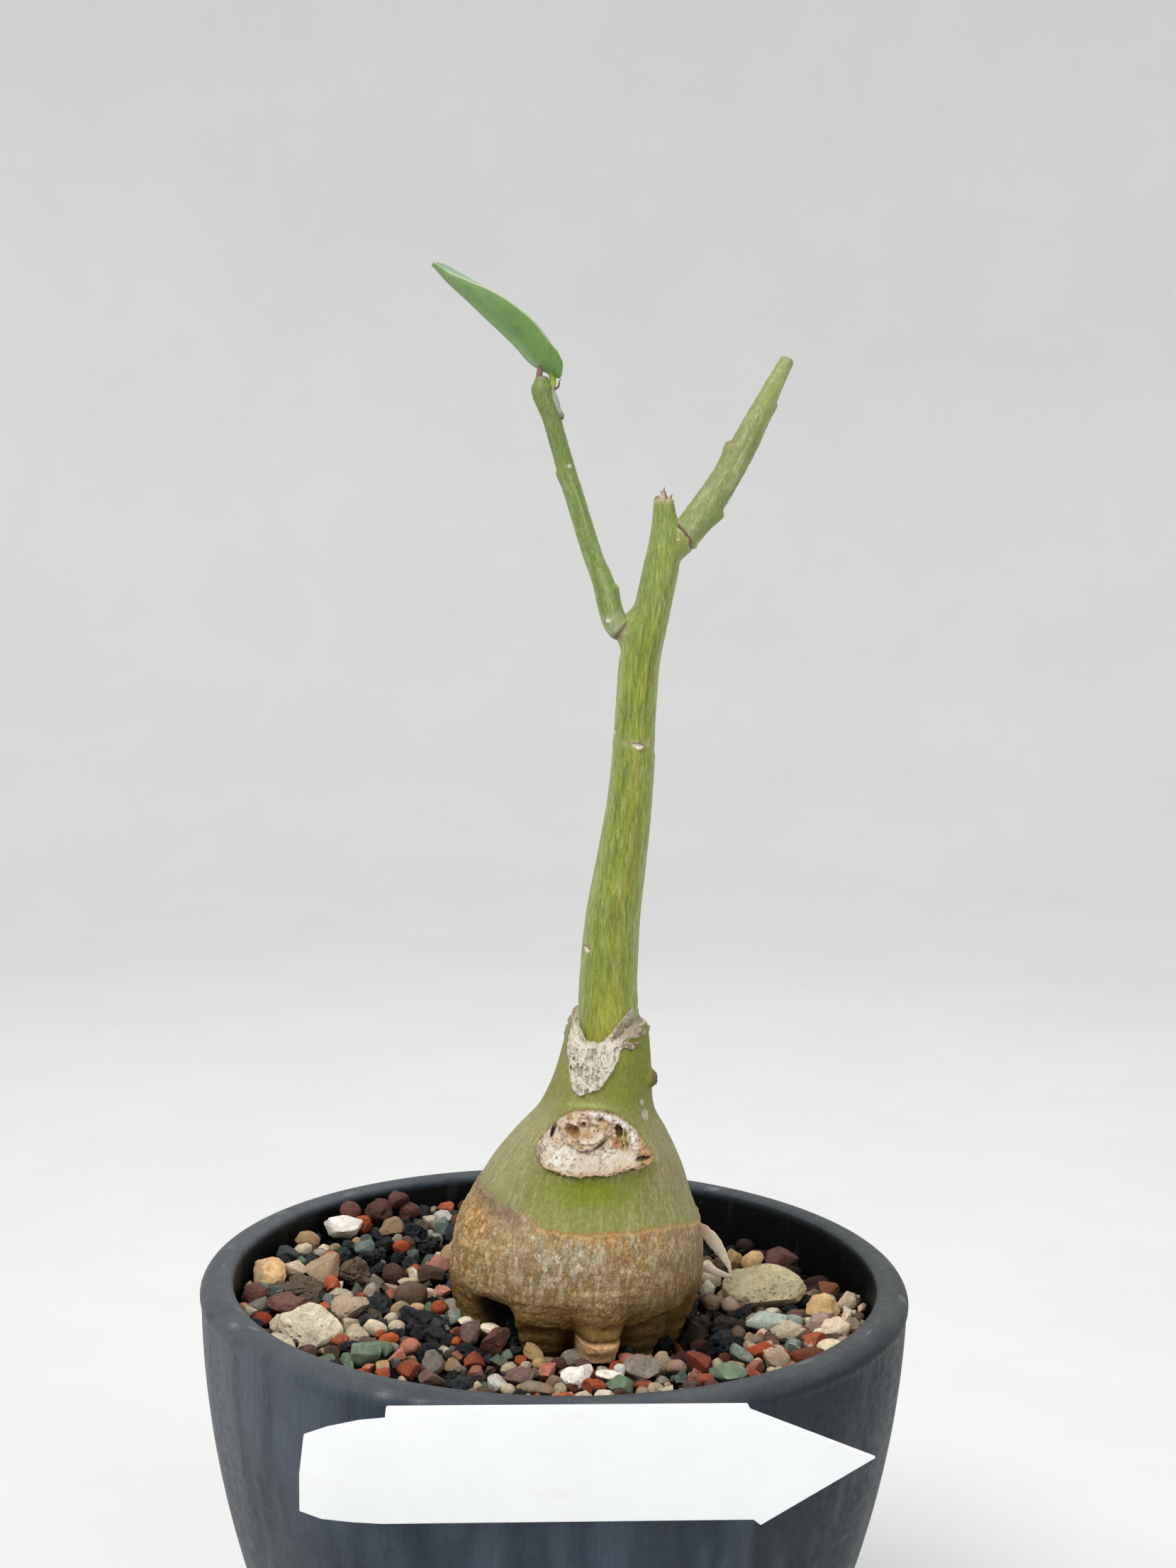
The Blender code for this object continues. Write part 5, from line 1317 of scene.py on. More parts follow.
def make_callus():
    x, z, rows, columns = front_grid(*CALLUS_REACH, CALLUS_STEP)
    flat = np.stack((x, np.zeros_like(x), z), axis=1)
    out = edge_distance(x, z, rounded_outline(CALLUS_OUTLINE, 1))
    out = out + 0.15 * clouds(flat, 0.7, 3) + 0.08 * clouds(flat, 0.3, 4)
    wx, wz = x + 0.3 * clouds(flat, 1.1, 12), z + 0.5 * clouds(flat, 1.1, 13)
    warp_u, warp_v = 0.3 * clouds(flat, 0.6, 21), 0.3 * clouds(flat, 0.6, 22)
    near, far, own = cells(wx / 0.55 + warp_u, wz / 1.15 + warp_v, 5)
    seam = smooth_step(0.16, 0.0, far - near) * smooth_step(-0.15, 0.3, clouds(flat, 0.9, 17))
    folds = 1.0 - 2.0 * np.abs(clouds(flat * (1, 1, 0.55), 0.8, 18))
    fine = clouds(flat, 0.3, 9)
    inside = smooth_step(0.0, 0.4, out)
    relief = 0.75 * smooth_step(-0.25, 0.3, out) - 0.75 + 0.35 * smooth_step(0.0, 0.35, out)
    relief += inside * (0.07 * own - 0.2 * seam + 0.14 * fine + 0.2 * folds + 0.16 * clouds(flat, 1.6, 6))
    pits = smooth_step(0.9, 0.4, np.hypot((x - 1.75) / 0.2, (z - 33.4) / 0.5))
    pits += smooth_step(0.9, 0.4, np.hypot((x - 2.1) / 0.16, (z - 34.7) / 0.34))
    relief -= 0.4 * pits
    on_stock, lip = stock_front(x, z)
    on_stem = np.where(z > 34.0, stem_front(x, z), 0.0)
    past_lip = smooth_step(-0.05, 0.55, z - lip)
    y = (1 - past_lip) * np.minimum(on_stock, on_stem) + past_lip * on_stem
    y = y - relief - 0.12 * hill(z, lip, 0.4)
    high = smooth_step(37.4, 39.0, z) * smooth_step(6.8, 8.4, x)
    arm = (x > 9.0) * (z < 39.2)
    tints = layered(
        tone(194, 187, 170),
        (tone(172, 162, 142), 0.7 * smooth_step(0.0, 0.8, own)),
        (tone(216, 210, 198), 0.7 * smooth_step(0.3, 0.85, folds)),
        (tone(136, 122, 100), 0.75 * smooth_step(0.2, -0.35, folds)),
        (tone(104, 90, 70), 0.65 * seam),
        (tone(214, 206, 186), 0.6 * smooth_step(0.25, 0.55, fine)),
        (tone(156, 146, 126), 0.8 * high),
        (tone(112, 98, 76), 0.7 * high * smooth_step(0.1, 0.5, fine)),
        (tone(140, 124, 98), 0.7 * smooth_step(0.22, 0.02, out)),
        (tone(176, 160, 134), 0.7 * arm),
        (tone(112, 92, 70), 0.75 * arm * smooth_step(0.1, 0.5, clouds(flat, 0.7, 15))),
        (tone(56, 42, 32), 0.9 * pits),
    )
    points = np.stack((x, y, POT_HEIGHT + z), axis=1)
    faces = grid_faces(rows, columns, closed=False, keep=out > -0.3)
    points, tints, faces = without_loose(points, tints, faces)
    finish = patterned(
        "callus_finish", 0.9, shades=((0.2, 1.5, 0.10),), bumps=((0.15, 1.6, 0.06, "noise"),),
        gloss=0.2,
    )
    make_piece("graft_callus", points, faces, finish, tints=tints)


# Branches, as in the solids: x, y, height above the rim, radius
LEFT_BRANCH = (
    (9.2, -4.0, 95.4, 1.55), (6.9, -4.0, 97.0, 1.75), (5.9, -4.0, 99.4, 1.72), (4.9, -4.1, 102.8, 1.55),
    (3.4, -4.2, 106.5, 1.38), (2.15, -4.3, 110.0, 1.38), (0.9, -4.5, 113.9, 1.34), (-0.2, -4.6, 117.1, 1.24),
    (-1.75, -4.7, 122.0, 1.18), (-3.1, -4.8, 126.3, 1.18), (-4.15, -4.9, 128.9, 1.32),
    (-4.35, -4.9, 129.8, 1.4), (-4.4, -4.9, 131.2, 0.86),
)
RIGHT_BRANCH = (
    (14.0, -4.0, 107.2, 1.7), (16.3, -4.0, 109.9, 2.15), (18.5, -3.9, 112.9, 2.25), (20.6, -3.8, 116.1, 2.12),
    (22.8, -3.6, 119.9, 2.0), (24.8, -3.4, 123.7, 1.88), (26.4, -3.3, 127.1, 1.62), (27.9, -3.2, 130.3, 1.34),
    (29.2, -3.1, 133.0, 1.12), (30.0, -3.0, 134.6, 0.98),
)

# Nodes of the branches: height, side, how far they stand out
LEFT_BRANCH_NODES = ((102.2, 1, 0.34), (118.9, -1, 0.3))
RIGHT_BRANCH_NODES = ((114.5, 1, 0.62), (122.2, -1, 0.6), (129.2, 1, 0.34))
NODE_EDGE = 0.35
NODE_FADES_OVER = 1.7
BRANCH_COLUMNS = 56
BRANCH_ROWS = 210

# Rings of a branch's blunt end: share of its size, share of its rise
BLUNT_RINGS = ((0.93, 0.35), (0.78, 0.7), (0.55, 0.9), (0.28, 1.0))
BLUNT_RISE = 0.5


def along_path(path, rows):
    """Middles, directions, sides, depths and radii along a smooth path of (x, y, z, radius)."""
    path = np.array(path, float)
    run = np.concatenate(([0.0], np.cumsum(np.linalg.norm(np.diff(path[:, :3], axis=0), axis=1))))
    t = np.linspace(0.0, run[-1], rows)
    read = np.stack([curve(list(zip(run, path[:, k])), t) for k in range(4)], axis=1)
    middle, radius = read[:, :3], read[:, 3]
    along = np.gradient(middle, axis=0)
    along /= np.linalg.norm(along, axis=1)[:, None]
    side = np.cross((0.0, 1.0, 0.0), along)
    side /= np.linalg.norm(side, axis=1)[:, None]
    deep = np.cross(side, along)
    return middle, along, side, deep, radius, t


def branch_grid(path, nodes):
    """A branch's path, and the turn, radius and run of each of its points, with its nodes swollen."""
    columns = BRANCH_COLUMNS
    middle, along, side, deep, radius, t = along_path(path, BRANCH_ROWS)
    turn = np.tile(2 * np.pi * np.arange(columns) / columns, BRANCH_ROWS)
    height = np.repeat(middle[:, 2], columns)
    out = np.repeat(radius, columns)
    for node_height, way, relief in nodes:
        facing = np.maximum(0.0, np.cos(turn) * way)
        below = np.maximum(0.0, node_height - height)
        shelf = smooth_step(NODE_EDGE, -NODE_EDGE, height - node_height) * hill(below, 0.0, NODE_FADES_OVER)
        out = out + relief * shelf * facing ** 2
    return middle, along, side, deep, turn, out, np.repeat(t, columns)


def branch_points(middle, side, deep, turn, out, columns=BRANCH_COLUMNS):
    middle, side, deep = (np.repeat(rows, columns, axis=0) for rows in (middle, side, deep))
    points = middle + side * (out * np.cos(turn))[:, None] + deep * (out * np.sin(turn))[:, None]
    return points + (0.0, 0.0, POT_HEIGHT)


def close_branch(node, points, tints, along, middle, finish, end_colour):
    """Close a branch with a blunt end and make its piece."""
    columns = BRANCH_COLUMNS
    lift = np.array((0.0, 0.0, POT_HEIGHT))
    last = points[-columns:]
    tip = middle[-1] + lift
    rings, colours = [points], [tints]
    for share, rise in BLUNT_RINGS:
        rings.append(tip + (last - tip) * share + along[-1] * BLUNT_RISE * rise)
        colours.append(blend(tints[-columns:], end_colour, np.full(columns, 0.3 + 0.6 * rise)))
    points = np.vstack(rings + [(middle[0] + lift, tip + along[-1] * BLUNT_RISE)])
    tints = np.vstack(colours + [tints[0], end_colour])
    make_piece(f"{node}_skin", points, tube_faces(points, columns), finish, node, tints)


def make_left_branch():
    middle, along, side, deep, turn, out, t = branch_grid(LEFT_BRANCH, LEFT_BRANCH_NODES)
    facing, depth = np.cos(turn), np.sin(turn)
    z = np.repeat(middle[:, 2], BRANCH_COLUMNS)
    around = np.stack((1.4 * facing, 1.4 * depth, t), axis=1)
    streak = clouds(around * (1, 1, 0.12), 0.4, 2)
    fleck = clouds(around, 0.5, 5)
    relief = 0.04 * streak + 0.05 * fleck + 0.12 * smooth_step(112.0, 120.0, z)
    scar = np.hypot((facing + 0.46) / 0.3, (z - 98.0) / 0.42) + 9.0 * (depth < 0)
    speck = np.hypot((facing - 0.45) / 0.25, (z - 119.1) / 0.3) + 9.0 * (depth < 0)
    ring = hill(t, 2.2, 0.22)
    relief += 0.10 * smooth_step(1.2, 0.9, scar) - 0.12 * smooth_step(0.8, 0.3, scar)
    relief += 0.12 * ring * (0.4 + fleck)
    points = branch_points(middle, side, deep, turn, out + relief)
    tints = layered(
        tone(116, 134, 68),
        (tone(92, 112, 50), 0.6 * smooth_step(0.0, 0.5, -streak)),
        (tone(146, 160, 104), 0.55 * smooth_step(0.1, 0.5, streak)),
        (tone(144, 156, 106), 0.6 * smooth_step(0.6, 1.0, np.abs(facing))),
        (tone(150, 156, 116), 0.7 * smooth_step(5.2, 3.6, t)),
        (tone(150, 138, 112), 0.7 * smooth_step(2.3, 1.7, t)),
        (tone(84, 68, 46), 0.95 * hill(t, 1.85, 0.26) * smooth_step(-0.7, 0.0, fleck + 0.3)),
        (tone(214, 212, 196), 0.95 * smooth_step(1.05, 0.8, scar)),
        (tone(90, 72, 50),
         0.85 * smooth_step(1.15, 0.85, scar) * smooth_step(0.5, 0.9, scar + 0.6 * (-0.46 - facing))),
        (tone(226, 224, 206), 0.9 * smooth_step(1.1, 0.6, speck)),
        (tone(96, 112, 54), 0.6 * smooth_step(112.0, 124.0, z)),
    )
    finish = patterned(
        "branch_left_finish", 0.5, shades=((0.24, 4.0, 0.2), (0.14, 1, 0.12)),
        stains=((0.25, 5.0, 0.58, 0.72, tone(160, 168, 118), 0.4),),
        bumps=((0.2, 4.0, 0.05, "noise"),), gloss=0.4,
    )
    close_branch("branch_left", points, tints, along, middle, finish, tone(132, 122, 112))


def make_right_branch():
    middle, along, side, deep, turn, out, t = branch_grid(RIGHT_BRANCH, RIGHT_BRANCH_NODES)
    facing, depth = np.cos(turn), np.sin(turn)
    z = np.repeat(middle[:, 2], BRANCH_COLUMNS)
    around = np.stack((2.0 * facing, 2.0 * depth, t), axis=1)
    streak = clouds(around * (1, 1, 0.14), 0.45, 2)
    fleck = clouds(around, 0.5, 5)
    broad = clouds(around * (1, 1, 0.4), 1.8, 8)
    cup = np.hypot((facing + 0.95) / 0.3, (z - 122.3) / 0.35)
    corky = clouds(around, 0.8, 11)
    crease = 3.15 + 0.65 * smooth_step(0.75, -0.1, facing) - 0.5 * smooth_step(0.3, 1.0, facing) + 0.3 * corky
    past = t - crease
    relief = 0.04 * streak + 0.05 * fleck + 0.2 * hill(past, 0.4, 0.35) * (0.8 + corky)
    relief += 0.12 * hill(past, -0.45, 0.3) - 0.14 * hill(past, 0.0, 0.16)
    points = branch_points(middle, side, deep, turn, out + relief)
    tints = layered(
        tone(126, 134, 80),
        (tone(116, 132, 70), 0.7 * smooth_step(-0.2, 0.9, facing)),
        (tone(100, 118, 58), 0.5 * smooth_step(0.0, 0.5, -streak) * smooth_step(-0.4, 0.6, facing)),
        (tone(160, 166, 122), 0.6 * smooth_step(0.05, 0.5, streak)),
        (tone(150, 156, 108), 0.5 * smooth_step(0.0, 0.5, broad) * smooth_step(0.6, -0.4, facing)),
        (tone(144, 154, 92), 0.6 * smooth_step(124, 132, z)),
        (tone(146, 122, 60), 0.7 * smooth_step(132.6, 134.4, z) * smooth_step(0.2, 0.9, facing)),
        (tone(126, 139, 62), smooth_step(0.0, -0.4, past)),
        (tone(158, 148, 108), 0.75 * hill(past, -0.35, 0.4) * smooth_step(-0.4, 0.3, corky)),
        (tone(132, 112, 80), 0.8 * hill(past, 0.25, 0.3) * smooth_step(-0.5, 0.2, corky)),
        (tone(66, 52, 36), 0.95 * hill(past, 0.0, 0.15) * smooth_step(-0.7, 0.0, fleck)),
        (tone(128, 104, 70), 0.7 * smooth_step(1.0, 0.7, cup)),
    )
    finish = patterned(
        "branch_right_finish", 0.52, shades=((0.24, 3.0, 0.16), (0.14, 1, 0.1)),
        stains=((0.28, 4.0, 0.56, 0.7, tone(186, 190, 156), 0.35),),
        bumps=((0.2, 3.0, 0.05, "noise"),), gloss=0.4,
    )
    close_branch("branch_right", points, tints, along, middle, finish, tone(140, 120, 84))


# Leaf, as in the solid
MIDRIB = (
    (-3.0, -4.6, 132.5), (-5.1, -4.5, 133.4), (-8.3, -4.4, 136.6), (-11.6, -4.3, 139.5), (-15.1, -4.2, 142.5),
    (-18.15, -4.1, 144.9), (-20.1, -4.0, 146.6),
)
NEAR_WIDTH = (
    (0.0, 2.6), (0.08, 4.1), (0.2, 4.8), (0.335, 5.15), (0.5, 4.65),
    (0.6, 3.75), (0.69, 2.6), (0.845, 1.3), (0.93, 1.0), (1.0, 0.75),
)
FAR_WIDTH = (
    (0.0, 2.2), (0.08, 3.2), (0.2, 4.2), (0.35, 4.7), (0.5, 4.2),
    (0.6, 3.6), (0.68, 3.1), (0.775, 2.6), (0.9, 1.95), (0.965, 1.38), (1.0, 0.8),
)
NEAR_FOLD = 50.0
FAR_FOLD = 46.0
FOLD_AT_MIDRIB = 1.25
FOLD_EASES = 0.35
BASE_LOBE_REACH = 4.0
BASE_LOBE_ROUND = 3.6
BASE_LOBE_DROOP = 1.05
BLADE_THICKNESS = 0.6
BLADE_ROWS = 120
BLADE_COLUMNS = 61
BLADE_STEP = 0.02


def midrib_points(s):
    last = len(MIDRIB) - 1
    return np.stack([curve([(i / last, p[k]) for i, p in enumerate(MIDRIB)], s) for k in range(3)], axis=1)


def blade_points(s, v):
    here = midrib_points(s)
    along = midrib_points(np.minimum(1.0, s + BLADE_STEP)) - midrib_points(np.maximum(0.0, s - BLADE_STEP))
    along /= np.linalg.norm(along, axis=1)[:, None]
    up = np.cross(along, (0.0, -1.0, 0.0))
    up /= np.linalg.norm(up, axis=1)[:, None]
    near = v > 0
    width = np.where(near, curve(NEAR_WIDTH, s), curve(FAR_WIDTH, s)) * np.abs(v)
    fold = np.radians(np.where(near, NEAR_FOLD, FAR_FOLD)) * (FOLD_AT_MIDRIB - FOLD_EASES * np.abs(v))
    across = np.stack((np.zeros(len(s)), np.where(near, -1.0, 1.0), np.zeros(len(s))), axis=1)
    lobe = BASE_LOBE_REACH * np.abs(v) - BASE_LOBE_ROUND * v * v
    back = along * (-lobe * (1.0 - s) ** 3)[:, None]
    droop = BASE_LOBE_DROOP * np.sin(np.pi * np.clip(1.15 * np.abs(v), 0.0, 1.0)) * (1.0 - s) ** 9
    back = back - np.stack((np.zeros(len(s)), np.zeros(len(s)), droop), axis=1)
    return here + up * (width * np.cos(fold))[:, None] + across * (width * np.sin(fold))[:, None] + back


def make_leaf():
    s = np.repeat(np.linspace(0.0, 1.0, BLADE_ROWS), BLADE_COLUMNS)
    v = np.tile(np.linspace(-1.0, 1.0, BLADE_COLUMNS), BLADE_ROWS)
    step = BLADE_STEP
    middle = blade_points(s, v)
    across = blade_points(s, np.minimum(1.0, v + step)) - blade_points(s, np.maximum(-1.0, v - step))
    along = blade_points(np.minimum(1.0, s + step), v) - blade_points(np.maximum(0.0, s - step), v)
    normal = np.cross(along, across)
    normal /= np.linalg.norm(normal, axis=1)[:, None]
    flat = np.stack((s * 22, v * 4.5, np.zeros(len(s))), axis=1)
    veins = np.abs(((s * 9.0 + 0.75 * np.abs(v)) % 1.0) - 0.5) * 2
    between = smooth_step(0.05, 0.2, np.abs(v)) * smooth_step(0.95, 0.6, np.abs(v))
    vein = smooth_step(0.84, 1.0, veins) * between
    half = BLADE_THICKNESS / 2 * (0.55 + 0.45 * smooth_step(1.0, 0.75, np.abs(v)))
    half = half * smooth_step(1.02, 0.8, s * 0.8 + 0.2)
    half = np.maximum(half, 0.08)
    keel = 0.35 * hill(v, 0.0, 0.07) * smooth_step(1.0, 0.4, s)
    ripples = 0.05 * clouds(flat, 3.0, 4)
    upper = middle + normal * (half + ripples - 0.01 * vein)[:, None]
    lower = middle - normal * (half - ripples + keel + 0.01 * vein)[:, None]
    lift = np.array((0.0, 0.0, POT_HEIGHT))

    margin = smooth_step(0.955, 0.995, np.abs(v))
    mottled = clouds(flat, 1.6, 9)
    under = layered(
        tone(100, 136, 66),
        (tone(86, 122, 56), 0.6 * smooth_step(0.0, 0.5, mottled)),
        (tone(132, 158, 116), 0.7 * smooth_step(0.4, 0.0, v) * smooth_step(0.75, 0.3, s) * (v > 0)),
        (tone(122, 150, 100), 0.6 * smooth_step(0.3, 0.75, s)),
        (tone(120, 96, 104), 0.45 * hill(v, 0.0, 0.12) * smooth_step(0.55, 0.95, s)),
        (tone(150, 172, 128), 0.1 * vein),
    )
    over = layered(
        tone(146, 168, 146),
        (tone(122, 148, 120), 0.7 * smooth_step(-0.1, 0.5, mottled)),
        (tone(98, 128, 92), 0.5 * smooth_step(0.5, 0.0, s)),
    )
    pale = tone(170, 188, 142)
    under = blend(under, pale, 0.6 * margin)
    over = blend(over, pale, 0.6 * margin)

    points = np.vstack((upper, lower)) + lift
    tints = np.vstack((over, under))
    count = len(s)
    top = grid_faces(BLADE_ROWS, BLADE_COLUMNS, closed=False)
    faces = top + [[k + count for k in reversed(face)] for face in top]
    edge = list(range(BLADE_COLUMNS))
    edge += [i * BLADE_COLUMNS + BLADE_COLUMNS - 1 for i in range(1, BLADE_ROWS)]
    edge += [(BLADE_ROWS - 1) * BLADE_COLUMNS + j for j in range(BLADE_COLUMNS - 2, -1, -1)]
    edge += [i * BLADE_COLUMNS for i in range(BLADE_ROWS - 2, 0, -1)]
    for a, b in zip(edge, edge[1:] + edge[:1]):
        faces.append([b, a, a + count, b + count])
    finish = patterned(
        "leaf_finish", 0.42, shades=((0.25, 1, 0.05), (1.2, 1, 0.05)),
        bumps=((0.3, 1, 0.02, "noise"), (0.25, 1, 0.015, "cells")), gloss=0.45,
    )
    leaf = make_piece("leaf_blade", points, faces, finish, "leaf", tints)
    turn_outwards(leaf)


def make_tube(name, path, finish, slot, colours, columns=16, rows=40, squash=1.0, rough=0.0, seed=1):
    """A small closed tube along (x, y, z, radius); colours run from its start to its end."""
    middle, _, side, deep, radius, t = along_path(path, rows)
    turn = np.tile(2 * np.pi * np.arange(columns) / columns, rows)
    out = np.repeat(radius, columns)
    around = np.stack((np.cos(turn), np.sin(turn), np.repeat(t, columns)), axis=1)
    out = out * (1.0 + rough * clouds(around, 0.8, seed))
    points = branch_points(middle, side, deep * squash, turn, out, columns)
    places = [(i / (len(colours) - 1), c) for i, c in enumerate(colours)]
    share = np.repeat(t / t[-1], columns)
    tints = np.stack([curve([(p, c[k]) for p, c in places], share) for k in range(3)], axis=1)
    ends = np.array((middle[0], middle[-1])) + (0.0, 0.0, POT_HEIGHT)
    points = np.vstack((points, ends))
    tints = np.vstack((tints, colours[0], colours[-1]))
    turn_outwards(make_piece(name, points, tube_faces(points, columns), finish, tints=tints))


# Small growths: name, finish, slot, tones along it, how it is made, then its x, y, height and radius
SMALL_GROWTHS = (
    ("leaf_stalk", "living", "leaf_blade", (tone(158, 168, 84), tone(128, 150, 54), tone(120, 150, 84)),
     {"rough": 0.08}, (
        (-3.15, -4.9, 129.4, 0.45), (-2.95, -4.9, 130.2, 0.5), (-2.85, -4.8, 131.0, 0.48),
        (-2.95, -4.65, 131.8, 0.5), (-3.6, -4.55, 132.7, 0.5), (-4.8, -4.5, 133.4, 0.35),
    )),
    ("bud_scale", "living", "branch_left_bark",
     (tone(128, 136, 100), tone(140, 156, 134), tone(148, 158, 138), tone(96, 68, 46)),
     {"rough": 0.12, "seed": 4}, (
        (-3.0, -5.2, 130.1, 0.2), (-2.75, -5.3, 129.3, 0.38), (-2.35, -5.3, 128.1, 0.46),
        (-1.95, -5.2, 127.0, 0.38), (-1.55, -5.0, 126.2, 0.42), (-1.42, -4.9, 125.7, 0.2),
    )),
    ("dry_strand", "dry", "branch_left_bark", (tone(126, 106, 92), tone(134, 106, 96), tone(98, 70, 58)),
     {"rough": 0.25, "seed": 6}, (
        (-4.7, -4.9, 130.9, 0.5), (-4.75, -4.9, 131.8, 0.46), (-4.65, -4.8, 132.7, 0.44),
        (-4.6, -4.7, 133.5, 0.26),
    )),
    ("tendril", "dry", "branch_left_bark", (tone(110, 80, 58), tone(128, 92, 72)),
     {"columns": 8}, (
        (-2.9, -5.2, 129.7, 0.16), (-2.4, -5.3, 129.95, 0.17), (-2.0, -5.3, 130.4, 0.14),
        (-1.95, -5.2, 130.9, 0.1), (-1.75, -5.1, 131.35, 0.05),
    )),
    ("papery_root", "dry", "gravel_mix",
     (tone(206, 180, 150), tone(240, 226, 204), tone(234, 216, 192), tone(196, 168, 134)),
     {"columns": 28, "rows": 70, "squash": 0.3, "rough": 0.22, "seed": 8}, (
        (26.5, 0.4, -1.0, 0.16), (26.1, 0.5, 0.6, 0.32), (25.2, 0.5, 2.4, 0.62), (23.9, 0.2, 4.4, 0.95),
        (22.4, -0.4, 6.4, 0.9), (21.0, -1.2, 7.8, 0.6),
    )),
    ("papery_strip", "dry", "gravel_mix", (tone(220, 192, 168), tone(236, 216, 196), tone(206, 178, 150)),
     {"columns": 20, "rows": 40, "squash": 0.35, "rough": 0.3, "seed": 12}, (
        (21.3, -2.4, 1.6, 0.35), (22.9, -2.5, 1.5, 0.6), (24.6, -2.3, 0.8, 0.5), (26.4, -1.8, 0.1, 0.2),
    )),
)

# Fibres that stand on the stem's cut top
FIBRE_COUNT = 15
FIBRE_SEED = 5
FIBRE_FOOT = 114.2
FIBRE_BEND = 114.6
FIBRE_BASE = tone(190, 178, 152)
FIBRE_TONES = (
    (tone(170, 154, 128), tone(120, 100, 80)), (tone(186, 176, 156), tone(150, 130, 108)),
    (tone(130, 110, 88), tone(84, 68, 62)),
)
TALL_FIBRE_LINE = (
    (13.0, -4.6, 114.3, 0.42), (13.0, -4.6, 115.1, 0.36), (13.1, -4.6, 115.9, 0.16),
    (13.2, -4.6, 116.6, 0.04),
)
TALL_FIBRE_TONES = (tone(198, 188, 166), tone(180, 164, 142), tone(92, 76, 84))
CUT_TOP_X = 13.15
CUT_TOP_HEIGHT = 115.0

# Small knobs: name, middle, half size, tone, slot
KNOBS = (
    ("branch_nodule", (15.25, -5.9, 109.1), (0.36, 0.3, 0.42), tone(190, 172, 140), "branch_right_bark"),
    ("branch_base_knob", (16.95, -5.8, 109.2), (0.3, 0.3, 0.5), tone(118, 96, 66), "branch_right_bark"),
    ("branch_peg", (22.15, -3.7, 122.25), (0.62, 0.55, 0.42), tone(124, 104, 76), "branch_right_bark"),
    ("callus_knob_high", (10.9, -8.2, 37.0), (0.75, 0.6, 0.5), tone(150, 128, 100), "caudex_bark"),
    ("callus_knob_low", (10.2, -8.8, 36.4), (0.55, 0.5, 0.45), tone(118, 96, 72), "caudex_bark"),
    ("pruned_knob", (13.5, -5.6, 31.3), (0.85, 0.8, 0.95), tone(138, 118, 92), "caudex_bark"),
)


def make_cut_fibres(finish):
    rng = random.Random(FIBRE_SEED)
    for i in range(FIBRE_COUNT):
        turn = 2 * math.pi * i / FIBRE_COUNT + rng.uniform(-0.3, 0.3)
        out = rng.uniform(0.2, 1.15)
        x, y = CUT_TOP_X + out * math.cos(turn), STEM_Y + 0.9 * out * math.sin(turn)
        height = CUT_TOP_HEIGHT + rng.uniform(0.1, 1.3) * (1.25 - 0.75 * out)
        lean = rng.uniform(-0.3, 0.3)
        half_way = 0.5 * (FIBRE_BEND + height)
        line = ((x, y, FIBRE_FOOT, 0.3), (x + 0.3 * lean, y, half_way, 0.2), (x + lean, y, height, 0.05))
        tones = (FIBRE_BASE, *FIBRE_TONES[i % len(FIBRE_TONES)])
        make_tube(
            f"cut_fibre_{i + 1}", line, finish, "stem_bark", tones, columns=8, rows=12, rough=0.35, seed=i,
        )
    make_tube(
        "tall_fibre", TALL_FIBRE_LINE, finish, "stem_bark", TALL_FIBRE_TONES, columns=10, rows=20, rough=0.4,
    )


def make_knob(name, place, size, colour, finish):
    """A small uneven ball, darker where it stands out."""
    points, faces = ball(3)
    lumps = clouds(points + 3.7 * len(name), 0.8, len(name), 2)
    shaped = points * (1.0 + 0.22 * lumps)[:, None] * size + place + (0.0, 0.0, POT_HEIGHT)
    tints = blend(np.tile(colour, (len(points), 1)), 0.35 * colour, 0.8 * smooth_step(-0.1, 0.5, lumps))
    make_piece(name, shaped, faces.tolist(), finish, tints=tints)


def make_small_growths():
    """The leaf's stalk, the bud's scale, dry bits at the branch tip, fibres of the cut top, and knobs."""
    finishes = {
        "living": patterned(
            "small_growth_finish", 0.55, shades=((0.2, 2, 0.12),), bumps=((0.15, 1, 0.04, "noise"),),
        ),
        "dry": patterned(
            "dry_growth_finish", 0.85, shades=((0.15, 2, 0.18),), bumps=((0.12, 1, 0.06, "noise"),),
            gloss=0.2,
        ),
    }
    for name, finish, slot, tones, how, line in SMALL_GROWTHS:
        make_tube(name, line, finishes[finish], slot, tones, **how)
    make_cut_fibres(finishes["dry"])
    for name, place, size, colour, slot in KNOBS:
        make_knob(name, place, size, colour, finishes["dry"])


# Gravel
BED_DEPTH = 6.3
BED_UNEVENNESS = 0.5
UNEVENNESS_SCALE = 0.12

# A low mound towards the left and back, rising between two distances from the middle
MOUND_RISE = 1.5
MOUND_ANGLE = 135.0
MOUND_FROM = 22.0
MOUND_TO = 44.0
STONE_CENTRE_RISE = 0.22
BED_GAP = 0.3

STONE_TONES = {
    "white": tone(240, 234, 224), "cream": tone(222, 206, 176), "bone": tone(236, 224, 196),
    "beige": tone(188, 166, 136), "pink": tone(208, 174, 154), "tan": tone(184, 152, 114),
    "gold": tone(210, 174, 122), "pumice": tone(196, 182, 138), "brown": tone(104, 82, 66),
    "orange": tone(190, 94, 54), "coral": tone(198, 128, 106), "brick": tone(166, 80, 50),
    "red": tone(156, 66, 40), "maroon": tone(108, 70, 60), "plum": tone(112, 88, 80),
    "green": tone(104, 122, 98), "mint": tone(156, 168, 154), "teal": tone(98, 112, 106),
    "grey": tone(152, 142, 126), "slate": tone(56, 62, 64), "lava": tone(94, 80, 64),
    "black": tone(36, 40, 43), "rust": tone(116, 66, 40),
}

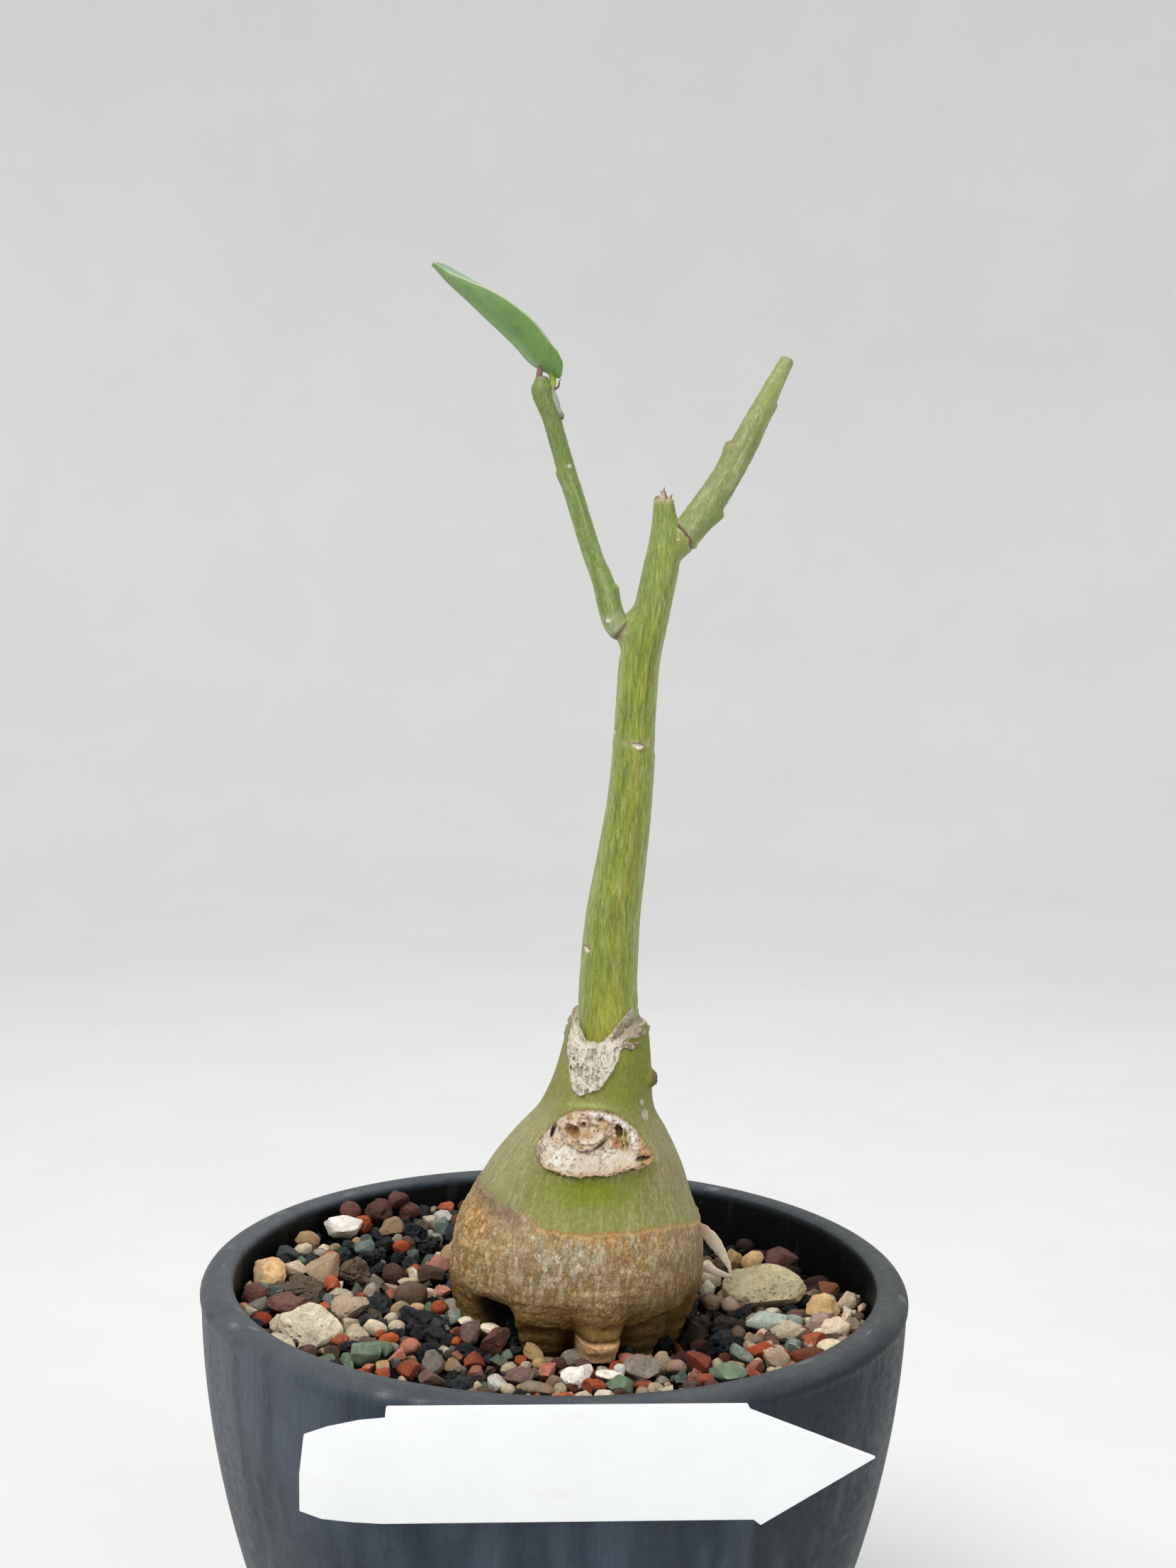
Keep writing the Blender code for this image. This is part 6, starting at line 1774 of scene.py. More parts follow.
# How each form of stone is cut: flat cuts, nearest and farthest cut, lumps, grain
STONE_FORMS = {
    "pebble": (4, 0.82, 0.98, 0.16, 0.02),
    "lump": (13, 0.50, 0.84, 0.20, 0.06),
    "block": (12, 0.40, 0.72, 0.06, 0.035),
    "rough": (10, 0.52, 0.86, 0.30, 0.12),
    "lava": (8, 0.56, 0.90, 0.42, 0.26),
    "pumice": (11, 0.66, 0.88, 0.10, 0.04),
}

# Pits of a form of stone: their spacing, widest reach, narrowest reach, depth
STONE_PITS = {
    "lava": (0.36, 0.5, 0.2, 0.26),
    "rough": (0.30, 0.30, 0.12, 0.10),
    "pumice": (0.125, 0.42, 0.16, 0.05),
}
CRISP_EDGE_DEGREES = 30

# Stones that the eye picks out: x, y, length, thickness, rise above the bed, turn, tone, form
MARKED_STONES = (
    (-35.0, -14.0, 9.2, 6.8, 0.6, 8, "bone", "rough"),
    (-43.3, 5.5, 6.0, 4.6, 0.8, 35, "gold", "rough"),
    (-44.5, -2.0, 3.9, 3.9, 0.2, 0, "maroon", "pebble"),
    (-39.0, -6.0, 7.0, 4.0, 0.2, -15, "maroon", "rough"),
    (-38.0, 2.0, 7.0, 3.2, 0.4, -10, "lava", "lava"),
    (-42.6, -9.5, 3.0, 1.8, 0.0, 20, "red", "pebble"),
    (-35.8, 8.0, 5.4, 4.6, 0.6, 40, "beige", "block"),
    (-34.8, 25.5, 6.6, 3.4, 1.6, -20, "white", "lump"),
    (-39.5, 20.8, 3.9, 2.6, 1.2, 25, "tan", "pebble"),
    (-33.6, 29.0, 3.4, 3.4, 3.0, 0, "maroon", "pebble"),
    (-31.5, 27.5, 4.2, 3.6, 1.2, 60, "orange", "rough"),
    (-29.3, 33.2, 4.8, 3.4, 1.6, 10, "maroon", "rough"),
    (-26.6, 35.4, 3.6, 3.0, 3.0, 30, "maroon", "lump"),
    (-24.6, 35.6, 3.6, 3.0, 1.2, -20, "maroon", "pebble"),
    (-27.0, 28.6, 4.4, 2.9, 0.6, -15, "tan", "lump"),
    (-23.0, 28.5, 4.2, 3.2, 0.2, 30, "black", "lava"),
    (-20.3, 24.0, 4.4, 3.2, 0.2, -25, "black", "lava"),
    (-18.8, 31.0, 3.6, 3.2, 0.4, 70, "teal", "block"),
    (-42.0, 15.5, 3.6, 2.8, 0.2, 20, "slate", "block"),
    (-39.8, 17.0, 3.0, 2.0, 0.8, 15, "cream", "pebble"),
    (-40.2, 9.8, 3.6, 2.4, 0.2, 5, "cream", "lump"),
    (-34.0, 17.5, 3.2, 2.4, 0.0, 40, "slate", "lava"),
    (-30.6, 21.0, 3.4, 2.2, 0.2, -10, "teal", "block"),
    (-28.4, 17.5, 3.6, 3.0, 0.0, 60, "black", "lava"),
    (-24.8, 22.0, 2.8, 2.4, 0.2, 0, "orange", "pebble"),
    (-31.0, 9.0, 5.6, 4.8, 0.2, -30, "lava", "lava"),
    (-32.2, 1.0, 3.8, 2.4, 0.2, 5, "cream", "rough"),
    (-30.0, -6.0, 5.8, 4.4, 0.4, 20, "beige", "rough"),
    (-21.6, 1.0, 5.2, 4.2, 0.6, -5, "brown", "pebble"),
    (-19.3, 10.0, 4.4, 3.4, 0.4, 20, "brown", "lump"),
    (-24.6, 5.0, 4.2, 1.8, 0.2, 10, "pink", "block"),
    (-19.5, -7.0, 6.6, 3.8, 0.0, 5, "black", "lava"),
    (-26.0, -2.5, 5.0, 3.4, -0.2, -25, "black", "lava"),
    (-25.8, -11.5, 3.5, 2.6, 0.2, 0, "cream", "pebble"),
    (-23.6, -15.5, 3.2, 2.4, 0.2, 10, "orange", "pebble"),
    (-28.4, -14.2, 3.6, 2.8, 0.2, -15, "cream", "lump"),
    (-31.0, -21.5, 3.0, 2.6, 0.0, 60, "brown", "lump"),
    (-26.4, -22.2, 4.2, 3.8, 0.2, 15, "green", "block"),
    (-21.8, -21.8, 3.4, 2.6, 0.0, 35, "coral", "block"),
    (-19.8, -27.0, 3.4, 3.2, 0.2, 30, "orange", "block"),
    (-16.2, -30.0, 4.4, 2.8, 0.0, 5, "plum", "lump"),
    (-14.3, -10.0, 2.2, 2.2, 2.2, 20, "mint", "block"),
    (-12.3, -12.9, 2.7, 1.2, 2.8, 35, "bone", "lump"),
    (-13.9, -13.2, 2.2, 1.6, 1.6, 15, "coral", "block"),
    (-11.6, -15.0, 3.8, 3.4, 1.2, 50, "plum", "lump"),
    (-8.2, -18.2, 4.2, 3.9, 1.1, 10, "maroon", "lump"),
    (-8.9, -16.6, 2.9, 1.0, 3.1, 5, "bone", "pebble"),
    (-6.0, -13.4, 2.2, 3.4, 1.0, 80, "black", "lava"),
    (-4.2, -14.9, 2.2, 3.4, 1.0, 70, "plum", "pebble"),
    (-2.6, -21.2, 3.2, 2.0, 0.9, -30, "gold", "lump"),
    (-1.8, -23.9, 2.0, 1.7, 0.6, 10, "gold", "pebble"),
    (1.0, -23.5, 2.3, 2.0, 0.3, 0, "maroon", "pebble"),
    (-0.6, -27.6, 3.5, 3.0, 0.45, 60, "coral", "block"),
    (3.5, -28.8, 4.4, 3.5, 0.65, 10, "white", "rough"),
    (-4.0, -28.8, 4.8, 3.1, 0.2, 15, "plum", "lump"),
    (-2.0, -32.1, 5.4, 2.0, 0.35, 0, "beige", "pebble"),
    (1.3, -32.2, 1.8, 1.8, 0.4, 0, "cream", "pebble"),
    (2.9, -31.4, 1.8, 1.5, 0.45, 10, "rust", "lump"),
    (5.9, -31.0, 3.4, 2.5, 0.35, 0, "orange", "lump"),
    (9.6, -30.9, 4.0, 2.8, 0.4, 0, "green", "block"),
    (8.1, -28.9, 4.3, 1.1, 1.5, 25, "white", "pebble"),
    (9.5, -28.0, 1.7, 1.7, 1.7, 0, "white", "pebble"),
    (12.4, -27.0, 5.2, 4.0, 0.8, 20, "grey", "rough"),
    (12.8, -30.3, 3.0, 1.8, 0.3, 15, "brick", "block"),
    (13.9, -30.9, 3.1, 1.2, 0.4, 0, "cream", "pebble"),
    (17.8, -27.5, 2.2, 1.8, 0.5, 30, "teal", "block"),
    (20.2, -27.9, 3.1, 2.7, 0.5, 45, "coral", "rough"),
    (17.4, -23.9, 3.1, 2.0, 0.6, 15, "pink", "pebble"),
    (20.6, -22.8, 4.0, 3.0, 0.85, -30, "red", "block"),
    (-12.2, -19.0, 3.9, 1.6, 0.7, 5, "black", "lava"),
    (-10.9, -23.2, 3.2, 2.5, 0.5, 20, "orange", "block"),
    (-7.4, -23.4, 2.8, 1.7, 0.6, 15, "green", "block"),
    (-7.4, -31.2, 2.9, 1.9, 0.45, -15, "white", "lump"),
    (-12.2, -30.0, 3.0, 2.4, 0.4, 10, "slate", "lava"),
    (24.8, -26.0, 5.4, 2.4, 0.0, 8, "green", "block"),
    (24.6, -14.0, 4.8, 4.4, -0.2, 40, "black", "lava"),
    (26.8, -19.0, 4.4, 3.0, 0.2, 15, "mint", "lump"),
    (31.8, -20.5, 4.2, 3.6, 0.4, -20, "beige", "rough"),
    (28.4, -23.0, 3.4, 2.4, 0.2, 30, "coral", "block"),
    (36.3, -18.3, 5.4, 2.0, 0.4, 8, "rust", "pebble"),
    (37.9, -12.6, 3.6, 2.6, 0.4, 45, "orange", "block"),
    (34.3, -10.0, 5.2, 3.2, 0.4, -8, "cream", "rough"),
    (31.2, -6.6, 6.2, 2.8, 0.6, 8, "mint", "block"),
    (41.0, -9.0, 4.6, 3.2, 0.4, 15, "cream", "rough"),
    (43.4, -3.4, 3.2, 3.0, 0.4, 60, "cream", "lump"),
    (39.0, -4.6, 4.2, 2.6, 0.4, 0, "pink", "rough"),
    (40.2, 0.8, 5.2, 2.8, 0.8, -10, "gold", "lump"),
    (41.8, 7.5, 3.4, 3.0, 0.4, 40, "rust", "lump"),
    (31.6, 6.0, 12.4, 6.6, 0.9, 186, "pumice", "pumice"),
    (35.4, 20.0, 5.4, 3.4, 1.2, 10, "maroon", "lump"),
    (31.0, 19.0, 3.8, 3.4, 1.0, 20, "gold", "pebble"),
    (28.2, 20.5, 3.8, 3.0, 0.8, 60, "gold", "lump"),
    (23.9, 3.2, 3.4, 2.4, 0.1, 30, "tan", "pebble"),
    (26.6, 2.0, 3.2, 2.2, 0.2, 30, "pink", "pebble"),
)

# Smaller stones between them: x, y, length, tone, form
SMALL_STONES = (
    (-38.7, 20.5, 2.0, "maroon", "lump"), (-36.8, 19.5, 2.0, "cream", "lump"),
    (-30.5, 24.0, 2.2, "teal", "block"), (-27.4, 17.0, 2.2, "pink", "lump"),
    (-38.0, 14.5, 2.6, "slate", "block"), (-22.0, 12.0, 3.2, "bone", "block"),
    (-24.8, 3.0, 2.6, "coral", "block"), (-20.5, -2.5, 2.8, "tan", "pebble"),
    (-17.2, 5.0, 2.8, "coral", "rough"), (-17.1, -2.0, 3.0, "orange", "pebble"),
    (-18.5, -1.0, 2.4, "green", "block"), (-14.9, -5.5, 2.2, "tan", "block"),
    (-34.5, -5.0, 2.6, "orange", "block"), (-33.7, -1.5, 2.4, "teal", "block"),
    (-24.0, -7.0, 2.4, "cream", "pebble"), (-22.8, -10.0, 2.6, "cream", "pebble"),
    (-30.2, -17.0, 2.8, "orange", "lump"), (-23.4, -26.0, 3.0, "tan", "lump"),
    (-20.2, -18.0, 3.2, "coral", "pebble"), (-13.8, -17.0, 1.5, "orange", "pebble"),
    (-17.3, -21.0, 3.6, "black", "lava"), (-13.4, -25.4, 2.0, "cream", "lump"),
    (-13.4, -21.6, 1.7, "coral", "block"), (-5.2, -19.1, 2.0, "slate", "block"),
    (-8.6, -25.2, 1.5, "brown", "lump"), (-6.0, -25.2, 2.3, "cream", "lump"),
    (-4.4, -22.2, 1.9, "brick", "lump"), (-3.6, -24.1, 1.9, "cream", "pebble"),
    (17.2, -20.0, 2.0, "maroon", "lump"), (16.0, -29.8, 1.4, "tan", "lump"),
    (15.3, -28.2, 2.2, "grey", "lump"), (-10.0, -31.6, 2.2, "cream", "lump"),
    (-5.8, -32.6, 2.2, "cream", "pebble"), (-10.6, -26.5, 2.4, "coral", "block"),
    (-9.8, -28.2, 2.3, "plum", "lump"), (16.9, -27.9, 1.3, "slate", "block"),
    (20.1, -26.5, 2.4, "pink", "lump"), (21.0, -28.0, 3.0, "orange", "block"),
    (21.9, -16.5, 2.6, "red", "block"), (27.0, -8.5, 3.0, "brown", "pebble"),
    (29.5, -11.8, 2.8, "beige", "lump"), (30.9, -14.8, 2.6, "tan", "pebble"),
    (34.8, -15.5, 2.4, "mint", "block"), (35.8, -2.5, 2.8, "maroon", "pebble"),
    (26.5, 23.0, 3.0, "tan", "lump"), (28.6, -25.5, 2.6, "brick", "block"),
    (-21.0, 34.0, 3.0, "cream", "lump"), (-19.0, 36.0, 3.2, "white", "lump"),
    (24.0, 13.0, 4.0, "cream", "block"), (23.5, 8.0, 3.8, "bone", "block"),
    (18.1, -10.8, 1.9, "red", "block"),
)

# The stones between and below those, and their sizes
FILL_SEED = 14
FILL_STONES = 760
UNDER_STONES = 560
FILL_SMALLEST = 1.5
FILL_SPREAD = 2.8
FILL_SKEW = 1.7
UNDER_SIZES = (1.6, 2.8)

# Stones longer than these vary less in width and tone, and lie nearly level
EVEN_STONES = 5.9
LEVEL_STONES = 6.0

# How dark the stones are that lie this low, and the smaller ones in front of this y
SUNK_RISE = -0.65
SUNK_SHADE = 0.3
FRONT_STONES = -17.0
SMALLER_STONES = 3.2
FRONT_SHADE = 0.78
FRONT_SHARE = 0.75

# Chance of each tone at the left and back, at the right, and at the front
LEFT_MIX = (
    ("black", 7), ("lava", 4), ("slate", 4), ("maroon", 4), ("cream", 3), ("beige", 3), ("tan", 2),
    ("teal", 2), ("orange", 2), ("coral", 2), ("green", 1), ("grey", 2), ("brown", 2), ("bone", 1),
)
RIGHT_MIX = (
    ("cream", 5), ("beige", 6), ("pink", 4), ("tan", 4), ("grey", 2), ("brown", 3), ("rust", 1), ("coral", 2),
    ("mint", 1), ("bone", 2), ("maroon", 2), ("black", 2),
)
FRONT_MIX = (
    ("cream", 4), ("beige", 3), ("orange", 3), ("coral", 3), ("brick", 2), ("plum", 3), ("maroon", 2),
    ("green", 2), ("tan", 3), ("black", 2), ("grey", 2), ("bone", 2), ("slate", 2),
)
SHADE_MIX = (("black", 7), ("lava", 3), ("brown", 1), ("maroon", 2), ("rust", 1), ("slate", 3))
FORM_OF_TONE = {
    "black": "lava", "lava": "lava", "maroon": "pebble", "slate": "lava", "teal": "block", "green": "block",
}
FILL_FORMS = ("lump", "block", "lump", "block", "pebble", "rough")
FILL_TRIES = 60
FIRST_STONE_SEED = 100
LARGE_STONE = 7.5


def bed_rise(x, y):
    towards = max(0.0, math.cos(math.atan2(y, x) - math.radians(MOUND_ANGLE)))
    out = min(1.0, max(0.0, (math.hypot(x, y) - MOUND_FROM) / (MOUND_TO - MOUND_FROM)))
    mound = MOUND_RISE * towards * out * out * (3.0 - 2.0 * out)
    return mound + BED_UNEVENNESS * noise.noise(Vector((x, y, 0.0)) * UNEVENNESS_SCALE)


def ball(level):
    work = bmesh.new()
    bmesh.ops.create_icosphere(work, subdivisions=level, radius=1.0)
    points = np.array([v.co[:] for v in work.verts])
    faces = np.array([[v.index for v in f.verts] for f in work.faces])
    work.free()
    return points, faces


def stone_points(rng, points, form, seed):
    cuts, nearest, farthest, lumps, grain = STONE_FORMS[form]
    shaped = points.copy()
    for _ in range(cuts):
        way = np.array([rng.gauss(0, 1) for _ in range(3)])
        way /= np.linalg.norm(way)
        past = shaped @ way - rng.uniform(nearest, farthest)
        shaped -= np.outer(np.maximum(past, 0.0) * 0.96, way)
    moved = shaped + seed * 7.3
    shaped *= 1.0 + (lumps * clouds(moved, 0.9, seed, 2) + grain * clouds(moved, 0.3, seed + 5, 3))[:, None]
    pitted = np.zeros(len(points))
    if form in STONE_PITS:
        spacing, widest, narrowest, depth = STONE_PITS[form]
        pitted = smooth_step(widest, narrowest, nearest_seed(moved, spacing, seed + 9))
        pitted = pitted * (0.35 + 0.65 * (clouds(moved, 0.5, seed + 12, 1) > -0.1))
        shaped *= 1.0 - (depth * pitted)[:, None]
    low, high = shaped.min(axis=0), shaped.max(axis=0)
    return (shaped - (low + high) / 2) / (high - low), pitted


def turned_by(points, tilt_x, tilt_y, turn):
    tilt = Matrix.Rotation(tilt_y, 3, "Y") @ Matrix.Rotation(tilt_x, 3, "X")
    return points @ np.array(Matrix.Rotation(turn, 3, "Z") @ tilt).T


HEAP_OF_TONE = {
    "white": "pale", "cream": "pale", "bone": "pale", "beige": "pale", "pink": "pale", "pumice": "pale",
    "tan": "warm", "gold": "warm", "brown": "warm", "orange": "warm", "coral": "warm", "brick": "warm",
    "red": "warm", "rust": "warm", "maroon": "dark", "plum": "dark", "green": "cool", "mint": "cool",
    "teal": "cool", "grey": "cool", "slate": "dark", "lava": "dark", "black": "dark",
}


class StoneHeap:
    """Stones of one tone family, kept together as one piece."""

    def __init__(self):
        self.points, self.faces, self.tints, self.count = [], [], [], 0

    def add(self, points, faces, tints):
        self.points.append(points)
        self.faces.append(faces + self.count)
        self.tints.append(tints)
        self.count += len(points)


class StoneBed:
    """The stones laid so far, heaped by tone, with the places taken and the draws that shape the next."""

    def __init__(self):
        self.rng = random.Random(FILL_SEED)
        self.shapes = {level: ball(level) for level in (2, 3, 4, 5)}
        self.heaps = {name: StoneHeap() for name in ("pale", "warm", "cool", "dark")}
        self.seed = FIRST_STONE_SEED
        self.taken = []

    def lay(self, x, y, length, thickness, rise, turn, colour, form, level):
        self.seed += 1
        rng, seed = self.rng, self.seed
        even = length > EVEN_STONES
        width = length * (rng.uniform(0.66, 0.9) if even else rng.uniform(0.55, 0.92))
        points, faces = self.shapes[level]
        shaped, pitted = stone_points(rng, points, form, seed)
        grain = clouds(shaped + seed * 3.1, 0.2, seed + 2, 3)
        patch = clouds(shaped + seed * 1.7, 0.5, seed + 6, 2)
        placed = shaped * (length * 1.02, width * 1.02, thickness * 1.05)
        lean = 0.12 if length > LEVEL_STONES else 0.4
        placed = turned_by(placed, rng.uniform(-lean, lean), rng.uniform(-lean, lean), math.radians(turn))
        height = POT_HEIGHT - BED_DEPTH + bed_rise(x, y) + STONE_CENTRE_RISE * thickness + rise
        placed = placed + (x, y, height)
        own = STONE_TONES[colour] * (rng.uniform(0.85, 1.05) if even else rng.uniform(0.5, 1.08))
        own = own + (np.mean(own) - own) * rng.uniform(-0.08, 0.15)
        if rise < SUNK_RISE:
            own = own * SUNK_SHADE
        elif y < FRONT_STONES and length < SMALLER_STONES:
            own = own * FRONT_SHADE
        tints = np.tile(own, (len(placed), 1)) * (1.0 + 0.22 * grain)[:, None]
        stain = tone(156, 116, 72) if HEAP_OF_TONE[colour] == "pale" else 0.5 * own
        tints = layered(
            tints,
            (stain, 0.35 * smooth_step(0.15, 0.6, patch)),
            (0.3 * own, 0.65 * pitted),
        )
        self.heaps[HEAP_OF_TONE[colour]].add(placed, faces, tints)


def outside_caudex(x, y, reach):
    for z in (-BED_DEPTH, -BED_DEPTH + 2.5):
        dx = x - float(curve(CAUDEX_MIDDLE, z))
        dy = y - CAUDEX_Y
        angle = math.degrees(math.atan2(dx, -dy))
        if math.hypot(dx, dy) < float(caudex_radius(np.array([angle]), np.array([z]))[0]) + reach:
            return False
    return True


# Hollows of the gravel that lie in shade: x, y, half width, how much lower the stones lie in them
SHADY_HOLLOWS = (
    (19.8, -12.0, 7.4, 1.9), (23.6, -3.4, 5.0, 1.7), (38.0, 25.0, 12.0, 2.8), (22.0, 33.0, 10.0, 2.8),
    (42.5, 14.5, 6.5, 2.4),
    (-17.5, -16.0, 2.6, 0.6), (-19.0, 2.0, 3.0, 0.6), (-27.0, 18.0, 4.5, 0.8), (-10.5, -22.5, 2.2, 0.2),
)
# Heaps of loose stones that stand up against the root lobes: x, y, half width, rise
SMALL_MOUNDS = ((-11.0, -18.5, 4.5, 1.1), (-15.0, -11.5, 4.2, 1.7))


def hollow_at(x, y):
    """How deep in shade a place is, from 0 to 1, and how far the stones there lie below the bed's level."""
    shade, lower = 0.0, 0.0
    for at_x, at_y, half_width, drop in SHADY_HOLLOWS:
        near = math.exp(-((math.hypot(x - at_x, y - at_y) / half_width) ** 4))
        shade = max(shade, near)
        lower = max(lower, drop * near)
    for at_x, at_y, half_width, rise in SMALL_MOUNDS:
        lower -= rise * math.exp(-((math.hypot(x - at_x, y - at_y) / half_width) ** 2))
    return shade, lower


def pick(rng, mix):
    return rng.choices([name for name, _ in mix], [weight for _, weight in mix])[0]


def tone_at(rng, x, y, shade=0.0):
    if rng.random() < shade:
        return pick(rng, SHADE_MIX)
    if y < FRONT_STONES and rng.random() < FRONT_SHARE:
        return pick(rng, FRONT_MIX)
    return pick(rng, LEFT_MIX if x < rng.uniform(-8, 14) else RIGHT_MIX)


def lay_known_stones(bed):
    """Lay the stones whose own places are given."""
    for x, y, length, thickness, rise, turn, colour, form in MARKED_STONES:
        bed.lay(x, y, length, thickness, rise, turn, colour, form, 5 if length > LARGE_STONE else 4)
        bed.taken.append((x, y, 0.92 * length))
    for x, y, length, colour, form in SMALL_STONES:
        rise = 0.25 - hollow_at(x, y)[1]
        bed.lay(x, y, length, 0.75 * length, rise, bed.rng.uniform(0, 360), colour, form, 4)
        bed.taken.append((x, y, 0.9 * length))


def drawn_place(rng, reach):
    """A place inside a circle, even all over it."""
    out = reach * math.sqrt(rng.random())
    at = rng.uniform(0, 2 * math.pi)
    return out * math.cos(at), out * math.sin(at)


def fill_bed(bed, wall):
    """Lay loose stones between the others, larger ones first."""
    rng = bed.rng
    sizes = [FILL_SMALLEST + FILL_SPREAD * rng.random() ** FILL_SKEW for _ in range(FILL_STONES)]
    for size in sorted(sizes, reverse=True):
        places = np.array(bed.taken)
        for _ in range(FILL_TRIES):
            x, y = drawn_place(rng, wall - 0.55 * size)
            apart = np.hypot(places[:, 0] - x, places[:, 1] - y) - 0.83 * (size + places[:, 2]) / 2
            if apart.min() > 0 and outside_caudex(x, y, 0.3 * size):
                break
        else:
            continue
        shade, lower = hollow_at(x, y)
        colour = tone_at(rng, x, y, shade)
        form = FORM_OF_TONE.get(colour, rng.choice(FILL_FORMS))
        lift = rng.uniform(-0.5, 0.45) - lower
        level = 3 if y < 26 and size > 1.8 else 2
        thickness = size * rng.uniform(0.6, 0.85)
        bed.lay(x, y, size, thickness, lift, rng.uniform(0, 360), colour, form, level)
        bed.taken.append((x, y, size))


def lay_under_stones(bed, wall):
    """Lay stones that show in the gaps between those above them."""
    rng = bed.rng
    for _ in range(UNDER_STONES):
        size = rng.uniform(*UNDER_SIZES)
        x, y = drawn_place(rng, wall - 0.6 * size)
        if not outside_caudex(x, y, 0.1):
            bed.seed += 1
            continue
        shade, lower = hollow_at(x, y)
        colour = tone_at(rng, x, y, max(shade, 0.35))
        form = FORM_OF_TONE.get(colour, "lump")
        drop = rng.uniform(-1.9, -1.0) - lower
        bed.lay(x, y, size, 0.7 * size, drop, rng.uniform(0, 360), colour, form, 2)


def stone_finishes():
    return {
        "pale": patterned(
            "pale_stone_finish", 0.85, shades=((0.3, 1, 0.14), (1.1, 1, 0.12)),
            stains=(
                (1.6, 1, 0.55, 0.75, tone(176, 138, 92), 0.45),
                (0.28, 1, 0.68, 0.74, tone(96, 80, 64), 0.6),
            ),
            bumps=((0.35, 1, 0.16, "noise"), (0.16, 1, 0.07, "noise")), gloss=0.25,
        ),
        "warm": patterned(
            "warm_stone_finish", 0.82, shades=((0.3, 1, 0.14), (1.0, 1, 0.12)),
            stains=((1.1, 1, 0.60, 0.76, tone(110, 62, 44), 0.5),),
            bumps=((0.3, 1, 0.08, "noise"),), gloss=0.25,
        ),
        "cool": patterned(
            "cool_stone_finish", 0.75, shades=((0.3, 1, 0.12), (1.2, 1, 0.14)),
            stains=((0.9, (3, 1, 1), 0.60, 0.74, tone(186, 192, 180), 0.4),),
            bumps=((0.3, 1, 0.07, "noise"),), gloss=0.3,
        ),
        "dark": patterned(
            "dark_stone_finish", 0.8, shades=((0.25, 1, 0.2), (1.0, 1, 0.14)),
            stains=((0.35, 1, 0.66, 0.76, tone(150, 134, 128), 0.35),),
            bumps=((0.25, 1, 0.12, "noise"), (0.5, 1, 0.10, "cells")), gloss=0.28,
        ),
    }


def make_gravel():
    bed = StoneBed()
    wall = inside_radius(BED_DEPTH)
    lay_known_stones(bed)
    fill_bed(bed, wall)
    lay_under_stones(bed, wall)
    finishes = stone_finishes()
    for name, heap in bed.heaps.items():
        points, faces, tints = (np.vstack(held) for held in (heap.points, heap.faces, heap.tints))
        make_piece(
            f"gravel_{name}", points, faces.tolist(), finishes[name], "gravel", tints,
            sharp=CRISP_EDGE_DEGREES,
        )


# The grit, near black as painted shade between the stones, and the fill below it
GRIT_COLUMNS = 160
GRIT_RINGS = 50
GRIT_INNER_RADIUS = 9.0
GRIT_BELOW_STONES = 0.9
FILL_BOTTOM = 3.8
FILL_GAP = 0.6
FILL_DEPTHS = (55.0, 30.0, 12.0)


def make_bed():
    """The fine grit under the stones, near black as painted shade between them, and the fill down to the
    drain holes.
    """
    rings = [(inside_radius(POT_HEIGHT - FILL_BOTTOM) - FILL_GAP, FILL_BOTTOM)]
    rings += [(inside_radius(depth) - BED_GAP, POT_HEIGHT - depth) for depth in FILL_DEPTHS]
    top = POT_HEIGHT - BED_DEPTH - GRIT_BELOW_STONES
    radii = np.linspace(inside_radius(BED_DEPTH) - FILL_GAP, GRIT_INNER_RADIUS, GRIT_RINGS)
    rings += [(radius, top) for radius in radii]
    turn = 2 * np.pi * np.arange(GRIT_COLUMNS) / GRIT_COLUMNS
    points = rings_round(rings, turn)
    upper = points[:, 2] > top - 1
    for i in np.nonzero(upper)[0]:
        x, y = points[i, :2]
        points[i, 2] += bed_rise(x, y) - hollow_at(x, y)[1]
    points[:, 2] += upper * (0.35 * clouds(points, 1.6, 3) + 0.2 * clouds(points, 0.6, 6))
    points = np.vstack((points, ((0, 0, FILL_BOTTOM), (0, 0, top))))
    # Dark fines, painted near black as shade in the gaps between the stones
    tints = np.tile(tone(15, 13, 12), (len(points), 1))
    tints = blend(tints, tone(42, 34, 28), smooth_step(0.1, 0.5, clouds(points, 0.9, 8)))
    finish = patterned(
        "grit_and_shade_finish", 0.95, shades=((0.35, 1, 0.3), (0.9, 1, 0.2)),
        bumps=((0.4, 1, 0.3, "cells"),), gloss=0.15,
    )
    faces = tube_faces(points, GRIT_COLUMNS)
    make_piece("gravel_grit_and_shade", points, faces, finish, "gravel", tints)


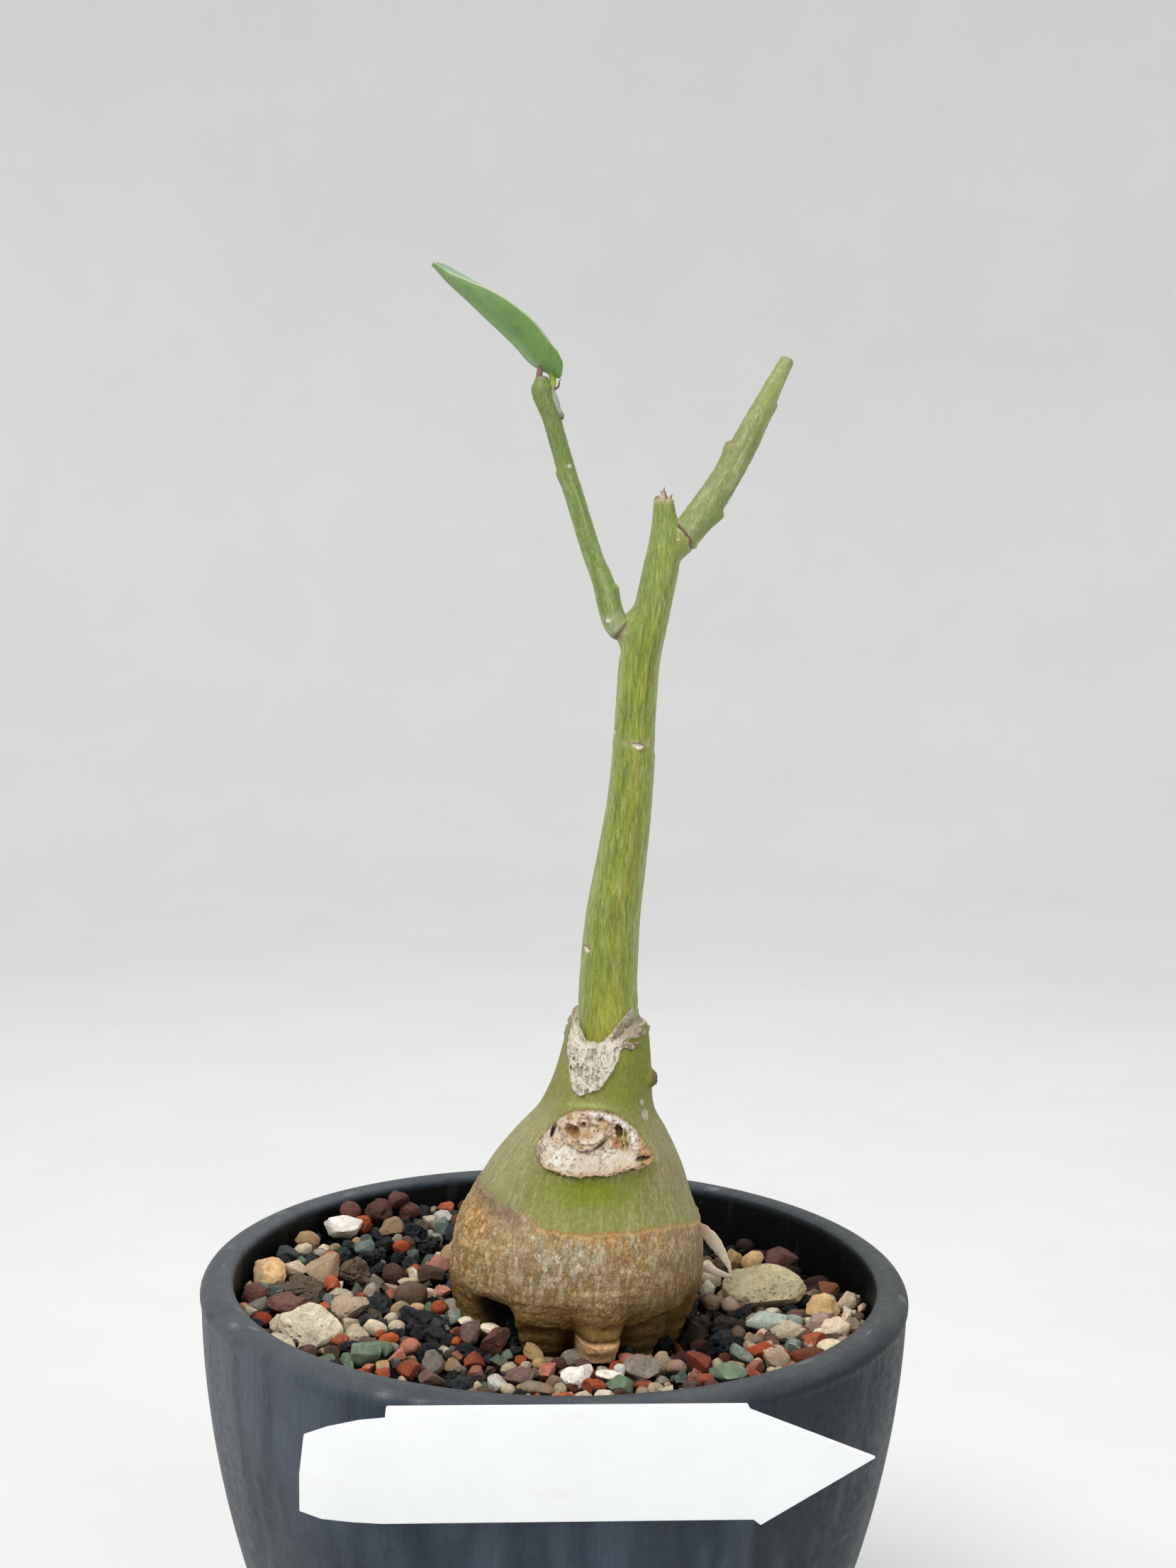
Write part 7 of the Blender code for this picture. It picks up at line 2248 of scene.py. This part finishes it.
# Studio: the floor curves up into a plain wall all round, as radius and height
FLOOR_PROFILE = (
    (300.0, 0.0), (620.0, 0.0), (720.0, 12.0), (800.0, 50.0), (860.0, 120.0), (890.0, 220.0), (900.0, 1500.0),
)
FLOOR_SIDES = 96
FLOOR_TONE = tone(235, 236, 236)
SKY_COLOUR = (1.0, 0.99, 0.975, 1.0)
SKY_STRENGTH = 0.26

# Soft lights: name, place, size, power, colour
LIGHTS = (
    ("key", (-260, -330, 720), 460, 4.7, (1.0, 0.985, 0.96)),
    ("fill", (420, -420, 420), 380, 1.0, (0.97, 0.985, 1.0)),
    ("back", (120, 420, 640), 420, 1.4, (1.0, 1.0, 1.0)),
)
LIGHTS_AIM = Vector((0, 0, 0.12))


def make_floor():
    sides = FLOOR_SIDES
    turn = 2 * np.pi * np.arange(sides) / sides
    points = np.vstack((rings_round(FLOOR_PROFILE, turn), (0.0, 0.0, 0.0)))
    faces = grid_faces(len(FLOOR_PROFILE), sides, flip=True)
    faces += [[len(points) - 1, j, (j + 1) % sides] for j in range(sides)]
    mesh = bpy.data.meshes.new("floor")
    mesh.from_pydata((points * MM).tolist(), [], faces)
    mesh.shade_smooth()
    finish = patterned("floor_finish", 0.9, colour=FLOOR_TONE, shades=((60.0, 1, 0.015),), gloss=0.1)
    mesh.materials.append(finish)
    floor = bpy.data.objects.new("floor", mesh)
    bpy.context.scene.collection.objects.link(floor)


def make_lights():
    world = bpy.data.worlds.new("world")
    bpy.context.scene.world = world
    world.use_nodes = True
    sky = world.node_tree.nodes["Background"]
    sky.inputs["Color"].default_value = SKY_COLOUR
    sky.inputs["Strength"].default_value = SKY_STRENGTH
    for name, place, size, power, colour in LIGHTS:
        light = bpy.data.lights.new(name, "AREA")
        light.shape = "SQUARE"
        light.size = size * MM
        light.energy = power
        light.color = colour
        held = bpy.data.objects.new(name, light)
        held.location = Vector(place) * MM
        aim = LIGHTS_AIM - held.location
        held.rotation_euler = aim.to_track_quat("-Z", "Y").to_euler()
        bpy.context.scene.collection.objects.link(held)
    bpy.context.scene.view_settings.view_transform = "Standard"


def main():
    make_camera()
    make_pot()
    make_label()
    make_bed()
    make_gravel()
    make_caudex()
    make_old_cut()
    make_stem()
    make_callus()
    make_left_branch()
    make_right_branch()
    make_leaf()
    make_small_growths()
    make_floor()
    make_lights()


main()
